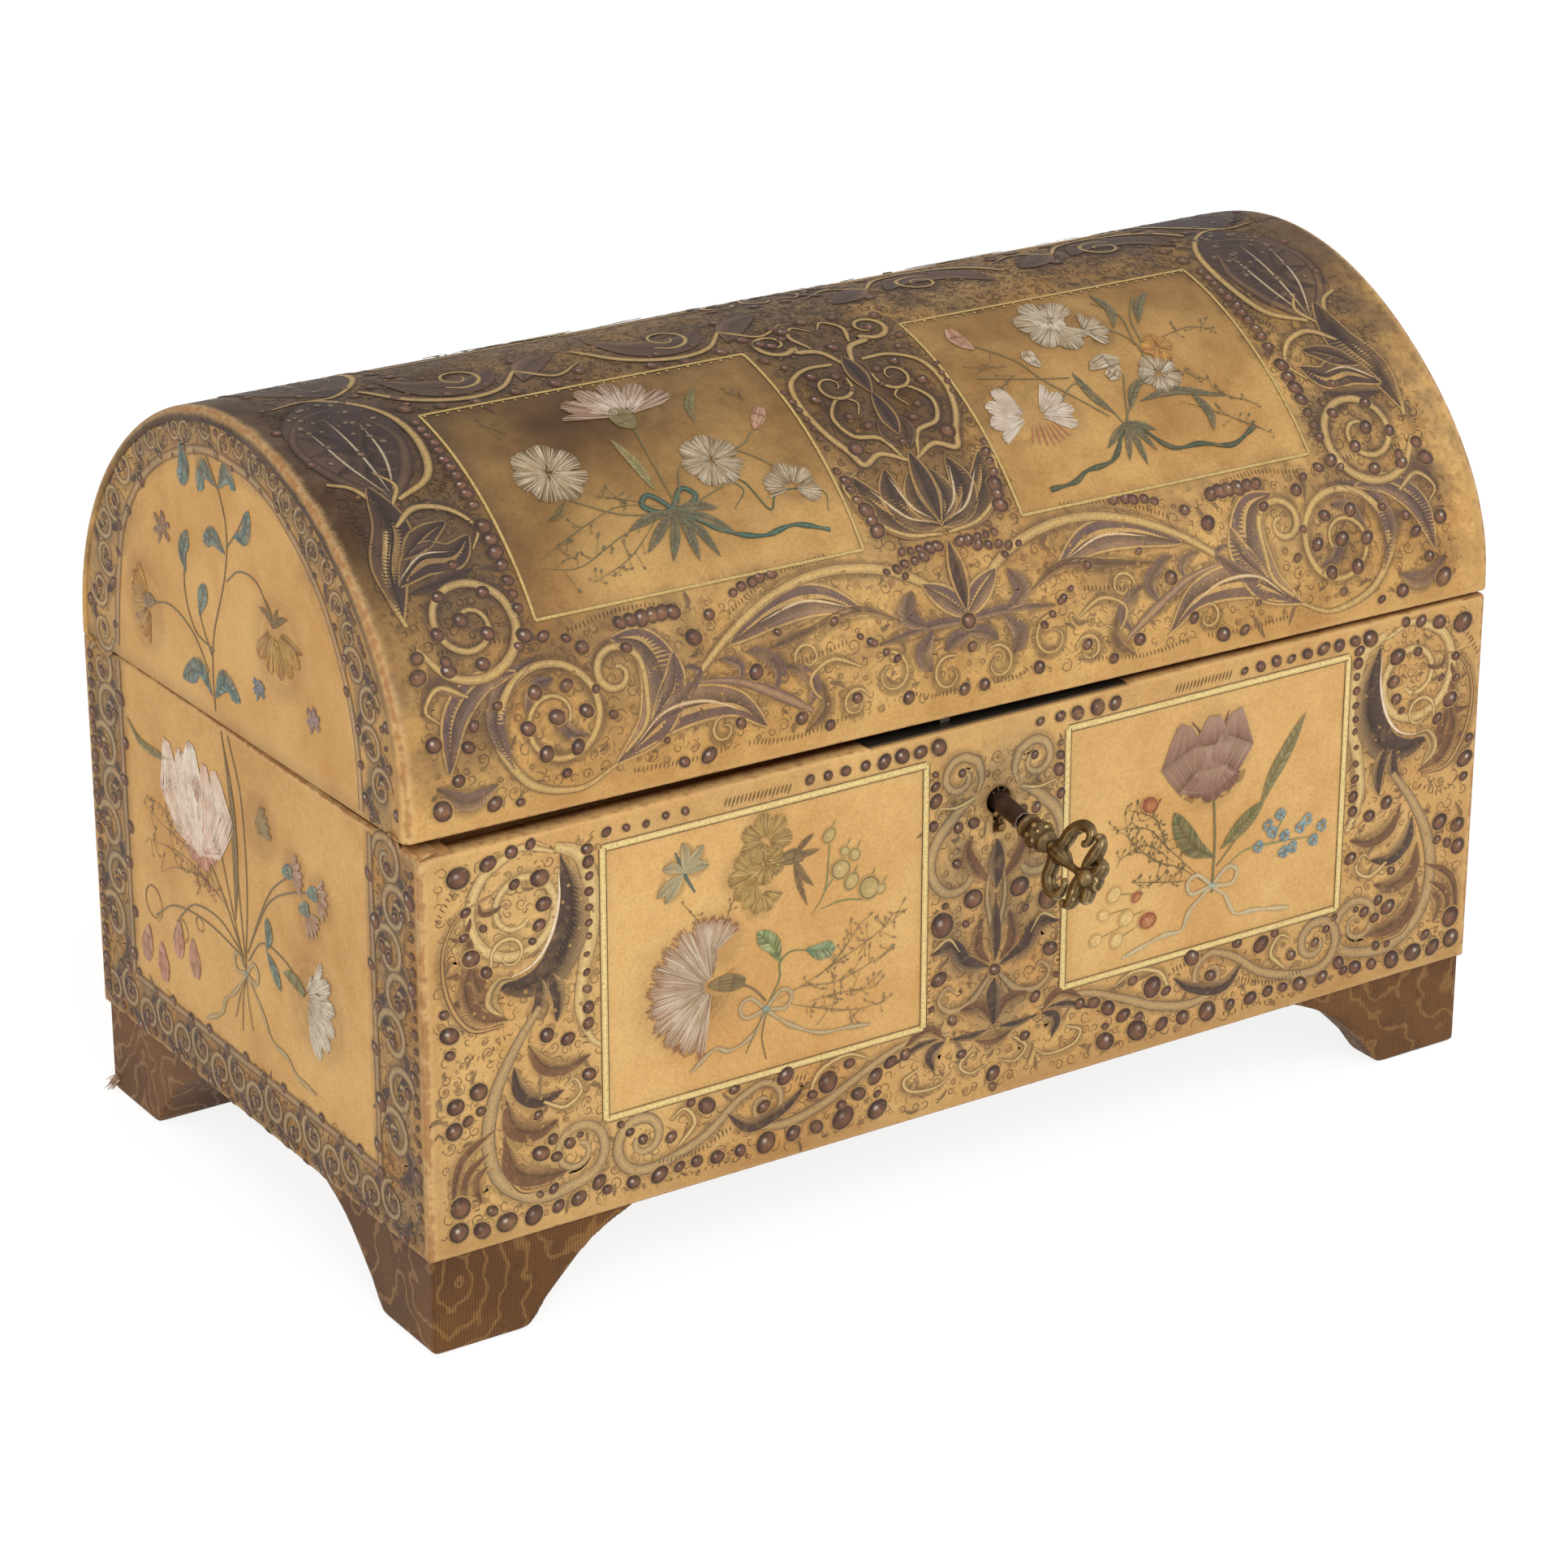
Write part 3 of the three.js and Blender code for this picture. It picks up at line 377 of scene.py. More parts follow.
def wall_grid(half, seats=()):
    edge = CORNER * math.pi / 4
    flat = half - CORNER
    bend = np.linspace(0, edge, 5)
    cuts = [edge + shift for seat in seats for edge in seat for shift in (-0.06, 0.06)]
    us = steps(-flat, flat, 3.0, np.concatenate([flat + bend, -flat - bend, cuts]))
    bent = EDGE * math.pi / 2
    top = RIM - EDGE + np.concatenate([np.linspace(0, bent, 6), [bent + 5.5]])
    foot = UNDER + EDGE - np.linspace(0, EDGE, 4)
    return us, steps(UNDER + EDGE, RIM - EDGE, 3.0, np.concatenate([top, foot]))


KEYHOLE = (3.3, 94.4, 3.2, 3.0, 7.6)


def keyhole(piece):
    """Cuts the round and the slot below it through the skin."""
    across, up, radius, slot, drop = KEYHOLE
    turn = np.linspace(-0.5 * math.pi + 0.48, 1.5 * math.pi - 0.48, 29)
    outline = [(across + radius * math.cos(a), up + radius * math.sin(a)) for a in turn]
    outline += [(across - slot / 2, up - drop), (across + slot / 2, up - drop)]
    count = len(outline)
    points = [(x, -FACE + depth, z) for depth in (-3, 4) for x, z in outline]
    faces = [list(range(count)), list(range(count, 2 * count))[::-1]]
    faces += [[k, k + count, (k + 1) % count + count, (k + 1) % count] for k in range(count)]
    mesh = bpy.data.meshes.new("keyhole")
    mesh.from_pydata(to_world(np.array(points)).tolist(), [], faces)
    punch = bpy.data.objects.new("keyhole", mesh)
    bpy.context.scene.collection.objects.link(punch)
    cut = piece.modifiers.new("keyhole", "BOOLEAN")
    cut.solver, cut.object = "EXACT", punch
    shape = bpy.data.meshes.new_from_object(piece.evaluated_get(bpy.context.evaluated_depsgraph_get()))
    piece.modifiers.clear()
    piece.data = shape
    bpy.data.objects.remove(punch)
    shape.color_attributes.remove(shape.color_attributes["Tint"])
    spots = np.array([corner.co for corner in shape.vertices]) * 1000 - middle
    values = long_tone(spots[:, 0], spots[:, 2])
    values[:, 1] += 0.5 * near(np.hypot(spots[:, 0] - across, spots[:, 2] - up), radius, 3)
    tint(piece, values)


us, vs = wall_grid(HALF, seats=LOCK_SEAT)
keyed = sheet("front_parchment", on_front, us, vs, long_tone, case_parchment, "case",
    ["body_parchment_front"])
keyhole(keyed)
us, vs = wall_grid(HALF, seats=HINGE_SEATS)
sheet("back_parchment", on_back, us, vs, long_tone, case_parchment, "case", ["body_parchment_back"])
us, vs = wall_grid(FACE)
sheet("left_parchment", on_left, us, vs, end_tone, case_parchment, "case", ["body_parchment_left"])
sheet("right_parchment", on_right, us, vs, end_tone, case_parchment, "case", ["body_parchment_right"])


def dome_tone(u, v):
    """Darkest over the top and to the left; the panels keep a lighter colour."""
    rim = np.minimum(v, ARC - v)
    panels = inside(rim, 40.6, 100) * np.maximum(inside(u, -104.6, -24), inside(u, 17.4, 97))
    climb, left = np.clip((rim - 8) / 80, 0, 1), np.clip((40 - u) / 180, 0, 1)
    deep = 0.03 + 0.12 * left * np.clip((rim - 16) / 20, 0, 1) + 0.5 * climb + 0.3 * left * climb
    deep = deep + 0.3 * near(u, -132, 34) * np.clip((rim - 30) / 40, 0, 1)
    corner = near(np.abs(u + 3), 116, 34) * np.clip(rim / 8, 0, 1)
    deep = deep + 0.25 * near(u, 128, 30) * np.clip((rim - 50) / 40, 0, 1)
    deep = deep + 0.22 * inside(u, -20, 14, 4) * np.clip((rim - 30) / 30, 0, 1)
    border = (1 - panels) * (0.3 + 0.45 * climb + 0.3 * corner) * np.clip(rim / 16, 0.1, 1)
    rubbed = np.maximum(near(np.abs(u - SHIFT), LID_HALF - 0.5, 3.4), 0.9 * near(rim, 0, 2.6))
    return np.stack([border, deep, rubbed, np.ones_like(u)], 1)


start = LID_HALF - LID_CORNER
lap = start + LID_CORNER * math.pi / 2 + 1.3
bend = start + np.linspace(0, LID_CORNER * math.pi / 2, 8)
us = SHIFT + steps(-start, start, 3.0, np.concatenate([bend, -bend, [lap, -lap]]))
tuck = np.array([-6.0, -0.4, -0.2, 0.0, 0.3, 0.8])
vs = steps(0.8, ARC - 0.8, 2.4, np.concatenate([tuck, ARC - tuck]))
sheet("lid_dome_parchment", on_dome, us, vs, dome_tone, lid_parchment, "lid", ["lid_parchment_dome"])


# Lid ends
# A flat arch of the same skin inside the dome's lap, sunk a hair below it.
def lid_end_tone(u, v):
    """Plain inside the arched panel, greyed outside it."""
    arch = 1 - np.hypot((u - 0.5) / 57, np.maximum(v - 118, 0) / 60)
    border = 1 - np.clip(arch * 30, 0, 1)
    return np.stack([0.75 * border, 0.24 + 0.2 * border, np.zeros_like(u), np.ones_like(u)], 1)


def lid_end(name, away, node):
    shares, insets = np.linspace(0, 1, 61), np.array([2.6, 3.2, 5, 9, 14, 20, 30, 42, 54, 64])
    share, inset = np.meshgrid(shares, insets)
    y, z = lid_arch(inset.ravel(), share.ravel())
    x = np.full_like(y, away * (LID_HALF - SUNK))
    points = settle(np.stack([x, y, z], -1))
    faces = [*lattice(shares, insets), list(range(9 * len(shares), 10 * len(shares)))]
    if away > 0:
        faces = [face[::-1] for face in faces]
    piece = new_piece(name, points, faces, case_parchment, "lid")
    tint(piece, lid_end_tone(away * points[:, 1], points[:, 2]))
    thick = piece.modifiers.new("thickness", "SOLIDIFY")
    thick.thickness = 0.0005
    thick.offset = -1
    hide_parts(node)


lid_end("lid_left_parchment", -1, "lid_parchment_left")
lid_end("lid_right_parchment", 1, "lid_parchment_right")


# Painting
# Ornament is thin skins of paint, beads and thread over a surface, each mark a hair above the one before.
def inks(*codes):
    return np.array([colour(code) for code in codes])


def flow(points, step=0.8):
    """A smooth line through the points given, with a point about every step."""
    p = np.asarray(points, float)
    p = np.vstack([2 * p[0] - p[1], p, 2 * p[-1] - p[-2]])
    line = []
    for a, b, c, d in zip(p, p[1:], p[2:], p[3:]):
        t = np.linspace(0, 1, max(2, int(np.hypot(*(c - b)) / step) + 1))[:-1, None]
        line.append(b + t * (c - a) / 2 + t**2 * (a - 2.5 * b + 2 * c - d / 2) + t**3
            * (1.5 * (b - c) + (d - a) / 2))
    return np.vstack(line + [p[-2:-1]])


def curl(centre, radius, start, turns, inner=0.25):
    """A spiral's points from the outside in: start in degrees, turns counted anticlockwise."""
    share = np.linspace(0, 1, max(4, int(abs(turns) * 10)))
    angle = np.radians(start + 360 * turns * share)
    reach = radius * (1 - (1 - inner) * share)
    return np.stack([centre[0] + reach * np.cos(angle), centre[1] + reach * np.sin(angle)], 1).tolist()


def swell(share, start=0.0, end=0.0, peak=0.4):
    """How wide a leaf is along its length, from 0 to 1."""
    rising = start + (1 - start) * np.sin(np.clip(share / peak, 0, 1) * math.pi / 2)
    falling = end + (1 - end) * np.cos(np.clip((share - peak) / (1 - peak), 0, 1) * math.pi / 2) ** 0.8
    return np.where(share < peak, rising, falling)


# The last two digits of a colour of eight say how thickly it covers the skin.
INK = "2e2018d8"
BAND = ("2e2018e0", "7a6c58b8", "a8946c88")
PALE = ("3a2a1ed8", "a08c6080", "e0c88c98")
LEAF = ("2e1e18f0", "5a3d2ef0", "a8834ca0")
BROWN = ("3a241ae8", "6b4430e8", "a8804c60")
DARK = ("1e1412f0", "42302ef5", "7a665860")
# A bead's rim, its painted shade, its own colour and its painted glint.
BEAD = ("22120c", "3e241a", "8e6248", "f6eee2")
GLINT = [(-1, "d8ccbc00"), (0, "f4eee2f0"), (1, "d8ccbc00")]
MAUVE = ("7d5248", "8f6656", "9d7866")


def thin(code, cover="00"):
    return code[:6] + cover


# Where the lid end's outline is measured from, and how far each mark lies above the last, in millimetres.
PANEL_FOOT = 116
MARK_LIFT, BEAD_LIFT, SHADE_LIFT = 0.0004, 0.0002, 0.00008


class Painter:
    def __init__(self, place, tone, seed, reach=1000, dull=0.12, soil="9a7a50", shadow="4a301c58"):
        self.place = place
        self.dull, self.soil = dull, np.array(colour(soil))
        self.tone = tone
        self.reach = reach
        self.copies = [(1, 0)]
        self.chance = np.random.default_rng(seed)
        self.layers = {"paint": [], "silk": []}
        self.height, self.depth, self.shadow = 0.05, 0.008, shadow

    def within(self, u, v, r):
        """Whether a dot clears the surface's edge, which is a width or an outline of angles and reaches."""
        if np.ndim(self.reach) == 0:
            return abs(u) + r < self.reach
        return np.hypot(u, v - PANEL_FOOT) + r < np.interp(math.atan2(v - PANEL_FOOT, u), *self.reach)

    def fit(self, u, v):
        """The places given, pulled in to the surface's edge where they would pass it."""
        if np.ndim(self.reach) == 0:
            return np.clip(u, -self.reach, self.reach), v
        pull = np.interp(np.arctan2(v - PANEL_FOOT, u), *self.reach) / (np.hypot(u, v - PANEL_FOOT) + 1e-9)
        return u * np.minimum(1, pull), PANEL_FOOT + (v - PANEL_FOOT) * np.minimum(1, pull)

    def mirrored(self, axis):
        self.copies = [(1, 0), (-1, 2 * axis)]

    def single(self):
        self.copies = [(1, 0)]

    def mark(self, layer, side, u, v, height, faces, tints):
        """Adds faces over places u and v at their heights, with their colours and the skin's own tone."""
        u, v, height = (np.broadcast_to(a, u.shape).ravel() for a in (u, v, height))
        u, v = self.fit(u, v)
        colours = np.hstack([tints.reshape(-1, 4), self.tone(u, v)])
        self.layers[layer].append((self.place(u, v, height), faces if side > 0 else faces[:, ::-1],
            colours))

    def lay(self, layer, u, v, tints):
        """A grid of points, rows by columns, each with a colour."""
        self.height += MARK_LIFT
        faces = np.array(lattice(range(u.shape[1]), range(u.shape[0])))
        for side, shift in self.copies:
            self.mark(layer, side, side * u + shift, v, self.height, faces, tints)

    def strip(self, line, width, profile, layer="paint", smooth=True):
        """A band along a line: profile lists places across it, from -1 to 1, each with a colour or two."""
        line = flow(line) if smooth else np.asarray(line, float)
        share = np.concatenate([[0], np.cumsum(np.hypot(*np.diff(line, axis=0).T))])
        share /= share[-1]
        ahead = np.gradient(line, axis=0)
        ahead /= np.linalg.norm(ahead, axis=1, keepdims=True) + 1e-9
        aside = np.stack([-ahead[:, 1], ahead[:, 0]], 1)
        half = (width(share) if callable(width) else np.full_like(share, width)) / 2
        across = np.array([place for place, *_ in profile], float)
        spots = line[:, None] + aside[:, None] * (half[:, None] * across)[..., None]
        first, last = inks(*(codes[0] for _, *codes in profile)), inks(*(codes[-1] for _,
            *codes in profile))
        tints = first + (last - first) * share[:, None, None]
        self.lay(layer, spots[..., 0], spots[..., 1], tints)

    def line(self, points, code=INK, width=0.28, layer="paint"):
        shape = lambda s: width * (0.35 + 0.65 * np.sin(np.pi * np.clip(s, 0.03, 0.97)))
        self.strip(points, shape, [(-1, code), (1, code)], layer)

    def shade(self, points, width):
        """Soft shading on the skin under a band or leaf, below everything else."""
        height, self.height, self.depth = self.height, self.depth, self.depth + SHADE_LIFT
        profile = [(-1, thin(self.shadow)), (-0.6, self.shadow), (0.6, self.shadow), (1, thin(self.shadow))]
        self.strip(points, lambda s: width * swell(s, 0.1, 0.1, 0.5), profile)
        self.height = height

    def band(self, points, width, tones=BAND, start=0.5, end=0.25):
        """A ribbon between two pen lines, washed darker towards them."""
        edge, shade, body = tones
        grown = lambda s: start + (1 - start) * np.sin(np.pi * np.clip(s / 0.6, 0, 0.5))
        shape = lambda s: width * grown(s) * (1 - (1 - end) * s**2)
        pen = min(0.32, 0.5 / width)
        self.shade(points, width + 3.2)
        half = [(-1, thin(edge)), (pen * 0.4 - 1, edge), (pen * 0.8 - 1, edge), (pen * 1.2 - 1, shade),
            (-0.1, body)]
        self.strip(points, shape, half + [(-place, code) for place, code in half[::-1]])

    def leaf(self, points, width, tones=LEAF, peak=0.4, vein=True):
        """A leaf dark along one edge that fades over its vein, with pen hatching where it is wide."""
        edge, dark, light, *pale = tones
        shape = lambda s: width * swell(s, peak=peak)
        pen = min(0.25, 0.4 / width)
        if width > 2:
            self.shade(points, width * 1.25 + 3)
        if pale and width > 2:
            brim = [(-1, thin(edge)), (-0.97, edge), (-0.93, pale[0]), (0, pale[0]), (0.93, pale[0]),
                (0.97, edge), (1, thin(edge))]
            self.strip(points, lambda s: (width + 1.5) * swell(s, 0.12, 0.08, peak), brim)
        self.strip(points, shape, [(-1, thin(edge)), (pen * 0.5 - 1, edge), (pen - 1, dark),
            (0.15, dark, edge), (0.72, light, dark),
                                   (1 - pen, light, dark), (1 - pen / 2, edge), (1, thin(edge))])
        if vein:
            self.line(np.asarray(points), edge, width * 0.05 + 0.1)
        if width > 3:
            line = flow(points, 0.75)
            ahead = np.gradient(line, axis=0)
            ahead /= np.linalg.norm(ahead, axis=1, keepdims=True)
            aside = np.stack([-ahead[:, 1], ahead[:, 0]], 1)
            half = (shape(np.linspace(0, 1, len(line))) / 2)[:, None]
            starts = line + aside * half * 0.1 - ahead * half * 0.2
            self.strokes(starts, line + aside * half * 0.88 + ahead * half * 0.5, 0.2, [thin(edge, "c0")],
                "paint")

    def acanthus(self, spine, size, lobes, side, tones=LEAF, body=0.25):
        """A scrolled leaf: lobes spring from one side of the spine, longest at its middle."""
        line = flow(spine)
        for share in np.linspace(0.95, 0.08, lobes):
            at = int(share * (len(line) - 2))
            ahead = (line[at + 1] - line[at]) / np.linalg.norm(line[at + 1] - line[at])
            aside = side * np.array([-ahead[1], ahead[0]])
            reach = size * (0.45 + 0.55 * math.sin(math.pi * min(1, share + 0.25)))
            tip = line[at] + (aside * 0.8 + ahead * 0.75) * reach
            bulge = line[at] + (aside * 0.62 + ahead * 0.05) * reach
            self.leaf([line[at], bulge, tip, tip + (ahead * 0.35 - aside * 0.12) * reach], reach * 0.42,
                tones, 0.45)
        self.band(spine, size * body, tones[:3], 0.4, 0.15)

    def bead(self, u, v, r, tones=BEAD):
        """A raised glaze dot in a dark ring: painted shade brown above, lighter below, most with one small
        painted glint.
        """
        copies = [(side, shift) for side, shift in self.copies if self.within(side * u + shift, v, 1.3 * r)]
        rim, dark, body, glint = inks(*tones)
        rings = np.array([1.3, 1.04, 0.9, 0.62, 0.42, 0.2, 0.001])
        turn = np.linspace(0, 2 * math.pi, 15 if r > 1 else 9)
        across, up = rings[:, None] * np.cos(turn), rings[:, None] * np.sin(turn)
        lean, squash = self.chance.uniform(-0.25, 0.25), self.chance.uniform(0.82, 1.08)
        rubbed, shine = self.chance.uniform(0.1, 1.0), self.chance.uniform(0.1, 1.0)
        # Painted shade: darker above, to the left and towards the edge, lighter below and to the right.
        shade = np.clip(0.35 + 0.4 * rubbed + 0.45 * across - 0.5 * up, 0, 1)
        shade = shade * np.clip(1.2 - rings, 0, 1)[:, None]
        tints = dark + (body - dark) * np.clip(shade, 0, 1)[..., None]
        # The dark ring fading out to 1.3 radii is partly the bead's outline and partly a painted contact
        # shadow.
        tints[0], tints[1] = [*rim[:3], 0], rim
        # A painted glint up and to the left, strong on some beads and faint on others.
        spark = np.exp(-((across + 0.2) ** 2 + (up - 0.24) ** 2) / 0.035)[..., None] * shine * min(1,
            r / 1.5)
        tints = tints + (glint - tints) * np.clip(spark, 0, 1)
        relief = 0.09 * r * np.sqrt(np.clip(1 - rings**2, 0, 1))[:, None] * np.ones_like(across)
        self.height += BEAD_LIFT
        faces = np.array(lattice(turn, rings))[:, ::-1]
        for side, shift in copies:
            place = side * (u + r * (across + lean * up)) + shift
            self.mark("paint", side, place, v + r * squash * up, self.height + relief, faces, tints)

    def beads(self, spots, tones=BEAD):
        for u, v, r in spots:
            self.bead(u, v, r * self.chance.uniform(0.9, 1.1), tones)

    def row(self, start, stop, count, first, last, tones=BEAD):
        for share in np.linspace(0, 1, count):
            spot = np.array(start) + (np.array(stop) - np.array(start)) * share
            u, v = spot + self.chance.normal(0, 0.15, 2)
            self.bead(u, v, (first + (last - first) * share) * self.chance.uniform(0.85, 1.15), tones)

    def ticks(self, points, length, turn=90, gap=1.1, code=INK, width=0.3):
        """A row of short pen strokes across a line."""
        line = flow(points, gap)
        ahead = np.gradient(line, axis=0)
        angles = np.arctan2(ahead[:, 1], ahead[:, 0]) + math.radians(turn)
        ends = np.stack([np.cos(angles), np.sin(angles)], 1) * length / 2
        self.strokes(line - ends * self.chance.uniform(0.5, 1, (len(line), 1)), line + ends, width, [code],
            "paint")

    def strokes(self, starts, stops, width, codes, layer="silk", fade=None):
        """Many straight stitches at once, each raised along its middle, in colours picked from the codes."""
        starts, stops = np.asarray(starts, float), np.asarray(stops, float)
        self.height += MARK_LIFT
        ahead = stops - starts
        aside = np.stack([-ahead[:, 1], ahead[:, 0]], 1)
        aside = aside / (np.linalg.norm(ahead, axis=1, keepdims=True) + 1e-9) * width / 2
        pick = inks(*codes)[self.chance.integers(0, len(codes), len(starts))]
        pick[:, :3] *= self.chance.uniform(0.82, 1.08, (len(starts), 1))
        if layer == "silk":
            pick += (self.soil - pick) * self.dull
        tail = pick if fade is None else 0.45 * pick + 0.55 * inks(fade)
        places, highs, tints = [], [], []
        for share, wide in ((0, 0.35), (0.5, 1.0), (1, 0.5)):
            for side in (-1, 0, 1):
                places.append(starts + ahead * share + aside * side * wide)
                highs.append(np.full(len(starts), (0.1 if side == 0 else 0.0) * (layer == "silk")))
                # Painted shade: a stroke's two edges are drawn 14% darker than its middle, as on a rounded
                # thread.
                edge_shade = 1 if side == 0 else np.array([0.86, 0.86, 0.86, 1])
                tints.append((pick + (tail - pick) * share) * edge_shade)
        places, highs, tints = np.stack(places, 1), np.stack(highs, 1), np.stack(tints, 1)
        lifts = self.chance.uniform(0, 0.04, (len(starts), 1)) * (layer == "silk")
        cell = np.array([[0, 1, 4, 3], [1, 2, 5, 4], [3, 4, 7, 6], [4, 5, 8, 7]])
        faces = (cell[None] + 9 * np.arange(len(starts))[:, None, None]).reshape(-1, 4)
        for side, shift in self.copies:
            heights = self.height + highs + lifts
            self.mark(layer, side, side * places[..., 0] + shift, places[..., 1], heights, faces[:, ::-1],
                tints)

    def glow(self, u, v, r):
        """Soft shading on the skin round a flower."""
        height, self.height, self.depth = self.height, self.depth, self.depth + SHADE_LIFT
        turn, rings = np.linspace(0, 2 * math.pi, 17), np.array([[1.0], [0.72], [0.001]])
        faint = thin(self.shadow, "30")
        tints = inks(thin(self.shadow), faint, faint)[:, None] + np.zeros((1, 17, 1))
        self.lay("paint", u + r * rings * np.sin(turn), v + r * rings * np.cos(turn), tints)
        self.height = height

    def fan(self, centre, reach, start, stop, codes, count=90, inner=0.15, teeth=7, depth=0.18, width=0.34,
            squash=1.0):
        """Stitches that fan out from a flower's throat to its scalloped edge."""
        count = int(count * 1.7)
        middle = np.radians((start + stop) / 2) if stop - start < 300 else 0
        off = 0.4 * reach if stop - start < 300 else 0
        self.glow(centre[0] + off * math.cos(middle), centre[1] + off * math.sin(middle), reach * 1.02)
        angles = np.radians(np.linspace(start, stop, count) + self.chance.normal(0, 0.8, count))
        share = np.linspace(0, 1, count)
        edge = 1 - depth * (1 - np.abs(np.sin(share * teeth * 0.6 * math.pi)) ** 0.6)
        far = reach * edge * self.chance.uniform(0.96, 1.01, count)
        near_end = reach * self.chance.uniform(inner, inner + 0.4, count)
        beam = np.stack([np.cos(angles), np.sin(angles) * squash], 1)
        self.strokes(centre + beam * near_end[:, None], centre + beam * far[:, None], width, codes)

    def petal(self, points, width, codes, threads=14, peak=0.5, blunt=0.15, fade=None):
        """A petal of long threads side by side along its spine."""
        line = flow(points)
        ahead = np.gradient(line, axis=0)
        aside = np.stack([-ahead[:, 1], ahead[:, 0]], 1) / np.linalg.norm(ahead, axis=1, keepdims=True)
        starts, stops = [], []
        threads = int(threads * 1.5)
        for across in np.linspace(-1, 1, threads):
            share = np.linspace(0, 1, len(line))
            reach = 1 - blunt * self.chance.uniform(0, 0.5)
            last = max(3, int(len(line) * reach))
            trail = line + aside * (across * width / 2 * swell(share, 0.1, 0.1, peak))[:, None]
            stops_at = np.linspace(0, last - 1, 4).astype(int)
            starts += [trail[i] for i in stops_at[:-1]]
            stops += [trail[i] for i in stops_at[1:]]
        self.strokes(starts, stops, width / threads * 1.5, codes, fade=fade)

    def thread(self, points, code, width=0.4):
        """A couched stem of thread."""
        line = flow(points, 0.9)
        self.strokes(line[:-1], line[1:] + (line[1:] - line[:-1]) * 0.25, width, [code])

    def sewn_leaf(self, points, width, codes):
        """A leaf of slanting stitches either side of its vein."""
        gap = 0.5
        line = flow(points, gap)
        ahead = np.gradient(line, axis=0)
        ahead /= np.linalg.norm(ahead, axis=1, keepdims=True)
        aside = np.stack([-ahead[:, 1], ahead[:, 0]], 1)
        half = (width / 2 * swell(np.linspace(0, 1, len(line))))[:, None]
        for side in (-1, 1):
            self.strokes(line, line + side * aside * half + ahead * half * 0.9, gap * 0.95, codes)
        self.thread(points, codes[0], 0.28)

    def sprays(self, stems, code, seed_code, dots=9):
        """Fine branched sprays: hair stems with dots of seed stitch."""
        for stem in stems:
            line = flow(stem)
            self.line(stem, code, 0.2, layer="silk")
            at = line[self.chance.integers(len(line) // 4, len(line), dots)]
            away = self.chance.normal(0, 1.5, (dots, 2))
            self.strokes(at, at + away, 0.12, [code])
            self.strokes(at + away, at + away * 1.25 + 0.35, 0.55, [seed_code, code])

    def crumbs(self, centre, radius, count):
        """Places for short stitches scattered over a disc."""
        angle = self.chance.uniform(0, 2 * math.pi, count)
        reach = radius * np.sqrt(self.chance.uniform(0, 1, count))
        starts = np.array(centre) + np.stack([np.cos(angle), np.sin(angle)], 1) * reach[:, None]
        return starts, starts + self.chance.normal(0, 0.6, (count, 2))

    def finish(self, name, body, paint):
        for layer, material in (("paint", paint), ("silk", silk_thread)):
            marks = self.layers[layer]
            if not marks:
                continue
            starts = np.cumsum([0] + [len(points) for points, _, _ in marks])
            points = np.vstack([points for points, _, _ in marks])
            faces = np.vstack([faces + start for (_, faces, _), start in zip(marks, starts)])
            tints = np.vstack([tints for _, _, tints in marks])
            piece = new_piece(f"{name}_{layer}", points, faces.tolist(), material, body)
            tint(piece, tints[:, :4], "Paint")
            tint(piece, tints[:, 4:])


def painted(name, *tones):
    """Old paint: thick or thin by hand, rubbed so that the skin it lies on shows through in specks."""
    skin = Skin(name, Specular_IOR_Level=0.4)
    base, mottle, grain = ground(skin, *tones)
    tone = skin.node("ShaderNodeAttribute", attribute_name="Paint")
    worn, brushed = skin.noise(620, 3, 0.7), skin.noise(190, 3, 0.6)
    cover = Wire(skin, tone.socket.node.outputs["Alpha"])
    cover = cover * (1 - worn.between(0.52, 0.78) * 0.3) * (1 - brushed.between(0.5, 0.8) * 0.25)
    shaded = (grain.between(0.4, 0.7) * 0.35).blend(tone, colour("1c1410"))
    return skin.drive(cover.blend(base, shaded), 0.52 + mottle * 0.2, grain * 0.5 + mottle + worn * 0.3,
        0.35, 0.0003)


def threads(name):
    skin = Skin(name, Specular_IOR_Level=0.5, Sheen_Weight=0.25, Sheen_Roughness=0.4)
    tone = skin.node("ShaderNodeAttribute", attribute_name="Paint")
    fray, soil = skin.noise(2600, 2, 0.6), skin.noise(300, 3, 0.6)
    base = (soil.between(0.42, 0.72) * 0.42).blend(tone, colour("8f7047"))
    base = (fray.between(0.5, 0.8) * 0.25).blend(base, colour("5b4630"))
    return skin.drive(base, fray * 0.3 + 0.35, fray, 0.5, 0.0002)


case_paint = painted("case_paint", *CASE_TONES)
lid_paint = painted("lid_paint", *LID_TONES)
silk_thread = threads("silk_thread")


# Case front and back ornament
# Scrolls, leaves and beads round two framed panels of needlework; the ends are mirrored about the middle.
FRAME = [(-1, INK), (-0.8, INK), (-0.72, "cfb272"), (0.0, "ecd694"), (0.72, "cfb272"), (0.8, INK), (1, INK)]


def framed(p, left, right, low, high, profile=FRAME, width=1.9):
    box = [(left, low), (right, low), (right, high), (left, high)]
    for a, b in zip(box, box[1:] + box[:1]):
        count = int(math.dist(a, b) / 2) + 2
        line = np.linspace(a, b, count)
        p.strip(line, width, profile, smooth=False)


def stubble(p, left, right, low, high, count, code, length=1.0):
    """Short pen strokes all over a border, laid before what stands on it."""
    starts = np.stack([p.chance.uniform(left, right, count), p.chance.uniform(low, high, count)], 1)
    lean = 0.8 * np.sin(starts[:, 0] * 0.23) + 1.5 * np.sin(starts[:, 1] * 0.31)
    ahead = np.stack([np.cos(lean), np.sin(lean)], 1) * p.chance.uniform(0.4, 1, (count, 1)) * length
    p.strokes(starts, starts + ahead, 0.24, [code], "paint")


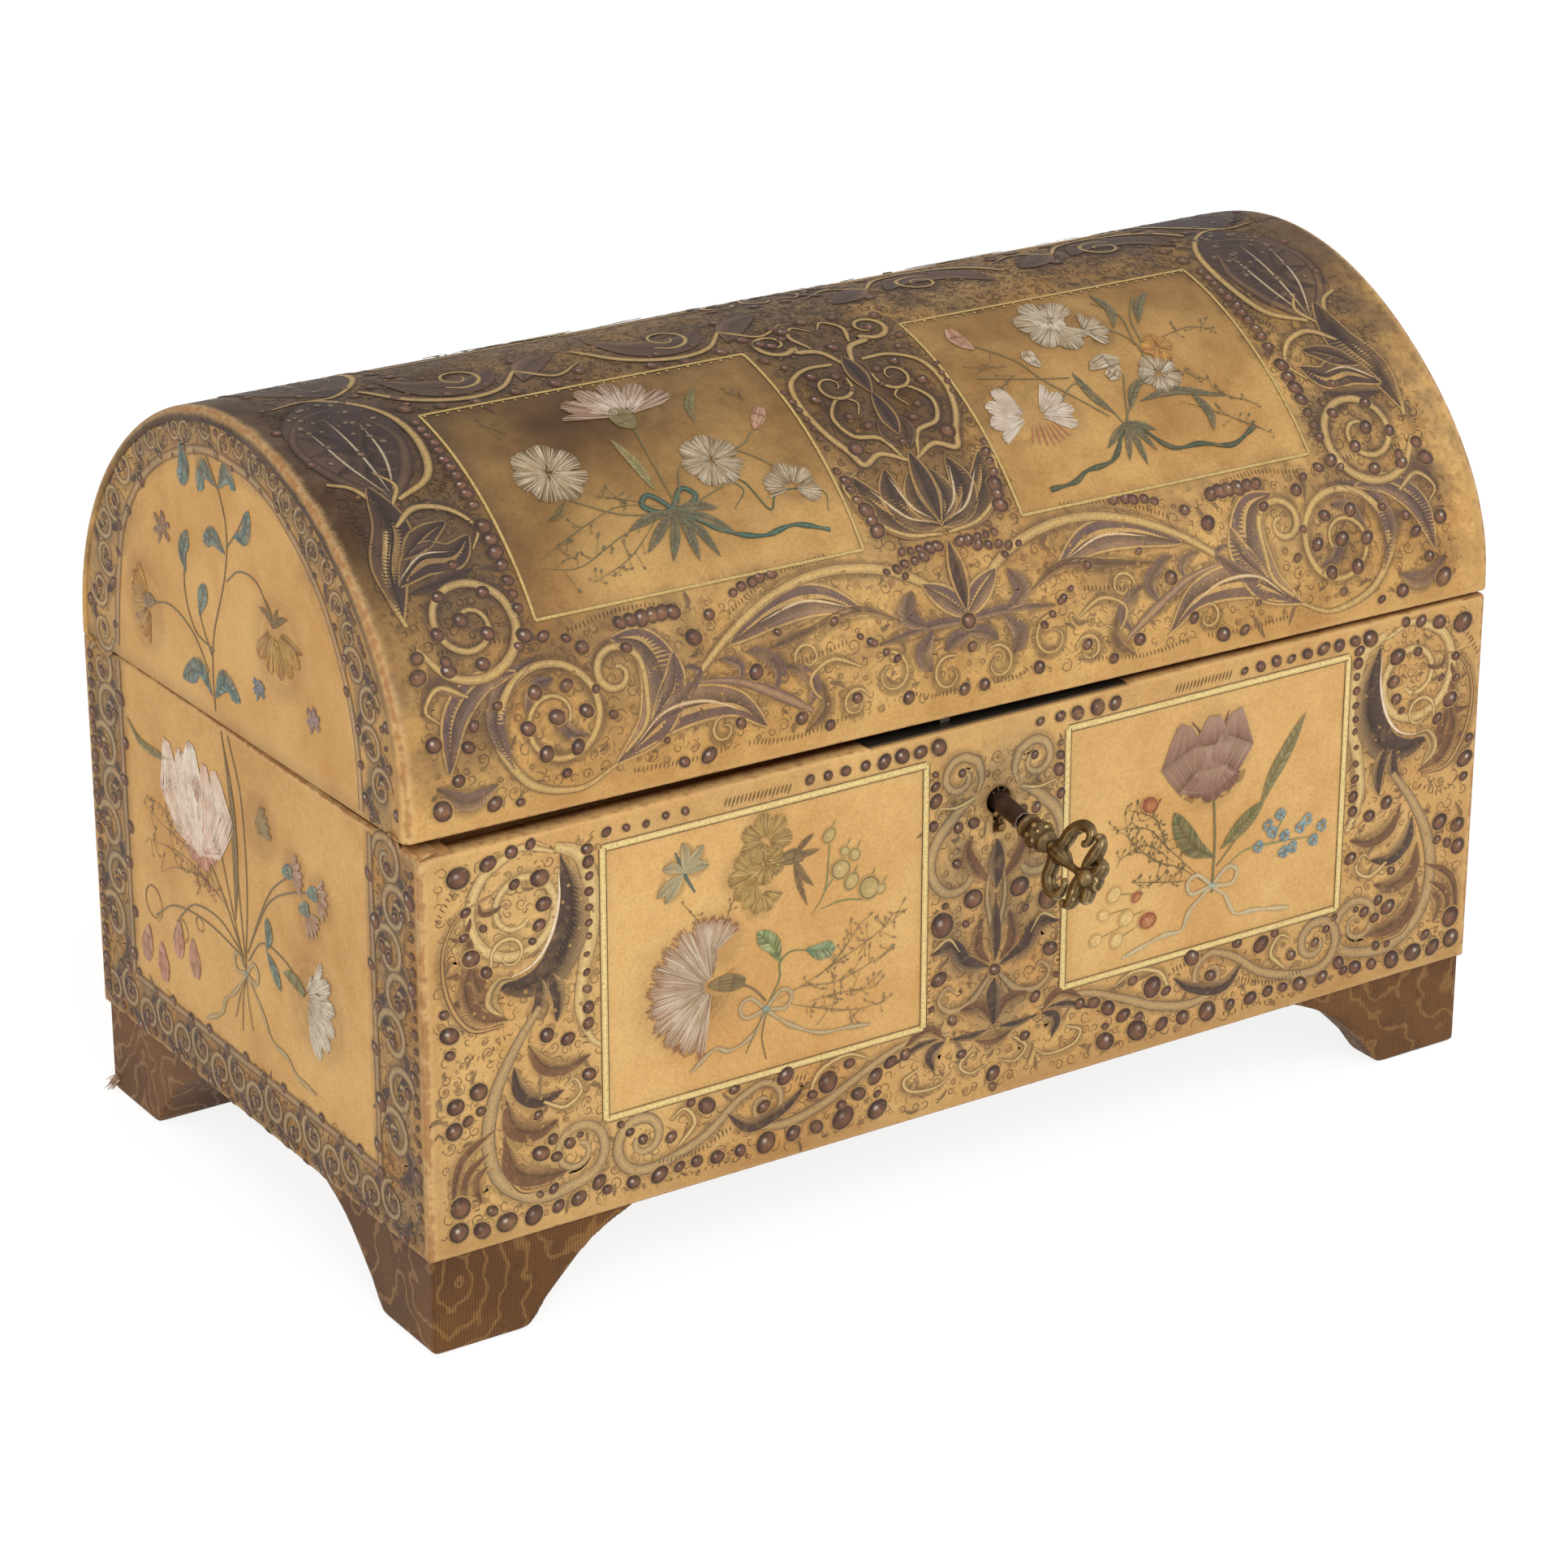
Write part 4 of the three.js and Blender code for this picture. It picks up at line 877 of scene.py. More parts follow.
def filler(p, areas, code, gap=3.7):
    """Small pen curls, rings and dots all over a border, laid before what stands on it."""
    height, turn = p.height, 0
    for left, right, low, high in areas:
        for u in np.arange(left + gap / 2, right, gap):
            for v in np.arange(low + gap / 2, high, gap):
                spot, r = (u, v) + p.chance.uniform(-1.1, 1.1, 2), p.chance.uniform(0.7, 1.9)
                p.line(curl(spot, r, p.chance.uniform(0, 360),
                    p.chance.choice((-1, 1)) * p.chance.uniform(0.6, 1.3), 0.3), code, 0.24)
                if p.chance.uniform() < 0.22:
                    tip = spot + p.chance.normal(0, 2.4, 2)
                    p.leaf([spot, (spot + tip) / 2 + p.chance.normal(0, 0.6, 2), tip],
                        p.chance.uniform(0.9, 1.7), ("2a1a12c8", "46322aa8", "6e564640"), vein=False)
                elif p.chance.uniform() < 0.35:
                    p.bead(*spot, p.chance.uniform(0.35, 0.7),
                        ("2e1c12b0", "6a4628b0", "a87c4880", "e0c894"))
                turn = (turn + 1) % 11
                p.height = height + 0.0012 * turn
    p.height = height + 0.014


def corner_scroll(p):
    p.band([(-108, 110), (-102.5, 107), (-99.8, 100), (-99.8, 90), (-102, 80), (-103, 72), (-100.5, 65),
        (-98, 62.5)], 4.6, PALE)
    p.band([(-108.5, 109), (-115, 111.5), *curl((-117, 98), 13, 95, 1.6)], 3.0, PALE, 0.3, 0.4)
    p.leaf([(-107, 108), (-104.6, 100), (-104.8, 91), (-108.5, 83.5), (-115, 80.5), (-123, 82)], 9.0, DARK,
        0.45)
    p.leaf([(-109.5, 82), (-108, 76), (-108.6, 70.5)], 3.6, DARK, 0.3)
    p.leaf([(-112, 81.5), (-112.5, 76), (-115.5, 72)], 3.2, DARK, 0.3)
    p.strip([(-107.6, 106), (-107.5, 98), (-109.8, 90), (-114, 85), (-121, 83)],
        lambda s: 0.9 * np.sin(math.pi * s), GLINT)
    p.ticks([(-104, 100), (-104.5, 92), (-108, 85)], 3.4, 60, 0.9, "2a1a16", 0.25)
    p.band([(-112.5, 75), (-118, 68), (-123.5, 58), (-125.5, 47), (-122.5, 37), (-114, 31.2),
        (-104.5, 31.8), *curl((-104, 39.5), 7.2, -50, 1.35)], 3.6, BAND, 0.45, 0.35)
    p.acanthus([(-121, 38), (-117, 33.5), (-109, 33.2)], 6, 3, 1, BROWN)
    p.leaf([(-121.5, 47), (-119, 39), (-113, 36), (-106.5, 35.5)], 5.6, BROWN)
    p.leaf([(-121, 56), (-119, 49), (-113.5, 46.5), (-108.5, 48)], 5.2, BROWN)
    p.leaf([(-119, 63), (-117.5, 57), (-113, 53.5), (-107, 54.5)], 4.0, DARK)
    p.leaf([(-115.5, 67), (-112, 61.5), (-106.5, 59.5), (-100.5, 61)], 4.0, BROWN)
    p.band([(-112, 53), (-107, 50.5), (-103, 53), (-104.5, 56.5), (-107, 55.2)], 1.4, PALE)
    for tip, root in (((-134.5, 34.5), (-123.5, 50)), ((-131.5, 32.5), (-125.2, 45)),
            ((-127.5, 33.5), (-125.6, 42))):
        bend = (tip[0] * 0.62 + root[0] * 0.38 - 1.5, root[1] * 0.62 + tip[1] * 0.38)
        p.leaf([root, bend, tip], 2.6, BROWN)
    p.acanthus([(-121, 73), (-129, 74), (-134, 82), (-135, 92), (-131, 100), (-123, 103)], 10, 5, -1, BROWN,
        body=0.16)
    p.leaf([(-120, 74), (-127, 76), (-130, 83), (-128, 90)], 4.2, BROWN)
    p.leaf([(-121, 75), (-124, 79), (-122, 83), (-118, 83)], 3.0, PALE)
    p.band(curl((-119.5, 88.5), 4.6, 200, -1.2), 1.4, PALE)
    for line in ([(-136, 100), (-132, 106), (-127, 109)], [(-130, 68), (-126, 67), (-121, 70)],
            [(-128, 30), (-129, 36), (-128, 43)], [(-101.5, 64), (-101, 72)]):
        p.ticks(line, 1.5, 80, 1.2)
    p.beads([
        (-131, 108.5, 2.4), (-124, 110, 1.9), (-118.5, 111.3, 1.3), (-114, 112, 1.1), (-135, 79, 1.2),
        (-134, 74, 2.1), (-134, 69.5, 1.3), (-133, 57.5, 2.0), (-127.5, 59.5, 1.9), (-133.5, 52, 1.7),
        (-130.2, 53.5, 1.2), (-127, 55, 1.2), (-132.5, 34, 2.1), (-127.5, 27.4, 1.9), (-125, 31.2, 1.3),
        (-133, 28.4, 2.0), (-121.5, 27.6, 2.4), (-115, 27.4, 2.2), (-109, 27.8, 1.5), (-104, 28.2, 1.7),
        (-99, 30.6, 1.6), (-112, 104, 2.1), (-111.2, 98, 1.6), (-112.3, 93.5, 1.4), (-114, 90.3, 0.9),
        (-128.5, 90, 1.9), (-130, 95, 1.2), (-129.5, 100.5, 1.2), (-125.5, 96, 0.9), (-118, 104, 1.2),
        (-111, 68.2, 1.7), (-106, 66, 1.6), (-101, 56.5, 1.6), (-113.5, 50.4, 1.1), (-110, 43.8, 1.3),
        (-113, 41.3, 1.9), (-109.2, 39.5, 1.2), (-106, 41.8, 1.2), (-103.4, 43, 0.9), (-110, 32.2, 1.2),
        (-113.4, 31.8, 0.9), (-125, 86, 1.3),
    ])
    p.row((-100.4, 108), (-100.6, 88), 7, 1.3, 0.7)
    p.row((-101.2, 84), (-100.8, 68), 5, 0.7, 1.4)


def border_run(p):
    p.band([(-62, 33.2), (-52, 31.4), (-42, 33.5), (-32, 38), (-21, 42), (-9, 41.4)], 2.8, BAND, 0.3, 0.3)
    p.band([*curl((-88, 37.6), 7.4, -80, -1.35, 0.2)[::-1], (-80, 31.4), (-72, 34.4), (-65, 39.6),
        *curl((-57.4, 37.4), 5.6, 130, -1.2)], 3.0, BAND, 0.5, 0.35)
    p.leaf([(-67, 38), (-61, 33.4), (-52, 35.4), (-47, 39)], 3.4, DARK)
    p.band([(-46, 36), (-43, 41.5), (-36, 43.6), (-30, 41.2)], 1.6, PALE)
    p.band([(-79, 33.6), (-75, 38), (-77.5, 42), (-81, 40.4)], 1.6, PALE)
    p.ticks([(-84, 31), (-74, 31), (-66, 34)], 1.4, 80, 1.0)
    p.ticks([(-55, 42.6), (-47, 41)], 1.6, 80, 1.0)
    p.beads([
        (-88, 37.6, 1.2), (-91.2, 40.2, 1.0), (-81, 36.2, 1.3), (-72, 41.2, 1.8), (-76, 43, 1.0),
        (-93.4, 42.6, 1.0), (-52, 43, 1.9), (-45, 36.4, 1.2), (-41, 38.4, 2.2), (-35.4, 41.4, 1.4),
        (-57.6, 37, 1.5), (-65, 43.2, 1.3), (-33, 33.4, 1.9), (-28.6, 36.4, 1.8), (-24.6, 38.8, 1.5),
        (-20.6, 39.6, 1.3), (-37.4, 31.8, 1.2), (-28, 32, 0.9),
    ])
    for u, r in ((-97, 1.2), (-90.5, 1.6), (-84, 1.9), (-79, 1.3), (-74.6, 1.4), (-69.5, 1.7), (-63.6, 1.3),
            (-57, 2.2), (-50, 1.7), (-44, 1.6), (-37, 2.5), (-28, 2.3)):
        p.bead(u, 28.4 + 0.4 * math.sin(u), r)
    p.ticks([(-81, 26), (-62, 26.2)], 1.0, 70, 1.6)


def centre_column(p):
    p.band([(-3.4, 96.4), (-8, 93.6), (-13.2, 88), (-14.6, 81.6), (-11, 76), (-5.8, 75.6), (-3.4, 79),
        (-5.6, 82.2)], 3.2, BAND, 0.5, 0.45)
    p.band([(-2.4, 97.4), (-1.4, 101), (-2.6, 105), *curl((-7, 102), 5.0, 40, 1.2)], 2.6, BAND, 0.4, 0.45)
    p.band([(-3, 96.4), (-8, 95.2), (-12.4, 95.8), (-13.2, 93.6)], 1.1, PALE)
    p.leaf([(1.5, 75), (-2.5, 79), (-4.8, 84), (-3.6, 87.6)], 3.6, BROWN)
    p.band([(2.6, 62), (0.6, 72), (1.6, 80)], 1.8, BAND)
    p.leaf([(1.6, 56), (-2.0, 60), (-0.8, 67.5)], 3.4, BROWN)
    p.leaf([(1.6, 55), (-5, 57.5), (-8.4, 62.4), (-14.4, 61.6)], 4.2, DARK)
    p.band([(-13.6, 62.4), (-9.5, 64.4), (-6.5, 60.6)], 1.0, PALE)
    p.band([(1.6, 52.6), (-3.4, 47.6), (-9, 46.8), (-12, 50), (-9.6, 52.8), (-7.8, 51)], 2.2, BAND)
    p.leaf([(2.4, 41.4), (-0.5, 45.6), (-6.4, 46.4)], 3.4, BROWN)
    p.leaf([(1.5, 39.8), (-3, 39.2), (-9, 40)], 1.9, DARK)
    p.leaf([(-10, 40.4), (-15, 43.8), (-21, 41.4)], 3.0, BROWN)
    p.leaf([(-10, 40), (-14, 37.6), (-13, 33.4)], 3.0, DARK)
    p.leaf([(-11.6, 41), (-18, 40.2), (-24, 37.6)], 1.8, DARK)
    p.band([(-2, 36.6), (-6, 33), (-3, 30.2), (1, 31.4)], 1.2, PALE)
    p.band([(-17, 35), (-21, 33), (-19, 30), (-12, 29.4), (-8, 32)], 1.2, PALE)
    p.beads([
        (-13.6, 104.2, 0.9), (-13.6, 101.4, 1.2), (-13.4, 98, 1.5), (-14, 92.2, 1.2), (-6.6, 103, 1.0),
        (-7.4, 90.4, 1.2), (-3.4, 90.6, 1.4), (-7.6, 82, 1.3), (-3.2, 72.6, 2.2), (-11.4, 68.2, 2.5),
        (-12, 55.4, 1.8), (-8.2, 44.6, 1.3), (-5.6, 35.6, 1.2), (-10.6, 72.6, 0.8), (-5, 67, 0.8),
        (-13.8, 48.6, 0.8),
    ])
    p.ticks([(-13.4, 71.6), (-13.4, 65)], 1.0, 90, 1.1)
    p.ticks([(-14.6, 60), (-14.6, 45)], 0.9, 90, 1.3)
    p.single()
    p.leaf([(3, 73.4), (3, 79), (3, 85.4)], 4.4, DARK, 0.5)
    p.leaf([(3, 56), (3, 61), (3, 70.6)], 3.2, DARK, 0.4)
    p.leaf([(3, 52), (3, 47), (3, 40.6)], 4.2, DARK, 0.35)
    p.leaf([(-2, 38), (3, 36.8), (8, 38)], 2.4, BROWN, 0.5)
    p.beads([(3, 28.6, 1.8), (3, 25.4, 1.0), (3, 54, 1.4)])


def white_carnation(p):
    p.thread([(-57, 62), (-60, 65.5), (-64, 68)], "7a6038", 0.7)
    rust, blush = ("8a5436", "a06c4a", "b98a66"), ("c2a68c", "d6c2a8", "b0907a", "dfcdb8")
    p.fan((-70.5, 69), 16.8, 92, 262, rust, 80, 0.6, 16, 0.16)
    p.fan((-70.5, 69), 15.8, 92, 262, blush, 150, 0.1, 16, 0.16)
    p.fan((-70.5, 69), 9.5, 78, 255, ("8d7459", "a98f70", "c9b291"), 60, 0.2, 8, 0.3, 0.3)
    p.fan((-71, 76), 9.3, 34, 104, rust, 36, 0.6, 8, 0.2)
    p.fan((-71, 76), 8.5, 34, 104, blush, 46, 0.15, 8, 0.2)
    p.petal([(-71.5, 69.2), (-67, 68.8), (-61.5, 67.6)], 4.2, ("6b5433", "8b7242", "7c6a3c"), 8)


def marigold(p):
    gold = ("a98640", "bd9a52", "8f6f35", "c9a866")
    for centre, reach, low, high, count in (((-57, 99), 6.8, -30, 215, 70), ((-60, 92), 6.6, 60, 290, 70),
            ((-57, 94), 5.0, 0, 360, 60), ((-58, 88), 5.6, 150, 345, 50)):
        p.fan(centre, reach, low, high, gold, count, 0.1, 8, 0.3, 0.34)
    p.strokes(*p.crumbs((-57, 94), 4.0, 60), 0.5, ("7a5a2a", "dcc07c", "9a7838"))
    p.petal([(-54.5, 93.6), (-50, 94), (-46.4, 93)], 3.4, ("6b5433", "8b7242"), 6)
    for tip in ((-45, 98), (-43.6, 94), (-45, 86), (-46.6, 82)):
        p.sewn_leaf([(-50, 93.6), ((-50 + tip[0]) / 2, tip[1] * 0.6 + 37.4), tip], 1.6,
            ("6b5433", "8b6a3c"))


def ribbon_bow(p, u, v, tones, tails, spread=6.5):
    """A knot with two loops and long waving tails, outlined and partly washed."""
    edge, dark, light = tones
    flat = [(-1, thin(edge)), (-0.8, thin(edge, "b0")), (-0.5, thin(dark, "70")), (0.2, thin(light, "60")),
        (0.8, thin(edge, "b0")), (1, thin(edge))]
    for side in (-1, 1):
        loop = [(u, v), (u + side * spread * 0.6, v + 3.6), (u + side * spread, v + 2.2),
            (u + side * spread * 0.8, v - 0.8), (u, v)]
        p.strip(loop, 1.1, flat)
    for tail in tails:
        p.strip([(u, v), *tail], lambda s: 1.4 * (0.75 + 0.25 * np.cos(s * 22)), flat)
    p.bead(u, v, 0.9, (edge, dark, light, light))


def panel_one(p):
    white_carnation(p)
    marigold(p)
    teal = ("3e4c44c0", "7c9080a0", "aab29070")
    p.line([(-74.6, 91.6), (-77, 96), (-79.4, 101.8)], "4b5a52", 0.9, layer="silk")
    for tip in ((-84, 92.4), (-82, 90.6), (-71, 97), (-72.4, 102), (-77.6, 103.6), (-82.6, 98.6)):
        p.leaf([(-77.4, 96.6), ((-77.4 + tip[0]) / 2 + 0.6, (96.6 + tip[1]) / 2 + 0.6), tip], 2.5, teal,
            0.6, False)
    for stem in ([(-45.4, 79), (-42, 84), (-41, 92), (-40.6, 98.6)], [(-43, 80), (-37, 80.6), (-30, 79)],
            [(-42, 84), (-38, 88.4)]):
        p.line(stem, "7c8458", 0.35)
    for u, v, r in ((-38, 88, 2.4), (-30.6, 82, 2.6), (-41, 96.6, 1.6), (-34.4, 90.6, 1.4),
            (-27.6, 81, 1.2), (-37, 92, 1.2), (-35.2, 84.6, 1.8)):
        p.bead(u, v, r * 0.9, ("3e4630d0", "8e925ea0", "c4b67c70", "e0d4a8"))
        p.line([(u + 0.6, v + r), (u + 1.6, v + r + 1.6)], "6d7a56", 0.25)
    p.sewn_leaf([(-53.4, 70), (-55, 74), (-59, 78.6)], 4.6, ("5f7a4c", "7f9a62", "a9b37a"))
    p.sewn_leaf([(-47, 71.6), (-43.6, 70.4), (-39.4, 70)], 4.4, ("5c8468", "7c9a72", "a0ae80"))
    p.line([(-57, 60.5), (-53.6, 66), (-53.4, 70), (-50.4, 72), (-46, 71)], "6b7a50", 0.4)
    p.sprays([[(-56, 61), (-48, 63), (-38, 62), (-24, 66)], [(-54, 61), (-44, 57), (-34, 54), (-26, 54)],
        [(-50, 62.4), (-40, 66), (-30, 70), (-20.6, 74.6)], [(-44, 64), (-38, 68), (-33, 74)],
        [(-46, 59), (-38, 59), (-29, 58)]], "84704a", "94805a", 24)
    p.sprays([[(-67, 83), (-65, 88)], [(-74, 85), (-77, 89)]], "6a5a34", "8a6a3c", 4)
    p.thread([(-56.6, 60), (-58, 54), (-57, 48.4)], "6b5a38", 0.35)
    p.thread([(-57, 60), (-60, 55), (-62, 51)], "6b5a38", 0.3)
    ribbon_bow(p, -57, 60, ("4f5f5a", "748a82", "a9b8a0"),
        ([(-60, 55), (-66, 52.6), (-70, 54), (-76, 50)],
        [(-52, 55.6), (-46, 52), (-42, 50.6), (-36, 50.2), (-30, 49.4)]))


def mauve_tulip(p):
    p.thread([(62.6, 82), (63.4, 70), (63, 58)], "6f6a3a", 0.8)
    p.glow(61.6, 93, 13)
    p.petal([(62, 83), (66, 90), (69.4, 96.4), (68, 102)], 11, MAUVE, 26, 0.5, 0.08, fade="b79a86")
    p.petal([(61, 83), (55.4, 89), (52.2, 95.6), (54.4, 101.4)], 12, MAUVE, 26, 0.5, 0.08, fade="a98872")
    p.petal([(61.6, 82.6), (61.4, 90), (61.6, 96), (62, 102)], 11, ("7d4f48", "8f6258", "9d7668"), 26, 0.5,
        0.08, fade="c0a48c")
    p.fan((62, 90), 9.5, 205, 335, ("6d3a34", "7d4f48", "8a5a50"), 80, 0.35, 5, 0.15, 0.4)
    for spine in ([(55.6, 101), (58, 98), (58.6, 94)], [(66, 101.6), (65, 98), (65.6, 94.6)]):
        p.line(spine, "5d3a34", 0.5)


def panel_two(p):
    mauve_tulip(p)
    olive = ("4f5428", "6b6c38", "7f7a48")
    p.sewn_leaf([(63.6, 66.4), (58, 70), (54, 75), (51.6, 80)], 5.6, olive)
    p.sewn_leaf([(65, 68), (69, 71), (73.6, 74.4), (77, 77)], 4.2, ("6b6c38", "8a8450"))
    p.sewn_leaf([(76, 76), (79, 82), (83, 88), (88, 96)], 3.8, ("7a7444", "99905c"))
    p.thread([(64, 64), (70, 70), (76, 76), (82, 84)], "7a7444", 0.5)
    p.sprays([[(62, 60), (54, 66), (46, 70), (38, 78)], [(60, 62), (50, 72), (44, 78), (34, 80)],
        [(58, 62), (48, 64), (40, 66)], [(52, 68), (44, 74), (36, 72)], [(50, 72), (46, 80), (38, 84)]],
        "57512f", "5f5632", 22)
    p.beads([(44.6, 83.6, 2.1), (45, 55.4, 2.0), (41.6, 62, 1.3)],
        ("7d3a24", "96492a", "b0694690", "d8a484"))
    for u, v, r in ((35.4, 64, 1.7), (39, 57.4, 1.8), (30.6, 54, 1.5), (36.4, 52.6, 1.6),
            (32.6, 59.6, 1.4)):
        p.bead(u, v, r, ("8a7a4cb0", "d9bc7ea0", "e2c88c80", "ecdcac"))
        p.line([(u, v), (u * 0.7 + 17, v * 0.7 + 18)], "8a7a4c", 0.22)
    blue = ("5d8498", "7ba0aa", "9ab5b0")
    for u, v in ((76, 66), (80, 68.6), (83.4, 63), (82, 72.6), (88, 68), (86, 63.6), (92, 64), (94.4, 67),
            (78.6, 70.6), (90, 69.6), (83.6, 67)):
        p.fan((u, v), 1.7, 0, 360, blue, 12, 0.1, 5, 0.3, 0.42)
    p.line([(65, 62), (72, 66), (80, 66), (92, 65)], "7b8a64", 0.35)
    p.line([(80, 66), (82, 70), (84, 73)], "7b8a64", 0.3)
    ribbon_bow(p, 63, 59.6, ("7b9088", "9fb3a4", "c4cfb6"),
        ([(57, 55), (54.6, 50.6), (49, 50.4), (38, 47.8)], [(67, 56), (70, 51), (76, 50.4), (86, 48.6)]), 7)


def long_side(name, place, seed, rows):
    p = Painter(place, long_tone, seed, HALF - 0.8)
    areas = ((-137, -99, 26, 112), (101, 137, 26, 112), (-99, 101, 25, 43), (-15, 20, 43, 106))
    for left, right, low, high in areas:
        stubble(p, left, right, low, high, int((right - left) * (high - low) / 7), "4a321e90", 1.2)
    filler(p, areas, "3a2618b8", 3.3)
    p.mirrored(1.2)
    corner_scroll(p)
    p.mirrored(3)
    border_run(p)
    centre_column(p)
    framed(p, -97, -16, 44.8, 107)
    framed(p, 21.6, 100, 44.8, 107)
    for low, high, count, first, last in rows:
        p.row((low, 110.4), (high, 110.4), count, first, last)
    p.ticks([(-67, 110), (-51, 109.6)], 2.4, 70, 1.0, INK, 0.35)
    p.ticks([(51, 109.8), (66, 110)], 2.4, 70, 1.0, INK, 0.35)
    panel_one(p)
    panel_two(p)
    p.finish(name, "case", case_paint)


ROWS = ((-46, -13, 8, 1.1, 1.7), (14, 34, 5, 1.1, 1.7))
long_side("front", on_front, 11, (*ROWS, (-96, -77, 5, 1.0, 1.0), (70, 106, 9, 1.0, 1.7)))
long_side("back", on_back, 12, ROWS)


# Lid dome ornament
# The same hand on darker skin: scrolls along each rim, two panels of flowers a side, leaves on the ridge.
ARCH = ("34241cc0", "9c8050a0", "ceae70b0")
SHADE = ("1c1210e8", "3a2828e8", "604a3c78", "b8945e60")
WASHED = ("2c2024d0", "56434ad0", "826c6678", "c0a06a60")
UMBER = ("2e1e18d0", "4e362cd0", "7c625080")
SHEEN = [(-1, "e8d8b800"), (0, "efe2c498"), (1, "e8d8b800")]
LACE = [(-1, "6b5230"), (-0.6, "b79a5c"), (0.6, "c9ad6c"), (1, "6b5230")]


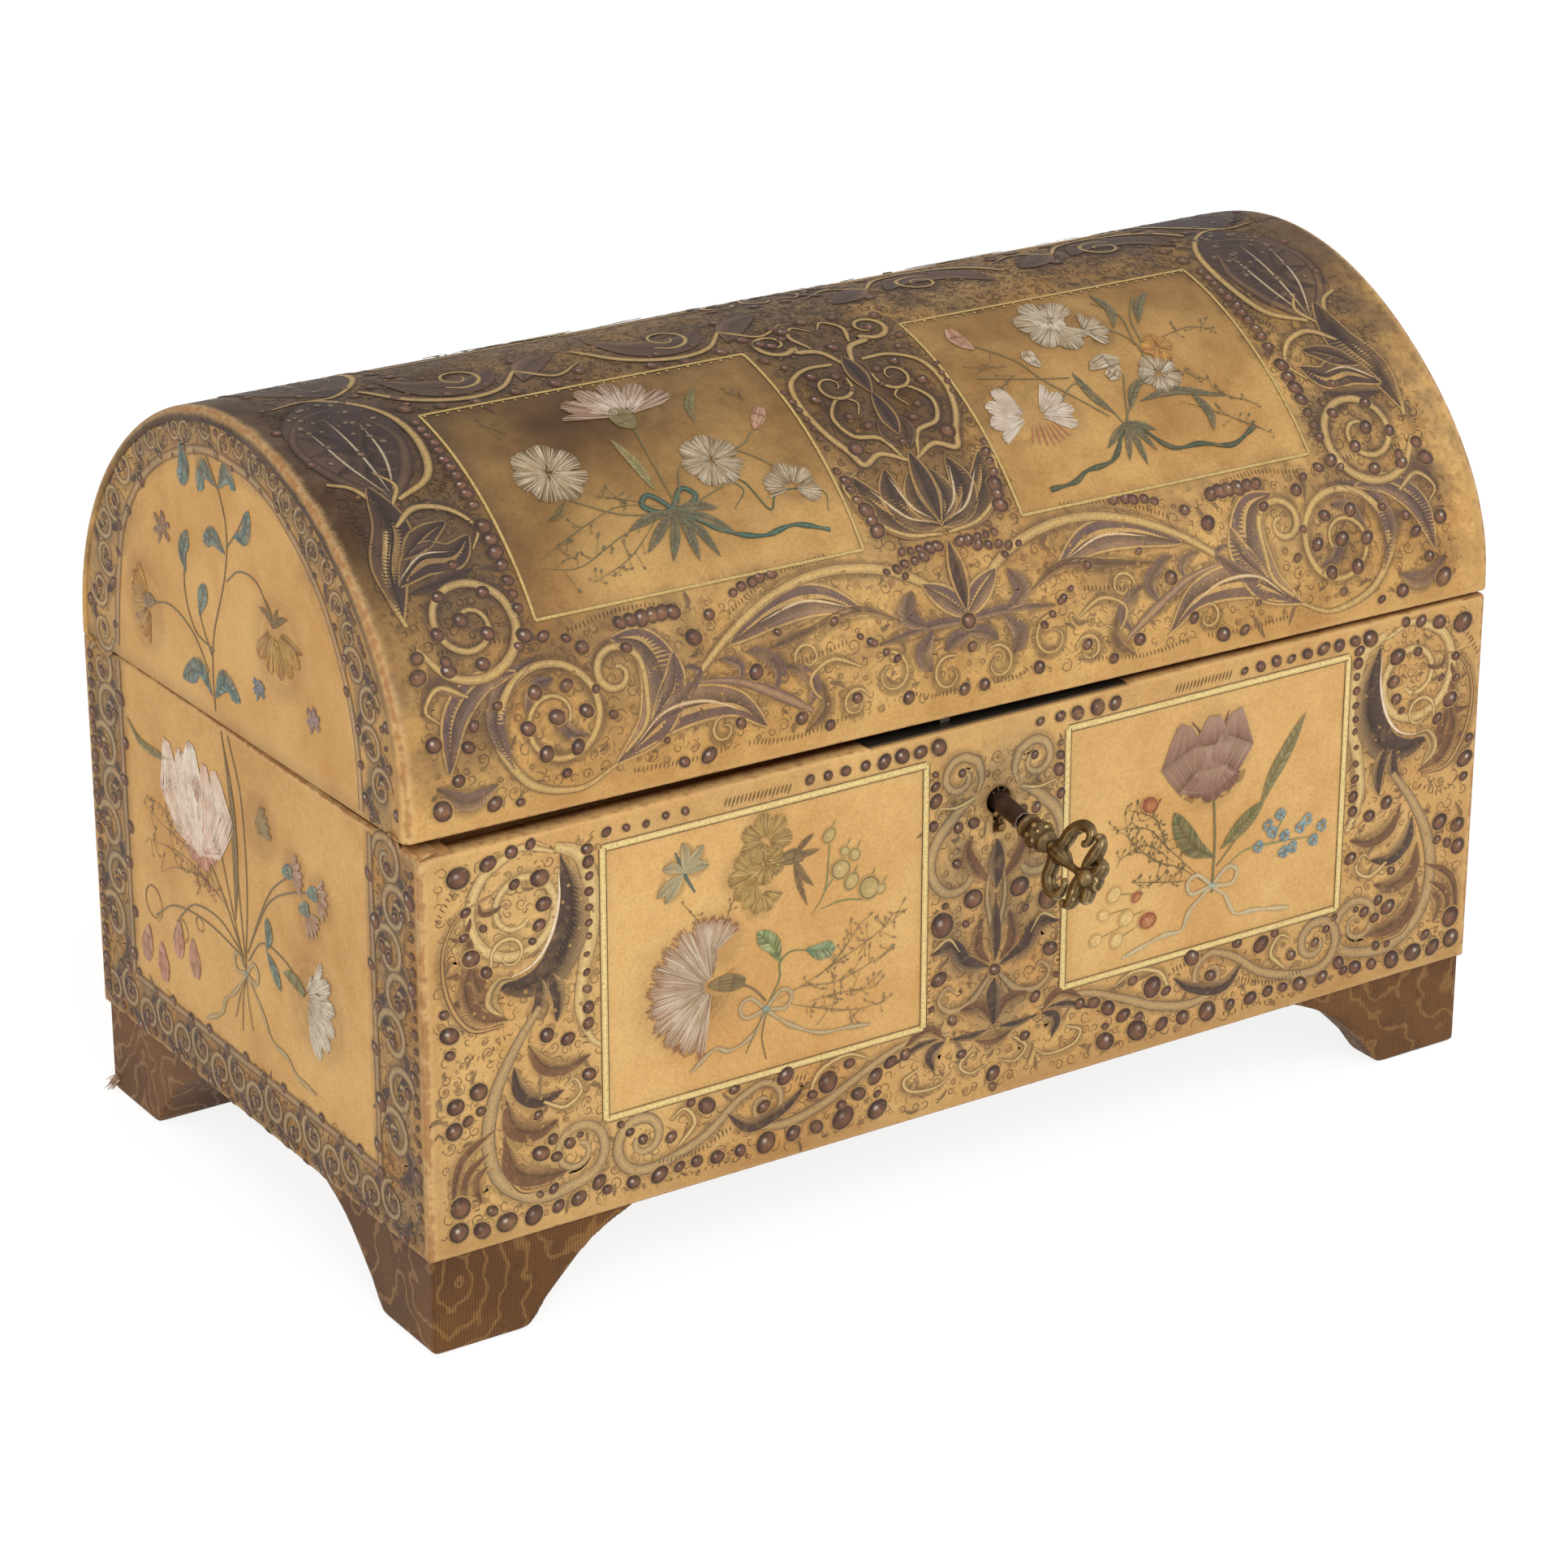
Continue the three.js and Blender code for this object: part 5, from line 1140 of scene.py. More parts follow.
def rim_run(p):
    p.leaf([(-27, 26.6), (-38, 32), (-49, 31.6), (-62, 27)], 6.6, WASHED, 0.45)
    p.band([(-4, 22), (-10, 29), (-20, 35), (-34, 37.6), (-48, 35.4), (-62, 28.6), (-76, 18)], 2.8, ARCH,
        0.4, 0.5)
    p.leaf([(-20, 24), (-30, 28), (-42, 26), (-54, 24)], 2.4, UMBER)
    p.strip([(-31, 29), (-42, 32.4), (-54, 30)], lambda s: 0.7 * np.sin(math.pi * s), SHEEN)
    p.acanthus([(-44, 9), (-52, 14), (-62, 19), (-73, 21)], 9, 4, -1, WASHED[:3], body=0.3)
    p.leaf([(-90, 8.4), (-78, 15.4), (-64, 15), (-55.4, 8)], 7.4, WASHED, 0.4)
    p.leaf([(-92, 7.6), (-82.6, 14), (-79.4, 23), (-82, 31), (-89, 33.6)], 9.4, WASHED, 0.5)
    p.leaf([(-83, 15), (-77, 21), (-75.4, 28)], 4.6, WASHED, 0.5)
    p.leaf([(-84, 14), (-76, 17.4), (-69.6, 23)], 3.6, WASHED[:3], 0.5)
    p.strip([(-88, 10), (-80, 16), (-70, 16.4), (-60, 12)], lambda s: 0.8 * np.sin(math.pi * s), SHEEN)
    p.band([*curl((-89.6, 26.4), 6.2, 10, 1.2, 0.2)[::-1], (-83.4, 21), (-84.6, 14.6), (-90, 9.6)], 2.2,
        ARCH, 0.5, 0.4)
    p.band([(-92, 7.4), (-101, 4), (-112, 7), (-118.4, 15), *curl((-105, 19.6), 13.6, 190, -1.7, 0.15)],
        2.4, ARCH, 0.4, 0.35)
    p.leaf([(-116, 11), (-119, 21), (-115, 29), (-107, 33)], 4.6, WASHED[:3], 0.5)
    p.leaf([(-112, 31), (-121, 30), (-128, 24), (-131, 13)], 5.2, WASHED, 0.5)
    p.leaf([(-120, 9), (-127, 6.6), (-134, 11)], 4.2, WASHED[:3])
    p.leaf([(-124, 28), (-131, 32), (-135, 26)], 3.6, UMBER)
    p.leaf([(-106, 22), (-102, 16), (-98, 15)], 3.0, WASHED[:3], 0.5)
    p.leaf([(-112, 22), (-109, 27), (-104, 28)], 3.0, WASHED[:3], 0.5)
    p.band([(-124, 28), (-130, 31), (-134, 27), (-131, 23.6)], 1.6, ARCH)
    for centre, r, start, turns in (((-24, 13), 5.2, 120, -1.2), ((-9.4, 10), 4.4, 60, 1.1),
            ((-33.4, 8.4), 3.6, 20, 1.2), ((-44, 20.6), 3.4, 200, -1.2), ((-66, 9.4), 3.2, 90, 1.1)):
        p.band(curl(centre, r, start, turns), 1.1, ARCH)
    p.band([(-31, 16), (-38, 19), (-44, 16), (-42, 11.4), (-38, 13)], 1.2, ARCH)
    p.leaf([(-2, 21), (-7, 26), (-12.6, 30.4)], 4.6, WASHED, 0.5)
    p.leaf([(-2, 20.8), (-12, 21.4), (-26, 19.8)], 2.2, WASHED[:3], 0.3)
    p.leaf([(-13, 21), (-18, 24.4), (-15.4, 29.6)], 4.4, WASHED[:3], 0.55)
    p.leaf([(-12, 20.4), (-15.6, 15.6), (-13.6, 11.4)], 4.4, WASHED[:3], 0.6)
    p.leaf([(-2, 18.4), (-7, 17.4), (-10, 15.2)], 3.4, WASHED[:3], 0.5)
    p.leaf([(-46, 4.6), (-41, 9), (-41.4, 15)], 2.6, UMBER, 0.5)
    for line in ([(-34, 22), (-48, 20), (-58, 22)], [(-60, 33.6), (-48, 39), (-34, 41)],
            [(-60, 5), (-48, 4), (-34, 6)], [(-98, 37), (-86, 39), (-74, 38)],
            [(-128, 38), (-116, 38), (-106, 37)], [(-88, 5), (-76, 4.4), (-66, 5)],
            [(-20, 8), (-14, 6), (-6, 6.4)]):
        p.ticks(line, 1.4, 80, 1.0, "2a1c16c0")
    p.row((-86, 36.6), (-73, 36.4), 6, 1.3, 1.8)
    p.row((-58, 37.6), (-48, 40), 5, 0.9, 1.4)
    p.row((-20, 34.6), (-10, 36.4), 5, 0.8, 1.2)
    p.row((-30, 22.4), (-22, 16), 4, 0.7, 1.1)
    p.beads([
        (-105, 20, 1.6), (-109, 26, 1.5), (-112, 19, 1.6), (-108.4, 13, 1.5), (-101, 13, 1.4),
        (-98, 20, 1.6), (-104, 8, 1.2), (-101.6, 26, 1.5), (-36, 26.8, 1.2), (-50, 27.2, 1.0),
        (-70, 30, 1.8), (-65, 34, 1.2), (-62, 10, 1.2), (-57, 20, 1.6), (-70, 4.6, 1.8), (-76, 4.4, 1.2),
        (-47, 8, 1.6), (-40, 5, 1.2), (-33, 9.6, 1.2), (-20, 7, 1.4), (-96, 33, 1.4), (-126, 18, 1.5),
        (-133.6, 20, 1.8), (-129, 11.6, 1.3), (-121, 5, 1.6), (-133, 6, 1.9), (-127, 34, 1.7),
        (-119, 34, 1.4), (-134, 34, 1.9), (-124, 22, 1.0), (-28, 20.8, 1.0), (-86, 31, 1.2),
        (-115, 4, 1.1), (-5.6, 6, 1.3), (-16, 33, 0.9), (-99, 35.6, 1.1), (-104, 37, 1.4),
        (-110, 36, 1.2), (-80, 10, 0.8), (-118, 25, 1.2), (-92, 18, 1.0), (-95, 24, 0.9),
    ])


def rim_end(p):
    """The broad leaves that climb from the rim to the ridge at each end."""
    p.leaf([(-123, 75), (-124, 88), (-123, 102), (-121, 117)], 25, SHADE[:3], 0.55, vein=False)
    p.acanthus([(-124, 75), (-133, 86), (-135, 98), (-128, 108), (-117, 111)], 14, 6, -1, SHADE[:3],
        body=0.2)
    p.acanthus([(-122, 76), (-116, 84), (-113, 94), (-116, 104)], 11, 5, 1, SHADE[:3], body=0.3)
    for line in ([(-122.6, 76), (-119, 88), (-118, 102)], [(-123, 76), (-123.4, 90), (-124, 106)],
            [(-123.4, 76), (-128, 88), (-130, 102)]):
        p.strip(line, lambda s: 0.8 * np.sin(math.pi * s), SHEEN)
    p.band([(-133, 45), (-134, 54), (-130, 64), (-127, 72), (-130, 80), (-135, 83)], 2.6, ARCH, 0.5, 0.4)
    p.leaf([(-133, 47), (-131.6, 58), (-127, 68), (-127, 80)], 8.4, SHADE, 0.5)
    p.leaf([(-131, 54), (-124, 59), (-117, 58.6), (-111.6, 62.6)], 7.4, SHADE, 0.45)
    p.leaf([(-128, 60), (-121, 64.6), (-115, 67)], 4.6, SHADE, 0.45)
    p.leaf([(-130, 52), (-122, 53), (-114, 54.6)], 4.0, SHADE[:3], 0.45)
    p.strip([(-131, 55), (-124, 60), (-117, 59.6)], lambda s: 0.7 * np.sin(math.pi * s), SHEEN)
    p.band([(-132, 38), *curl((-119.6, 43), 13.2, 195, 1.9, 0.12)], 2.6, ARCH, 0.5, 0.4)
    p.band([(-126, 68), (-120, 72), (-113, 70), (-109, 64), (-112, 59)], 2.0, ARCH, 0.5)
    p.band([(-122, 75), (-113, 80), (-109.6, 90), (-110, 101), (-114, 110), (-122, 117), (-131, 116)], 2.4,
        ARCH, 0.5)
    p.band([(-124, 74), (-121, 79), (-124, 84)], 1.6, ARCH)
    for line in ([(-110, 66), (-107, 58)], [(-134, 70), (-133, 62)], [(-112, 75), (-108, 80)],
            [(-107, 84), (-106.6, 94)], [(-110, 50), (-108, 44)]):
        p.ticks(line, 1.8, 80, 0.9, "2a1c14d0")
    p.row((-106.6, 98), (-107.2, 70), 11, 1.0, 1.5)
    p.row((-107.4, 64), (-107.4, 44), 7, 1.8, 1.0)
    p.beads([
        (-121, 44, 1.5), (-116, 40, 1.5), (-114, 49, 1.3), (-124, 50, 1.3), (-108, 38, 1.5),
        (-133, 38, 1.4), (-127, 36, 1.2), (-135, 90, 1.0), (-112, 115, 1.1), (-106, 104, 1.4),
        (-136, 104, 1.0), (-104.8, 110, 1.2), (-118, 56.4, 1.0), (-127, 42, 1.2),
    ])
    for u, v in zip(p.chance.uniform(-131, -114, 26), p.chance.uniform(88, 114, 26)):
        p.bead(u, v, p.chance.uniform(0.5, 0.9), ("140c0c", "4a3a34", "8a745c", "e8dcc4"))


def ridge_run(p):
    """Pale festoons along the top over dark leaves."""
    for shift in (0, 52):
        p.leaf([(-104 + shift, 122), (-97 + shift, 112), (-86 + shift, 110), (-78 + shift, 116)], 9, UMBER,
            0.5)
        p.leaf([(-76 + shift, 106), (-70 + shift, 114), (-62 + shift, 118)], 7, UMBER, 0.5)
        p.band([(-110 + shift, 117), (-103 + shift, 108), (-92 + shift, 103.6), (-82 + shift, 105),
            (-75 + shift, 112)], 2.2, ARCH, 0.6, 0.5)
        p.band(curl((-88 + shift, 114), 6, 220, 1.4), 1.5, ARCH, 0.5, 0.4)
        p.band([(-75 + shift, 112), (-68 + shift, 106), (-60 + shift, 110)], 1.6, ARCH)
        p.beads([
            (-98 + shift, 102.4, 1.3), (-90 + shift, 101.4, 1.1), (-80 + shift, 102.4, 1.3),
            (-70 + shift, 102.6, 1.5), (-64 + shift, 103, 1.0), (-62 + shift, 106, 1.3),
            (-94 + shift, 107, 1.0), (-84 + shift, 108, 1.0), (-72 + shift, 118, 1.3),
        ])


def dome_column(p):
    """The upright between the panels: a palmette, an oval strap and two volutes."""
    p.leaf([(-3, 42), (-11, 44), (-17, 50), (-20, 58)], 7.0, SHADE, 0.5)
    p.leaf([(-3, 42), (-9, 45), (-12, 51), (-11, 58)], 6.0, SHADE, 0.5)
    p.leaf([(-3.6, 43), (-6.4, 48), (-5.6, 56)], 5.0, SHADE, 0.5)
    for line in ([(-5, 43.4), (-11, 46), (-17, 54)], [(-4.4, 44), (-8.6, 48), (-11, 56)],
            [(-3.8, 44), (-5.6, 50), (-5.4, 55)]):
        p.strip(line, lambda s: 0.8 * np.sin(math.pi * s), SHEEN)
    p.band([(-4, 40.4), (-13, 42), (-20, 48), (-22.6, 56), (-18, 58.6)], 1.5, ARCH, 0.6)
    p.band([(-4, 59), (-10, 62), (-15, 60), (-17, 64), (-20, 70), (-21.6, 78), (-20, 86), (-14, 90),
        (-7, 90)], 2.0, ARCH, 0.6, 0.6)
    p.band([(-5, 60), (-8, 66), (-14, 68), (-16, 74), (-12, 79), (-8, 77), (-9.6, 73.4)], 1.7, ARCH)
    p.band(curl((-11, 83), 5.0, 20, -1.2), 1.5, ARCH)
    p.band([(-4, 89), (-7, 95), (-12, 96.6), *curl((-15.6, 101.6), 5.2, -40, -1.3)], 2.2, ARCH, 0.5)
    p.band([(-8, 97), (-10, 103), (-7, 107), (-4, 104)], 1.6, ARCH)
    p.leaf([(-4, 62), (-6.6, 67), (-5, 72)], 2.2, UMBER)
    p.row((-22, 60), (-19, 44), 7, 1.0, 1.8)
    p.row((-15, 38.4), (-6, 37.6), 5, 0.8, 1.3)
    p.row((-21.6, 66), (-23, 84), 7, 0.7, 0.9)
    p.beads([
        (-15, 64.6, 1.5), (-9, 70, 1.1), (-12, 73.4, 1.0), (-17, 80, 1.2), (-14, 87.4, 1.1),
        (-18, 92, 1.0), (-16, 101, 1.3), (-21, 96, 1.2), (-8.6, 86, 1.0), (-7, 81, 0.9),
        (-20.6, 106, 1.2), (-11, 108.6, 1.2),
    ])
    p.single()
    p.leaf([(-3, 43), (-3, 50), (-3, 61)], 4.4, SHADE, 0.5)
    p.leaf([(-3, 66), (-3, 71), (-3, 79)], 3.4, SHADE, 0.4)
    p.leaf([(-3, 79), (-3, 84), (-3, 92)], 3.8, SHADE, 0.5)
    p.leaf([(-3, 39), (-3, 31), (-3, 23)], 3.4, SHADE, 0.5)
    p.beads([(-3, 64, 1.2), (-3, 96, 1.3), (-3, 109, 1.4), (-3, 20.6, 1.6), (-3, 15, 1.2)])


def rosette(p, u, v, r, tones):
    count = 110
    p.fan((u, v), r, 0, 352, tones, count, 0.1, 11, 0.16)
    p.fan((u, v), r * 0.62, 10, 362, tones, count // 2, 0.1, 9, 0.25)
    p.strokes(*p.crumbs((u, v), r * 0.18, 14), 0.4, ("8a7448",))


def dome_bouquet_one(p):
    green, moss = ("2c3e34", "3a4e3c", "4e5e42"), ("545a34", "6e6c40")
    for stem in ([(-62, 84), (-63, 72), (-63, 60)], [(-86, 66), (-76, 60), (-64, 58)],
            [(-50, 62), (-56, 60), (-62, 58)], [(-36, 75), (-42, 71), (-56, 70), (-62, 60)],
            [(-34, 62), (-42, 70), (-50, 72)]):
        p.thread(stem, moss[0], 0.45)
    rose = ("c0a694", "a88878", "d0bcac", "8c6c60", "73584c")
    p.petal([(-62, 82), (-63, 86), (-62, 90)], 6, moss, 9)
    p.fan((-62, 86), 15, 12, 168, rose, 120, 0.15, 9, 0.3, squash=0.85)
    p.fan((-62, 86), 9, 25, 155, ("d9cabc", "efe4d8"), 50, 0.2, 7, 0.3)
    rosette(p, -87, 74, 8.6, ("c4b498", "d8ccb4", "9c8c70", "74644a"))
    p.leaf([(-87, 66), (-90, 63), (-93, 62)], 1.8, ("4a3c24", "6a5a34", "8a7648"))
    rosette(p, -49.6, 69, 7.4, ("c2b498", "d6cab2", "9a8a70", "7a6a50"))
    p.fan((-34.6, 58), 6.8, -50, 190, ("c2b498", "d6cab2", "9a8a70", "7a6a50"), 70, 0.15, 7, 0.2)
    p.petal([(-35.6, 75), (-33, 78), (-30.4, 81.6)], 3.0, ("a5685a", "c99c88"), 7)
    p.sewn_leaf([(-48, 80), (-46, 86), (-42, 91)], 2.2, moss)
    p.sewn_leaf([(-66, 64), (-67, 72), (-69, 80)], 2.6, ("7b7a4c", "9a9460"))
    for tip in ((-76, 56), (-74, 50), (-69, 47), (-63, 46), (-58, 46), (-52, 50), (-54, 57)):
        p.sewn_leaf([(-64, 58.6), ((-64 + tip[0]) / 2 + 0.6, (60 + tip[1]) / 2), tip], 2.4, green)
    for side in (-1, 1):
        p.strip([(-64, 59), (-64 + side * 4, 63.4), (-64 + side * 6.6, 61), (-64 + side * 3, 58.6),
            (-64, 59)], 1.3, [(-1, "22332a"), (0, "4f6a5a"), (1, "22332a")])
    p.strip([(-62, 57), (-54, 51), (-46, 48.4), (-38, 49.4), (-30, 46.6)],
        lambda s: 1.1 + 0.3 * np.cos(s * 30), [(-1, "22332a"), (0, "4f6a5a"), (1, "22332a")])
    p.line([(-50, 56), (-46, 60), (-49, 64), (-45, 62), (-42, 54), (-38, 58), (-28, 56), (-28.6, 51)],
        "45553a", 0.4)
    p.sprays([[(-66, 60), (-76, 62), (-88, 58), (-99, 53)], [(-66, 58), (-78, 55), (-90, 50), (-98, 51)],
        [(-68, 58), (-78, 50), (-88, 46)], [(-70, 62), (-80, 66)]], "3f4a30", "34463a", 14)
    p.sprays([[(-90, 88), (-94, 92)], [(-36, 88), (-33, 84)]], "4d4428", "3c3420", 7)


def dome_bouquet_two(p):
    green, moss = ("2c3e34", "40503a", "5e6642"), ("545a34", "747048")
    for stem in ([(52, 84), (64, 84), (68, 74), (54, 58)], [(66, 94), (70, 88), (68, 78)],
            [(78, 94), (72, 86), (70, 78)], [(28, 88), (36, 80), (40, 72), (50, 60)],
            [(24, 77), (36, 74), (46, 72)], [(60, 70), (57, 64), (54, 57)],
            [(36, 62), (46, 70), (50, 66), (53, 57)]):
        p.thread(stem, moss[0], 0.45)
    white = ("cabfa8", "ddd3be", "a6987e", "7e6f56")
    p.fan((52, 89), 9.4, 20, 330, white, 130, 0.1, 9, 0.25)
    p.fan((58, 85), 6.6, -70, 70, white, 46, 0.1, 6, 0.3)
    p.fan((52, 91), 4.6, 0, 350, ("e9e3d4", "d6ccb8"), 50, 0.1, 7, 0.2)
    p.fan((30, 63.6), 10.2, 100, 215, ("d9cdbc", "c8b4a4", "e6ddd0"), 90, 0.12, 6, 0.25)
    p.fan((33, 63.6), 9.6, -40, 60, ("d9cdbc", "c8b4a4", "e6ddd0"), 70, 0.12, 6, 0.25)
    p.strokes([(33 + k, 61) for k in range(-3, 4)],
        [(33 + 1.7 * k, 55 + abs(k) * 0.6) for k in range(-3, 4)], 0.4, ("a5412f", "bf6a52"))
    p.petal([(28.6, 86), (26.6, 90), (27, 95)], 4.2, ("a5685a", "c7a08c", "b98572"), 9)
    p.petal([(41, 76.6), (40, 79.6), (40.6, 83)], 3.6, white, 8)
    p.petal([(52.6, 73), (57, 75), (62, 74)], 4.4, white, 10)
    p.petal([(60, 73), (57.6, 70.6), (54.6, 69.6)], 3.4, white, 8)
    p.fan((69, 68.4), 5.6, 0, 350, white, 70, 0.1, 8, 0.2)
    p.fan((73, 75.6), 4.6, -20, 300, ("b97a24", "cf9a3a", "a3641c"), 46, 0.1, 7, 0.3)
    for spine in ([(52, 60), (49, 66), (47.6, 73)], [(56, 60), (61, 66), (66, 68)],
            [(66, 84), (69, 90), (68, 97)], [(73, 84), (77, 90), (82, 94)], [(60, 62), (70, 63), (82, 59)],
            [(74, 62), (76, 56), (75, 51)]):
        p.sewn_leaf(spine, 2.4, green)
    for tip in ((46, 52), (50, 48), (54, 46), (58, 49), (60, 54)):
        p.sewn_leaf([(54, 57.6), ((54 + tip[0]) / 2, (58 + tip[1]) / 2), tip], 1.8, green)
    p.strip([(52, 56), (46, 49), (38, 47.6), (34, 45.6), (27, 45)], lambda s: 1.1 + 0.3 * np.cos(s * 26),
        [(-1, "2a3024"), (0, "50583f"), (1, "2a3024")])
    p.strip([(56, 56), (62, 49), (70, 48.4), (78, 46.6), (86, 50)], lambda s: 1.1 + 0.3 * np.cos(s * 26),
        [(-1, "2a3024"), (0, "50583f"), (1, "2a3024")])
    p.sprays([[(66, 62), (78, 61), (90, 55)], [(70, 60), (80, 54), (90, 47)],
        [(74, 78), (84, 80), (90, 78)], [(66, 72), (78, 66)]], "3f3a26", "35402e", 12)
    p.sprays([[(24, 78), (30, 81)], [(26, 72), (34, 76)]], "5a4a2a", "6a5a34", 6)


def dome_side(name, place, seed):
    p = Painter(place, dome_tone, seed, LID_HALF - 2.4, 0.3, "8a6a44", "2a1a1278")
    stubble(p, -136, 132, 4, 39, 1500, "5a443490", 1.2)
    stubble(p, -136, -106, 39, 118, 900, "2a1c14b0", 1.3)
    stubble(p, 98, 132, 39, 118, 900, "2a1c14b0", 1.3)
    stubble(p, -22, 16, 39, 104, 500, "2a1c14b0", 1.2)
    stubble(p, -106, 98, 101, 124, 1500, "241810b0", 1.5)
    filler(p, ((-136, 130, 5, 39),), "3e2a20b0", 3.6)
    filler(p, ((-136, -106, 39, 118), (98, 130, 39, 118), (-22, 16, 39, 104), (-106, 98, 101, 118)),
        "1a100cc8", 3.6)
    p.mirrored(-3)
    rim_run(p)
    rim_end(p)
    dome_column(p)
    ridge_run(p)
    for left, right in ((-104.6, -24), (17.4, 97)):
        framed(p, left, right, 40.6, 100, LACE, 0.8)
        p.row((left + 1, 99), (right - 1, 99), 30, 0.3, 0.3, ("8a6c3c", "b79a5c", "d9bd7c", "e9d6a0"))
    dome_bouquet_one(p)
    dome_bouquet_two(p)
    p.finish(name, "lid", lid_paint)


dome_side("dome_front", on_dome, 21)
dome_side("dome_rear", lambda u, v, h: on_dome(-u, ARC - v, h), 22)


# End ornament
# Each end has one tall spray, on the case and on over the lid's end, in a greyed border of small scrolls.
MAUVE_LINE = [(-1, thin(INK)), (-0.85, INK), (-0.6, "6a5a4c90"), (0, "b09c8070"), (0.6, "6a5a4c90"),
    (0.85, INK), (1, thin(INK))]
SMALL = ("2a1e1cd8", "65584ec0", "b4a07c90")


def running_scroll(p, points, pitch, reach):
    """Small curls turning left and right along a line, with beads in the turns."""
    line = flow(points, pitch)
    ahead = np.gradient(line, axis=0)
    ahead /= np.linalg.norm(ahead, axis=1, keepdims=True)
    aside = np.stack([-ahead[:, 1], ahead[:, 0]], 1)
    for i in range(len(line) - 1):
        side = 1 if i % 2 else -1
        heart = line[i] + aside[i] * side * reach * 0.12 + p.chance.normal(0, 0.2, 2)
        start = math.degrees(math.atan2(ahead[i][1], ahead[i][0])) + 90 * side
        away = (line[i] + line[i + 1]) / 2 - aside[i] * side * reach * 0.45
        p.leaf([heart - aside[i] * side * reach * 0.3, away, line[i + 1]], reach * 0.34, DARK, 0.4,
            vein=False)
        p.band([*curl(heart, reach * 0.5, start, 1.3 * side)], reach * 0.2, SMALL, 0.6, 0.5)
        p.bead(*(heart + ahead[i] * reach * 0.1), reach * 0.1)
        p.bead(*(away - aside[i] * side * reach * 0.14), reach * p.chance.uniform(0.12, 0.18))
        p.bead(*(away + ahead[i] * reach * 0.38 + aside[i] * side * reach * 0.1),
            reach * p.chance.uniform(0.08, 0.12))
        p.bead(*(heart + aside[i] * side * reach * 0.62 + ahead[i] * reach * 0.45), reach * 0.12)


def case_end_border(p):
    left, right, low = -58.5, 56.0, 36.6
    wide = FACE - 2.5
    stubble(p, -wide, left, 26, 112, 240, "4a382a")
    stubble(p, right, wide, 26, 112, 260, "4a382a")
    stubble(p, -wide, wide - 1, 24.6, low, 330, "4a382a")
    filler(p, ((-wide, left - 1, 38, 112), (right + 1, wide, 38, 112), (-wide, wide, 25, low)), "2e2220b0",
        3.3)
    u = ((-wide + left) / 2, (wide + right) / 2)
    running_scroll(p, [(u[0], 109), (u[0], 70), (u[0], 36)], 9.5, 12.5)
    running_scroll(p, [(u[1], 109), (u[1], 70), (u[1], 36)], 9.5, 12.5)
    running_scroll(p, [(-70, 30), (0, 30), (70, 30)], 8.5, 10)
    for points in ([(left - 0.5, 113), (left - 0.5, low)], [(left, low - 0.4), (right, low - 0.4)],
            [(right + 0.5, low), (right + 0.5, 113)]):
        p.strip(np.linspace(*points, 30), 2.3, MAUVE_LINE, smooth=False)
    p.row((-73.6, 110), (-73.6, 28), 24, 1.4, 1.4)
    p.row((73.4, 110), (73.4, 28), 24, 0.9, 0.9)
    p.row((-70, 25.4), (70, 25.4), 36, 0.8, 0.8)


def lid_end_border(p):
    inner = [(-56.4, 118), (-54, 134), (-49, 150), (-35, 165.4), (-15, 175.2), (1, 177.4), (20, 174.4),
        (39, 162), (50, 146), (54.6, 132), (55.6, 118)]
    middle = [(-64, 119), (-61, 138), (-55, 153), (-40, 169), (-17, 179.2), (1, 181.4), (22, 178.6),
        (44, 165.6), (56, 149), (62, 134), (63.4, 118)]
    line = flow(middle, 0.5)
    picks = line[p.chance.integers(0, len(line) - 1, 420)] + p.chance.normal(0, 1.8, (420, 2))
    p.strokes(picks, picks + p.chance.normal(0, 0.6, (420, 2)), 0.24, ["4a382a"], "paint")
    running_scroll(p, middle[:4], 7.6, 9.4)
    running_scroll(p, middle[3:9], 6.2, 6.6)
    running_scroll(p, middle[8:], 7.6, 9.4)
    p.strip(inner, 2.3, MAUVE_LINE)
    outer = [((a - 1) * 1.08 + 1, b + 0.8 + abs(a) * 0.012) for a, b in middle[1:-1]]
    for u, v in flow(outer, 3.4):
        p.bead(u, v, p.chance.uniform(0.6, 1.0))


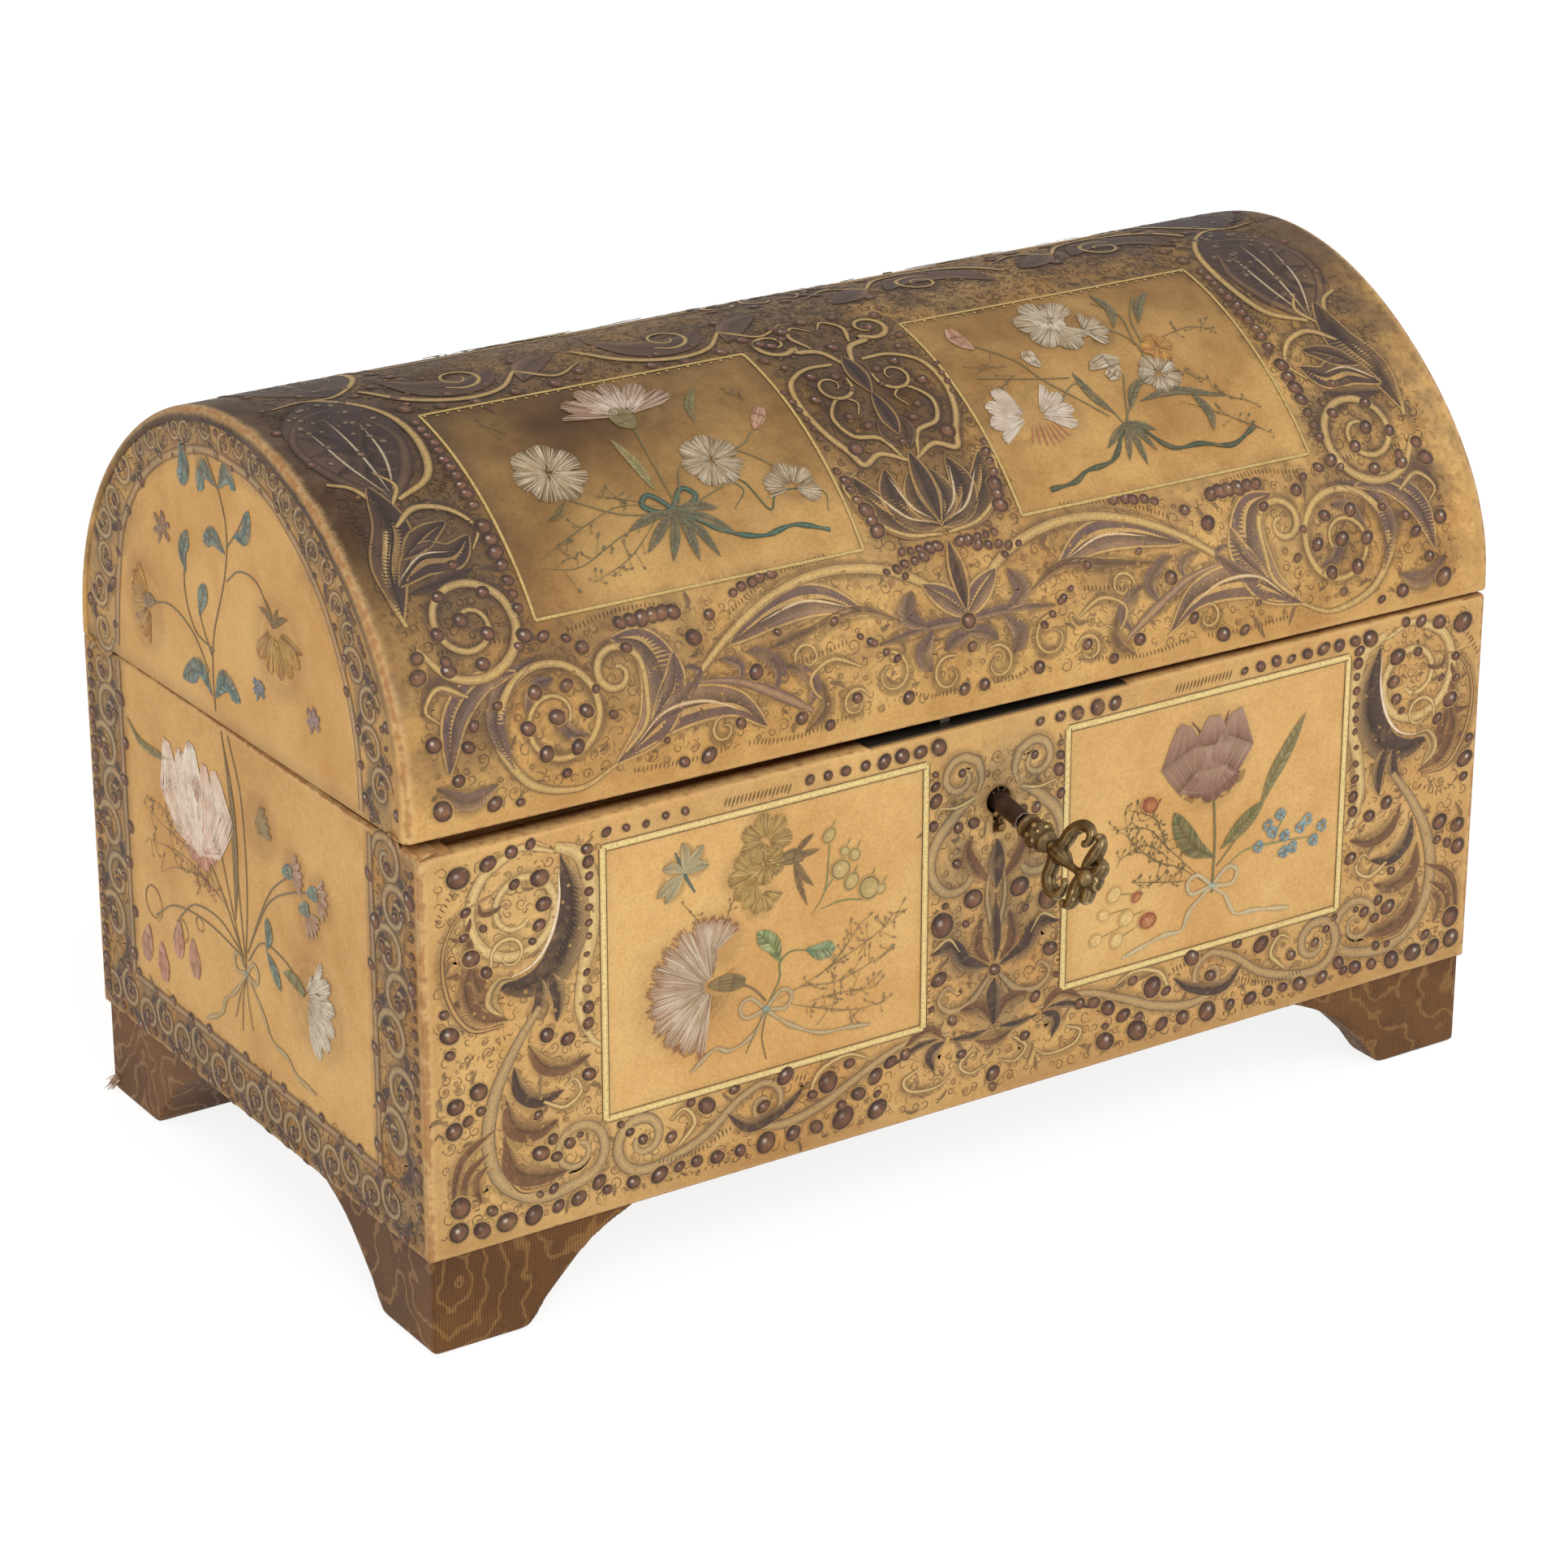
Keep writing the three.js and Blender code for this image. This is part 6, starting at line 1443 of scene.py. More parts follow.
def end_spray_low(p):
    """The tied spray on the case's end, up to the rim."""
    stem, green = "6d5a34", ("4a6660", "5f7d74", "7f9684")
    for points in ([(-2, 60), (-4, 78), (-5, 96), (-9, 113)], [(-3, 60), (-9, 76), (-14, 90)],
            [(-2, 62), (0, 80), (-1, 100), (-6, 113)], [(-3, 62), (-12, 74), (-20, 82)],
            [(-1, 64), (6, 76), (12, 84), (20, 90)], [(0, 66), (10, 80), (22, 87), (31, 90)],
            [(-1, 62), (6, 69), (16, 69), (26, 65)], [(-3, 62), (-20, 64), (-36, 62), (-46, 56)],
            [(-4, 63), (-14, 67), (-26, 66), (-34, 60)]):
        p.thread(points, stem, 0.5)
    p.sewn_leaf([(-6, 70), (-5, 84), (-5.6, 98), (-8.4, 111)], 2.6, ("6d5a34", "86703f"))
    pink, pale = ("c78e7c", "b5705f", "d9ae9c"), ("efe2d2", "e3cfbe", "f5ece0", "d9bfae")
    p.petal([(-22, 80), (-31, 86), (-36.6, 94), (-36, 102.6)], 11, pale, 22, fade="e9c9b8")
    p.petal([(-22, 80), (-14.4, 86), (-10.4, 93), (-14, 103)], 11, pale, 22, fade="e9c9b8")
    p.petal([(-22, 79), (-25, 88), (-25, 96), (-24, 106)], 12, pale, 24, fade="f5ece0")
    p.petal([(-23, 80), (-30, 90), (-31, 97), (-29, 102.6)], 7, pale, 14)
    p.petal([(-21, 80), (-18, 88), (-18, 96), (-18, 103)], 8, pale, 16, fade="d9a594")
    p.petal([(-22, 92), (-22, 96), (-21, 99)], 4, ("9c4e40", "b0685a"), 9)
    p.fan((-22, 86), 10, 215, 325, pink, 60, 0.3, 4, 0.2)
    p.sprays([[(-22, 80), (-24, 74), (-22, 69)], [(-20, 78), (-18, 72)]], "a5604c", "b5705f", 9)
    p.sewn_leaf([(-34, 97.6), (-42, 96.6), (-50, 97), (-55.6, 100.6)], 2.2, ("6d6a3a", "8b8450"))
    for centre, low, high in (((20, 91), -40, 60), ((31, 90), -60, 50), ((27, 85), -90, 0)):
        p.fan(centre, 6.6, low, high, ("a57f6c", "b8947e", "c4a48c"), 44, 0.25, 8, 0.35, 0.3)
        p.petal([(centre[0] - 3, centre[1] - 1), centre, (centre[0] + 2.4, centre[1] + 0.8)], 3.4, green, 7)
    p.fan((4, 95), 9, 0, 60, ("8b7440", "a58c54"), 40, 0.2, 7, 0.3, 0.3)
    white = ("ddd3c2", "c9bda8", "ece4d6")
    p.petal([(16, 66), (21, 66), (26, 64)], 3.4, ("6d6a3a", "7f7c48"), 7)
    p.fan((25, 64), 14, -75, 52, white, 120, 0.3, 9, 0.25)
    p.fan((25, 64), 8.6, -60, 60, ("b7ab98", "d3c9b6"), 50, 0.2, 7, 0.3, 0.35)
    p.sewn_leaf([(8, 68), (9.4, 72), (9, 76)], 3.6, green)
    p.sewn_leaf([(8, 68), (11, 65), (14, 61)], 3.6, green)
    p.sprays([[(-6, 70), (-20, 74), (-34, 72), (-42, 68)], [(-8, 72), (-24, 78), (-40, 80), (-50, 82)],
        [(-10, 72), (-30, 76), (-48, 74)], [(-30, 76), (-40, 84), (-46, 84)]], "7a6040", "8a6a48", 16)
    for u, v, lean in ((-34, 54, -0.3), (-28, 52, 0.2), (-50, 47, -0.4), (-44, 45, 0.2)):
        p.petal([(u, v + 5), (u + lean * 3, v), (u + lean * 6, v - 5)], 5.4, ("c08c78", "cf9f8a", "a5705c"),
            12, 0.6)
    for centre, r in (((-47, 58.6), 4.4), ((-33, 57), 3.0), ((-24, 62), 2.0)):
        p.line(curl(centre, r, 300, 1.1, 0.8), "8a6f48", 0.4)
    ribbon_bow(p, -2, 58.6, ("4a5a58", "6b8078", "93a496"),
        ([(-8, 52), (-13, 48), (-15, 44), (-23, 39.6)],
        [(4, 53), (9, 47), (16, 45.6), (20, 43), (28.6, 42)]), 5.5)
    for tip in ((-8, 46), (-5, 44), (0, 46)):
        p.thread([(-2, 58), ((-2 + tip[0]) / 2 - 0.6, 52), tip], stem, 0.35)


def end_spray_high(p):
    """The same spray's upper half, on the lid's end."""
    stem, teal = "6d5a34", ("3f5f60", "55787a", "74928c")
    for points in ([(-9, 118), (-9.4, 126), (-8, 136), (-2, 150), (0, 160), (-2, 168), (-8, 176)],
            [(-11, 126), (-18, 133), (-28, 136), (-37, 134)], [(-1, 150), (5, 154), (13, 154), (19, 148)],
            [(-8, 132), (-17, 134), (-21, 142), (-20, 152)], [(-9, 130), (-14, 138), (-12, 144)],
            [(0, 158), (5, 163), (9, 168)]):
        p.thread(points, stem, 0.55)
    for spine, width in (([(-10, 121), (-15, 125), (-24, 121)], 5.4),
            ([(-9, 121), (-4, 126), (3, 124)], 5.4), ([(-1, 156), (-6, 158), (-11, 156)], 4.6),
            ([(-4, 170), (-9, 172), (-12.4, 167)], 5), ([(-3, 170), (1, 174), (5, 172)], 4.6),
            ([(-20, 176), (-19, 171), (-20.4, 166)], 5.6), ([(3, 161), (8, 163), (10.6, 169)], 4.4),
            ([(-20, 146), (-21, 150), (-18.6, 156)], 4.4), ([(-14.6, 138), (-13, 142), (-11, 146)], 4.4)):
        p.sewn_leaf(spine, width, teal)
    gold = ("a8752c", "c2923f", "8a5c26", "d3ac5e")
    p.fan((-38, 134), 9.6, 120, 200, gold, 46, 0.2, 6, 0.3)
    p.fan((-38, 133), 9.6, 205, 262, gold, 40, 0.2, 6, 0.3)
    p.petal([(-36, 134.4), (-39, 134), (-42, 132)], 3.4, ("6d5a34", "8a6f3c"), 7)
    p.fan((20, 147), 13, 222, 348, gold, 120, 0.25, 9, 0.25, squash=0.9)
    p.fan((21, 146), 8, 230, 340, ("dcc07c", "caa254", "b07f34"), 60, 0.25, 7, 0.3, squash=0.9)
    for tip in ((14, 149), (16, 151.6), (22, 151), (26, 150)):
        p.sewn_leaf([(19.6, 146), ((20 + tip[0]) / 2, (147.6 + tip[1]) / 2), tip], 1.6,
            ("6d5a34", "8a6f3c"))
    for u, v, codes, size in ((-31, 153, ("7a5640", "9a7a60"), 5), (12, 130, ("4f6a7a", "7a8f98"), 3.6),
            (36, 131, ("8a6a6a", "a58a84"), 4)):
        p.petal([(u - size * 0.3, v - size * 0.8), (u, v), (u + size * 0.4, v + size * 0.8)], 1.5, codes, 4)
        for turn in (20, 80, 150, 210, 330):
            beam = np.array([math.cos(math.radians(turn)), math.sin(math.radians(turn))]) * size
            p.petal([(u, v), (u + beam[0] * 0.5, v + beam[1] * 0.5 + 0.3), (u + beam[0], v + beam[1])], 1.3,
                codes, 3)


def case_end(name, place, seed):
    p = Painter(place, end_tone, seed, FACE - 0.7)
    case_end_border(p)
    end_spray_low(p)
    p.finish(name, "case", case_paint)


def arch_reach(away, lift):
    """The lid end's outline inside the dome's lap, as angles round the panel's foot and reaches."""
    y, z = lid_arch(2.8, np.linspace(0, 1, 91))
    line = settle(np.stack([np.full_like(y, away * LID_HALF), y, z], -1))
    u, v = away * line[:, 1], line[:, 2] + lift - PANEL_FOOT
    order = np.argsort(np.arctan2(v, u))
    return np.arctan2(v, u)[order], np.hypot(u, v)[order]


def lid_end_paint(name, place, seed, away, lift=0.0):
    p = Painter(place, lid_end_tone, seed, arch_reach(away, lift))
    lid_end_border(p)
    end_spray_high(p)
    p.finish(name, "lid", case_paint)


case_end("left_end", on_left, 31)
case_end("right_end", on_right, 32)
lid_end_paint("lid_left_end", on_lid_end, 33, -1)
lid_end_paint("lid_right_end", lambda u, v, h: on_lid_right(u, v - 2.6, h), 34, 1, 2.6)


# Feet
# Bracket feet covered in a worn golden brocade, wrapped round each board and trimmed at the sole.
FOOT_HIGH, FOOT_INSET, FOOT_BOARD = UNDER, 0.9, 9.5
FOOT_REACH = (50.4, 49.4)
FOOT_SHARES = [(0, 0.03), (0.018, 0.004), (0.42, 0.004), (0.455, 0.02), (0.49, 0.1), (0.555, 0.3),
    (0.63, 0.47),
               (0.7, 0.62), (0.78, 0.76), (0.86, 0.86), (0.93, 0.93), (1, 1)]


def foot_profile(reach):
    """Places along one face of a foot from its corner, with the height of its lower edge at each."""
    curve = np.array(FOOT_SHARES) * [reach, FOOT_HIGH]
    along = np.unique(np.concatenate([curve[:, 0], np.linspace(0, reach, 41), [FOOT_BOARD]]))
    return along, np.interp(along, *curve.T)


def settled(piece, voxel, rounds):
    """Melts a piece's joined forms into one skin with softened edges, and applies it."""
    melt = piece.modifiers.new("melt", "REMESH")
    melt.mode, melt.voxel_size = "VOXEL", voxel / 1000
    soft = piece.modifiers.new("wear", "SMOOTH")
    soft.factor, soft.iterations = 0.5, rounds
    shape = piece.evaluated_get(bpy.context.evaluated_depsgraph_get())
    mesh = bpy.data.meshes.new_from_object(shape)
    piece.modifiers.clear()
    piece.data = mesh
    mesh.shade_smooth()


def foot(corner, away_x, away_y):
    """The cloth as one closed skin tucked up behind the parchment: blocks at the back, brackets in front."""
    (us, lows), (vs, sides) = (foot_profile(reach) for reach in FOOT_REACH)
    low = np.minimum(np.maximum(lows[:, None], sides[None, :]), FOOT_HIGH)
    u, v = np.meshgrid(us, vs, indexing="ij")
    x, y = away_x * (HALF - FOOT_INSET - u), away_y * (FACE - FOOT_INSET - v)
    spots = np.concatenate([np.stack([x, y, z], -1).reshape(-1, 3) for z in (low,
        np.full_like(low, FOOT_HIGH + 1.5))])
    board = FOOT_BOARD if away_y < 0 else max(FOOT_REACH)
    i_board, j_board = np.searchsorted(us, board), np.searchsorted(vs, board)
    at = np.arange(low.size).reshape(low.shape)
    faces, borders = [], []
    for i, j in np.ndindex(len(us) - 1, len(vs) - 1):
        if (i < i_board or j < j_board) and low[i : i + 2, j : j + 2].min() < FOOT_HIGH:
            ring = [at[i, j], at[i, j + 1], at[i + 1, j + 1], at[i + 1, j]]
            faces += [ring, [k + low.size for k in ring[::-1]]]
            borders += zip(ring, ring[1:] + ring[:1])
    shared = set(borders)
    faces += [[b, a, a + low.size, b + low.size] for a, b in borders if (b, a) not in shared]
    if away_x * away_y > 0:
        faces = [face[::-1] for face in faces]
    used = np.unique(np.concatenate(faces))
    order = {k: n for n, k in enumerate(used)}
    faces = [[order[k] for k in face] for face in faces]
    piece = new_piece(f"foot_brocade_{corner}", spots[used], faces, brocade, "case")
    settled(piece, 0.55, 9)
    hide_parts(f"foot_cover_{corner}")


def woven(name):
    """Brocade: fine upright ribs, a weft across them, scrolls in thin paler lines, darker where rubbed."""
    skin = Skin(name, Specular_IOR_Level=0.3, Sheen_Weight=0.06, Sheen_Roughness=0.35)
    parts = skin.node("ShaderNodeSeparateXYZ", {0: skin.place()}).socket.node
    x, y, z = (Wire(skin, parts.outputs[i]) for i in range(3))
    wander = skin.noise(60, 3, 0.5)
    ribs = ((x + y) * 8600 + wander * 6).sine()
    weft = (z * 12000 + wander * 9).sine()
    rings = skin.node("ShaderNodeTexVoronoi", {"Vector": skin.place((1, 1, 0.8)), "Scale": 40.0,
        "Randomness": 1.0})
    scroll = (rings * 34 + wander * 34 + skin.noise(130, 2, 0.5) * 7).sine().between(0.6, 0.95)
    soil = skin.noise(240, 4, 0.7)
    base = skin.noise(34, 4, 0.6).between(0.3, 0.72).blend(colour("7a4e1c"), colour("54300e"))
    base = (scroll * (0.25 + soil * 0.4)).blend(base, colour("b3823f"))
    # Painted shade: up to half dark brown in the ribs' troughs, the grooves of the bump.
    base = ((1 - ribs.between(-0.7, 0.5)) * 0.5).blend(base, colour("3e220a"))
    base = (weft.between(0.2, 0.9) * 0.2).blend(base, colour("a87838"))
    base = (soil.between(0.5, 0.72) * 0.5).blend(base, colour("4a2c14"))
    return skin.drive(base, 0.62 - scroll * 0.15, ribs * 0.7 + weft * 0.4 + scroll * 0.8, 0.6, 0.0003)


brocade = woven("brocade")
for corner, away_x, away_y in (("front_left", -1, -1), ("front_right", 1, -1), ("back_left", -1, 1),
        ("back_right", 1, 1)):
    foot(corner, away_x, away_y)


def frayed_tuft(place, away):
    """A loose end of the cloth's pale lining, standing out from the back left foot."""
    chance = np.random.default_rng(5)
    points, faces = [], []
    for _ in range(26):
        root = np.array(place) + chance.normal(0, 0.45, 3) * [0.3, 1, 1]
        bend = np.array(away) * chance.uniform(1.6, 3.0) + chance.normal(0, 0.7, 3)
        line = [root + bend * t + np.array([0, 0, -1.2]) * t**2 for t in np.linspace(0, 1, 5)]
        for t, spot in zip(np.linspace(0, 1, 5), line):
            wide = 0.28 * (1 - 0.75 * t)
            points += [spot + wide * np.array([0, math.cos(a), math.sin(a)]) for a in (0, 2.1, 4.2)]
        first = len(points) - 15
        for row in range(4):
            for side in range(3):
                a, b = first + row * 3 + side, first + row * 3 + (side + 1) % 3
                faces.append([a, b, b + 3, a + 3])
        faces.append([first + 12, first + 13, first + 14])
    return new_piece("foot_frayed_lining", np.array(points), faces, lint, "case")


lint_skin = Skin("frayed_linen", Roughness=0.8, Specular_IOR_Level=0.2)
lint_tone = lint_skin.noise(700, 3, 0.6).between(0.35, 0.65).blend(colour("8a5c3a"), colour("dcc4ae"))
lint = lint_skin.drive(lint_tone, bump=lint_skin.noise(2500, 2, 0.5))
frayed_tuft((-(HALF - 1.4), FACE - 3.2, 3.4), (-1, 0.25, -0.1))


# Key
# A smooth dark steel shank, with a cast brass bow of two open scrolls and a palmette, worn bright.
DROOP, HALF_TURN = math.radians(11), math.radians(25)
KEY_PLACE = np.array([3.3, -FACE, RIM - 19.4])
key_out = np.array([0, -math.cos(DROOP), -math.sin(DROOP)])
key_lift = np.array([0, -math.sin(DROOP), math.cos(DROOP)])
bow_up = key_lift * math.cos(HALF_TURN) + np.array([1, 0, 0]) * math.sin(HALF_TURN)
bow_face = np.cross(bow_up, key_out)
BOW_HALF, BOW_FOOT, BOW_LENGTH = 9.3, 17.9, 19.1


def on_key(face, up, out):
    flat = KEY_PLACE + np.multiply.outer(face, bow_face) + np.multiply.outer(up, bow_up)
    return flat + np.multiply.outer(out, key_out)


def tube(mesh, line, width, sides=10):
    """A rod along points given as shares of the bow, its radius a number for each point."""
    line = flow(np.asarray(line) * [BOW_HALF, BOW_LENGTH] + [0, BOW_FOOT], 0.5)
    share = np.linspace(0, 1, len(line))
    ahead = np.gradient(line, axis=0)
    ahead /= np.linalg.norm(ahead, axis=1, keepdims=True)
    aside = np.stack([-ahead[:, 1], ahead[:, 0]], 1)
    radius = np.interp(share, np.linspace(0, 1, len(width)), width)
    rings = []
    for angle in np.arange(sides) * 2 * math.pi / sides:
        flat = line + aside * (radius * math.cos(angle))[:, None]
        rings.append(on_key(radius * math.sin(angle), flat[:, 0], flat[:, 1]))
    rows = [[mesh.verts.new(spot) for spot in to_world(ring)] for ring in np.stack(rings, 1)]
    for a, b in zip(rows, rows[1:]):
        for k in range(sides):
            mesh.faces.new([a[k], a[(k + 1) % sides], b[(k + 1) % sides], b[k]])
    mesh.faces.new(rows[0][::-1])
    mesh.faces.new(rows[-1])


def turned(mesh, profile, sides=24):
    """A form round the shank, from pairs of distance out and radius."""
    angle = np.arange(sides) * 2 * math.pi / sides
    rows = []
    for out, radius in profile:
        spots = KEY_PLACE + key_out * out + radius * (np.outer(np.cos(angle),
            bow_face) + np.outer(np.sin(angle), bow_up))
        rows.append([mesh.verts.new(spot) for spot in to_world(spots)])
    for a, b in zip(rows, rows[1:]):
        for k in range(sides):
            mesh.faces.new([a[k], b[k], b[(k + 1) % sides], a[(k + 1) % sides]])
    mesh.faces.new(rows[0])
    mesh.faces.new(rows[-1][::-1])


def knob(mesh, face, up, out, radius):
    spot = to_world(on_key(np.array(face), np.array(up), np.array(out)))
    bmesh.ops.create_icosphere(mesh, subdivisions=3, radius=radius / 1000,
        matrix=Matrix.Translation(Vector(spot)))


def metal(name, bright, dull, soil, rough, share=0.5):
    """Worn metal: bright where it is rubbed, dull and soiled in the hollows."""
    skin = Skin(name, Metallic=0.92)
    curve = Wire(skin, skin.node("ShaderNodeNewGeometry").socket.node.outputs["Pointiness"])
    cloud, grain = skin.noise(240, 4, 0.6), skin.noise(1300, 3, 0.65)
    high = (curve + (cloud - 0.5) * 0.08).between(0.49, 0.56)
    base = (cloud.between(0.35, 0.68) * share).blend(colour(dull), colour(soil))
    base = (high * 0.75).blend(base, colour(bright))
    base = ((1 - curve.between(0.4, 0.49)) * 0.6).blend(base, colour(soil))
    return skin.drive(base, rough + grain * 0.2 - high * 0.12, grain + cloud * 0.6, 0.25, 0.00012)


bow_brass = metal("worn_cast_brass", "c2a878", "5c4930", "24180e", 0.34)
dark_steel = metal("dark_steel", "8d7c74", "4c3c38", "2d211e", 0.3)
SCROLLS = (
    ([(0.04, 0.16), (0.3, 0.25), (0.6, 0.27), (0.86, 0.36), (0.93, 0.47), (0.82, 0.555), (0.62, 0.55),
    (0.54, 0.49)], (1.3, 1.6, 1.7, 1.6, 1.5, 1.3, 1.1, 0.8)),
    ([(-0.04, 0.16), (-0.3, 0.25), (-0.6, 0.28), (-0.8, 0.38), (-0.82, 0.5), (-0.66, 0.56), (-0.46, 0.55),
    (-0.42, 0.5)], (1.3, 1.6, 1.7, 1.6, 1.5, 1.3, 1.0, 0.8)),
    ([(0.95, 0.68), (0.84, 0.74), (0.55, 0.74), (0.3, 0.72), (0.06, 0.74)], (0.9, 1.5, 1.8, 1.6, 1.5)),
    ([(-0.86, 0.68), (-0.76, 0.75), (-0.5, 0.75), (-0.26, 0.72), (-0.04, 0.74)], (0.9, 1.5, 1.9, 1.7, 1.5)),
    ([(0.52, 0.84), (0.44, 0.92), (0.22, 0.9), (0.04, 0.84)], (0.9, 1.6, 1.8, 1.8)),
    ([(-0.48, 0.86), (-0.4, 0.93), (-0.2, 0.9), (0, 0.84)], (0.9, 1.6, 1.8, 1.8)),
    ([(0.02, 1.0), (0, 0.96), (0.02, 0.86)], (1.3, 1.7, 1.8)),
    ([(0, 0.12), (0, 0.24), (-0.02, 0.36), (-0.05, 0.46), (-0.05, 0.56), (-0.02, 0.7)],
    (1.5, 2.2, 2.0, 1.0, 0.85, 1.3)),
)
BOW_KNOBS = ((1.3, 0.03, 0.85, 2.3), (1.0, 0.05, 0.15, 1.15), (0.9, 0.02, 0.3, 1.0), (0.4, 0.93, 0.68, 1.1),
    (0.4, -0.84, 0.68, 1.1))
COLLAR = ((10.4, 2.3), (10.9, 2.9), (11.6, 3.05), (12.3, 2.6), (13.2, 2.5), (14.4, 3.2), (15.4, 3.5),
    (16.4, 3.3), (17.4, 2.7), (18.4, 2.6), (19.4, 2.0), (21, 1.3))
mesh = bmesh.new()
turned(mesh, COLLAR)
for k in range(8):
    angle = k * math.pi / 4 + 0.2
    for out, reach, size in ((14.9, 3.0, 0.85), (16.6, 2.9, 0.6)):
        knob(mesh, reach * math.cos(angle + out), reach * math.sin(angle + out), out, size)
for line, width in SCROLLS:
    tube(mesh, line, width)
for face, across, out, radius in BOW_KNOBS:
    for side in (-1, 1):
        knob(mesh, side * face, across * BOW_HALF, BOW_FOOT + out * BOW_LENGTH, radius * 0.9)
bow = new_piece("key_cast_bow", np.zeros((0, 3)), [], bow_brass, "key")
mesh.to_mesh(bow.data)
mesh.free()
settled(bow, 0.22, 3)
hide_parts("key_bow")

mesh = bmesh.new()
mesh.from_mesh(bpy.data.objects["key_shank"].data)
stem = new_piece("key_stem", np.zeros((0, 3)), [], dark_steel, "key")
mesh.to_mesh(stem.data)
mesh.free()
settled(stem, 0.2, 12)
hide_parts("key_shank")


# Boards, linings and metalwork
# The carcase and lid are poplar, the linings silk on pasteboard, the lock iron and the hinges brass.
def timber(name, light, dark, along):
    """Planed poplar: long grain with a few darker streaks, dusty and scuffed."""
    skin = Skin(name, Specular_IOR_Level=0.25)
    stretch = tuple(0.08 if axis == along else 1 for axis in "xyz")
    grain = skin.noise(260, 5, 0.65, skin.place(stretch))
    streak = skin.noise(70, 3, 0.6, skin.place(stretch))
    dust = skin.noise(180, 4, 0.7)
    base = grain.between(0.3, 0.7).blend(colour(light), colour(dark))
    base = (streak.between(0.55, 0.75) * 0.5).blend(base, colour("5a3a1e"))
    base = (dust.between(0.5, 0.8) * 0.3).blend(base, colour("c3a27a"))
    return skin.drive(base, dust * 0.2 + 0.6, grain, 0.3, 0.0002)


def lining_silk(name):
    """Ribbed silk, faded and creased, laid over pasteboard."""
    skin = Skin(name, Specular_IOR_Level=0.45, Sheen_Weight=0.4, Sheen_Roughness=0.3)
    point = skin.place()
    x, y, z = (Wire(skin, skin.node("ShaderNodeSeparateXYZ",
        {0: point}).socket.node.outputs[i]) for i in range(3))
    rib = ((x + y + z * 0.6) * 7000).sine()
    fade, soil = skin.noise(18, 4, 0.6), skin.noise(90, 4, 0.65)
    base = fade.between(0.3, 0.7).blend(colour("a5743c"), colour("8a5a2c"))
    base = (soil.between(0.52, 0.75) * 0.4).blend(base, colour("5e3c1e"))
    base = (rib.between(0.2, 1.0) * 0.2).blend(base, colour("c99c62"))
    return skin.drive(base, soil * 0.2 + 0.42, rib * 0.5 + fade * 2, 0.3, 0.0002)


poplar_long = timber("poplar_long_grain", "a57c4c", "7f5a32", "x")
poplar_cross = timber("poplar_cross_grain", "a57c4c", "7f5a32", "y")
poplar_up = timber("poplar_foot", "94693c", "6e4a26", "z")
silk_lining = lining_silk("faded_silk")
iron = metal("lock_iron", "7d7468", "4b433b", "33261c", 0.42, 0.7)
brass = metal("hinge_brass", "bfa066", "84683a", "46331b", 0.34)
spring_steel = metal("spring_steel", "8f8880", "57504a", "352b24", 0.32)
FINISHES = (
    ("foot_core", poplar_up), ("left_board", poplar_cross), ("right_board", poplar_cross),
    ("lid_end_board", poplar_cross),
    ("bottom_board", poplar_long), ("front_board", poplar_long), ("back_board", poplar_long),
    ("lid_rail", poplar_long),
    ("lid_dome_board", poplar_long), ("lining", silk_lining), ("lid_lining", silk_lining),
    ("lock_spring", spring_steel),
    ("lock_", iron), ("key_post", iron), ("strike_", iron),
)


def finish_of(node):
    if node.startswith("hinge_"):
        return brass if node.endswith("leaf") else iron
    return next(skin for start, skin in FINISHES if node.startswith(start))


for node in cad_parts:
    if node.startswith(("body_parchment", "lid_parchment", "foot_cover", "key_bow", "key_shank")):
        continue
    for holder in bpy.data.objects[node].material_slots:
        holder.material = finish_of(node)


# Studio
# A pale floor that keeps the shadow, a white background for the camera, three broad soft lamps.
def studio_white(tree):
    """1 for rays that the camera, mirrors or glass send out, which see plain white, and 0 for the rest."""
    nodes, links = tree.nodes, tree.links
    path = nodes.new("ShaderNodeLightPath")
    glossy = nodes.new("ShaderNodeMath")
    glossy.operation = "MAXIMUM"
    links.new(path.outputs["Is Camera Ray"], glossy.inputs[0])
    links.new(path.outputs["Is Glossy Ray"], glossy.inputs[1])
    either = nodes.new("ShaderNodeMath")
    either.operation = "MAXIMUM"
    links.new(glossy.outputs[0], either.inputs[0])
    links.new(path.outputs["Is Transmission Ray"], either.inputs[1])
    return either


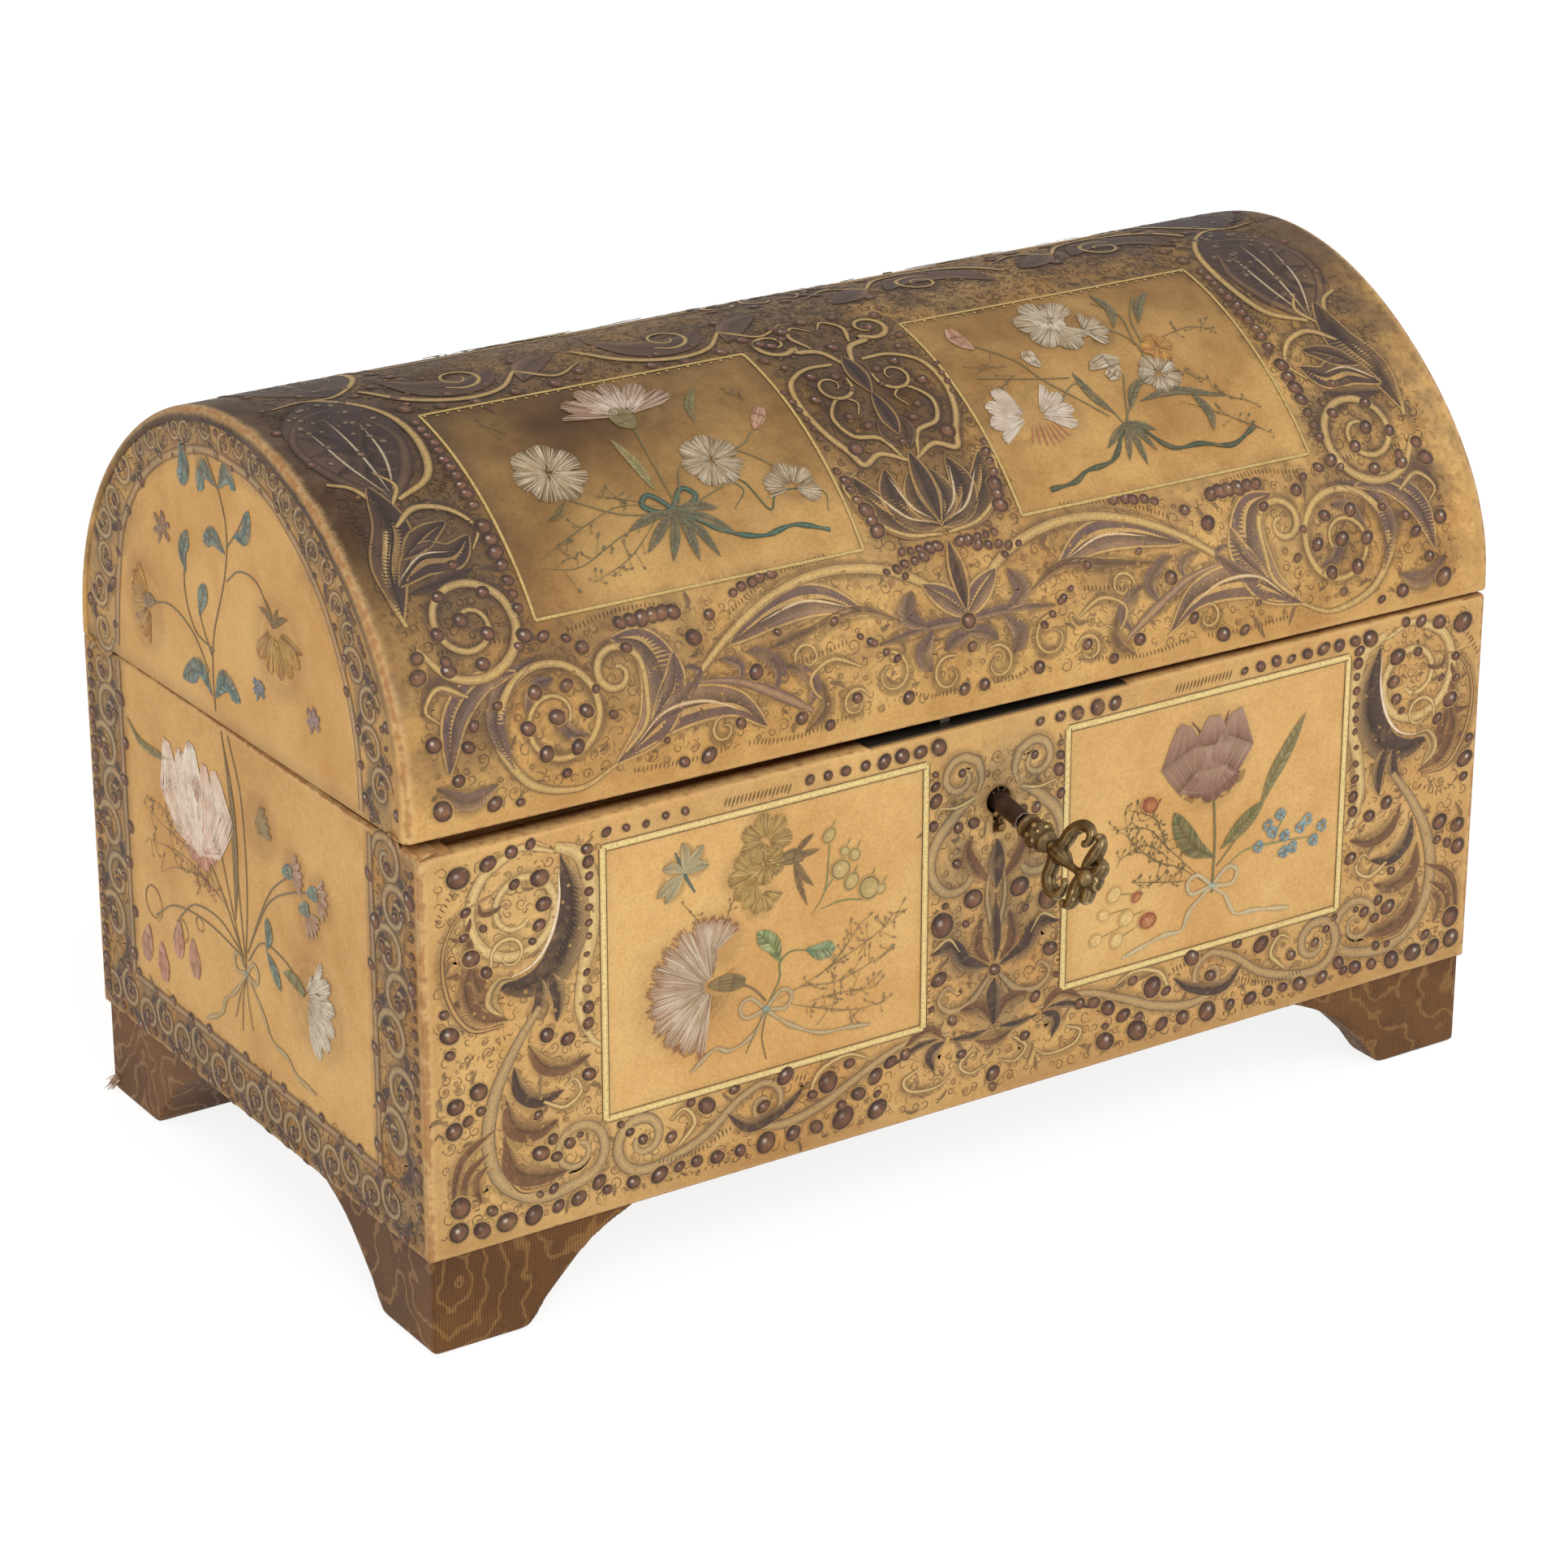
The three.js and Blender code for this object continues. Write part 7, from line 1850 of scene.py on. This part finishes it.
world = bpy.data.worlds.new("studio")
bpy.context.scene.world = world
world.use_nodes = True
tree = world.node_tree
plain = tree.nodes["Background"]
plain.inputs["Color"].default_value = (1, 0.96, 0.9, 1)
plain.inputs["Strength"].default_value = 0.62
white = tree.nodes.new("ShaderNodeBackground")
white.inputs["Strength"].default_value = 1.0
chosen = tree.nodes.new("ShaderNodeMixShader")
seen = studio_white(tree)
tree.links.new(seen.outputs[0], chosen.inputs[0])
tree.links.new(plain.outputs[0], chosen.inputs[1])
tree.links.new(white.outputs[0], chosen.inputs[2])
tree.links.new(chosen.outputs[0], tree.nodes["World Output"].inputs["Surface"])

floor_mesh = bpy.data.meshes.new("floor")
reach = 4.0
floor_mesh.from_pydata([(-reach, -reach, 0), (reach, -reach, 0), (reach, reach, 0), (-reach, reach, 0)], [],
    [(0, 1, 2, 3)])
floor = bpy.data.objects.new("floor", floor_mesh)
bpy.context.scene.collection.objects.link(floor)
pale = bpy.data.materials.new("floor")
pale.use_nodes = True
tree = pale.node_tree
diffuse = tree.nodes["Principled BSDF"]
diffuse.inputs["Base Color"].default_value = (0.86, 0.86, 0.86, 1)
diffuse.inputs["Roughness"].default_value = 1.0
diffuse.inputs["Specular IOR Level"].default_value = 0.0
faint = tree.nodes.new("ShaderNodeBsdfDiffuse")
faint.inputs["Color"].default_value = (0.2, 0.2, 0.2, 1)
glow = tree.nodes.new("ShaderNodeEmission")
glow.inputs["Strength"].default_value = 0.86
add = tree.nodes.new("ShaderNodeAddShader")
mix = tree.nodes.new("ShaderNodeMixShader")
seen = studio_white(tree)
tree.links.new(faint.outputs[0], add.inputs[0])
tree.links.new(glow.outputs[0], add.inputs[1])
tree.links.new(seen.outputs[0], mix.inputs[0])
tree.links.new(diffuse.outputs[0], mix.inputs[1])
tree.links.new(add.outputs[0], mix.inputs[2])
tree.links.new(mix.outputs[0], tree.nodes["Material Output"].inputs["Surface"])
floor_mesh.materials.append(pale)


def lamp(name, place, size, power, tone=(1, 1, 1)):
    light = bpy.data.lights.new(name, "AREA")
    light.color = tone
    light.size = size
    light.energy = power
    holder = bpy.data.objects.new(name, light)
    bpy.context.scene.collection.objects.link(holder)
    holder.location = place
    holder.rotation_euler = (Vector((0, 0, 0.09)) - Vector(place)).to_track_quat("-Z", "Y").to_euler()


lamp("key_lamp", (-0.5, -1.5, 1.5), 1.3, 22)
lamp("fill_lamp", (1.4, -0.8, 0.9), 1.2, 6)
lamp("left_lamp", (-1.6, 0.2, 0.7), 1.2, 6, (1, 0.84, 0.6))

bpy.context.scene.view_settings.view_transform = "Standard"
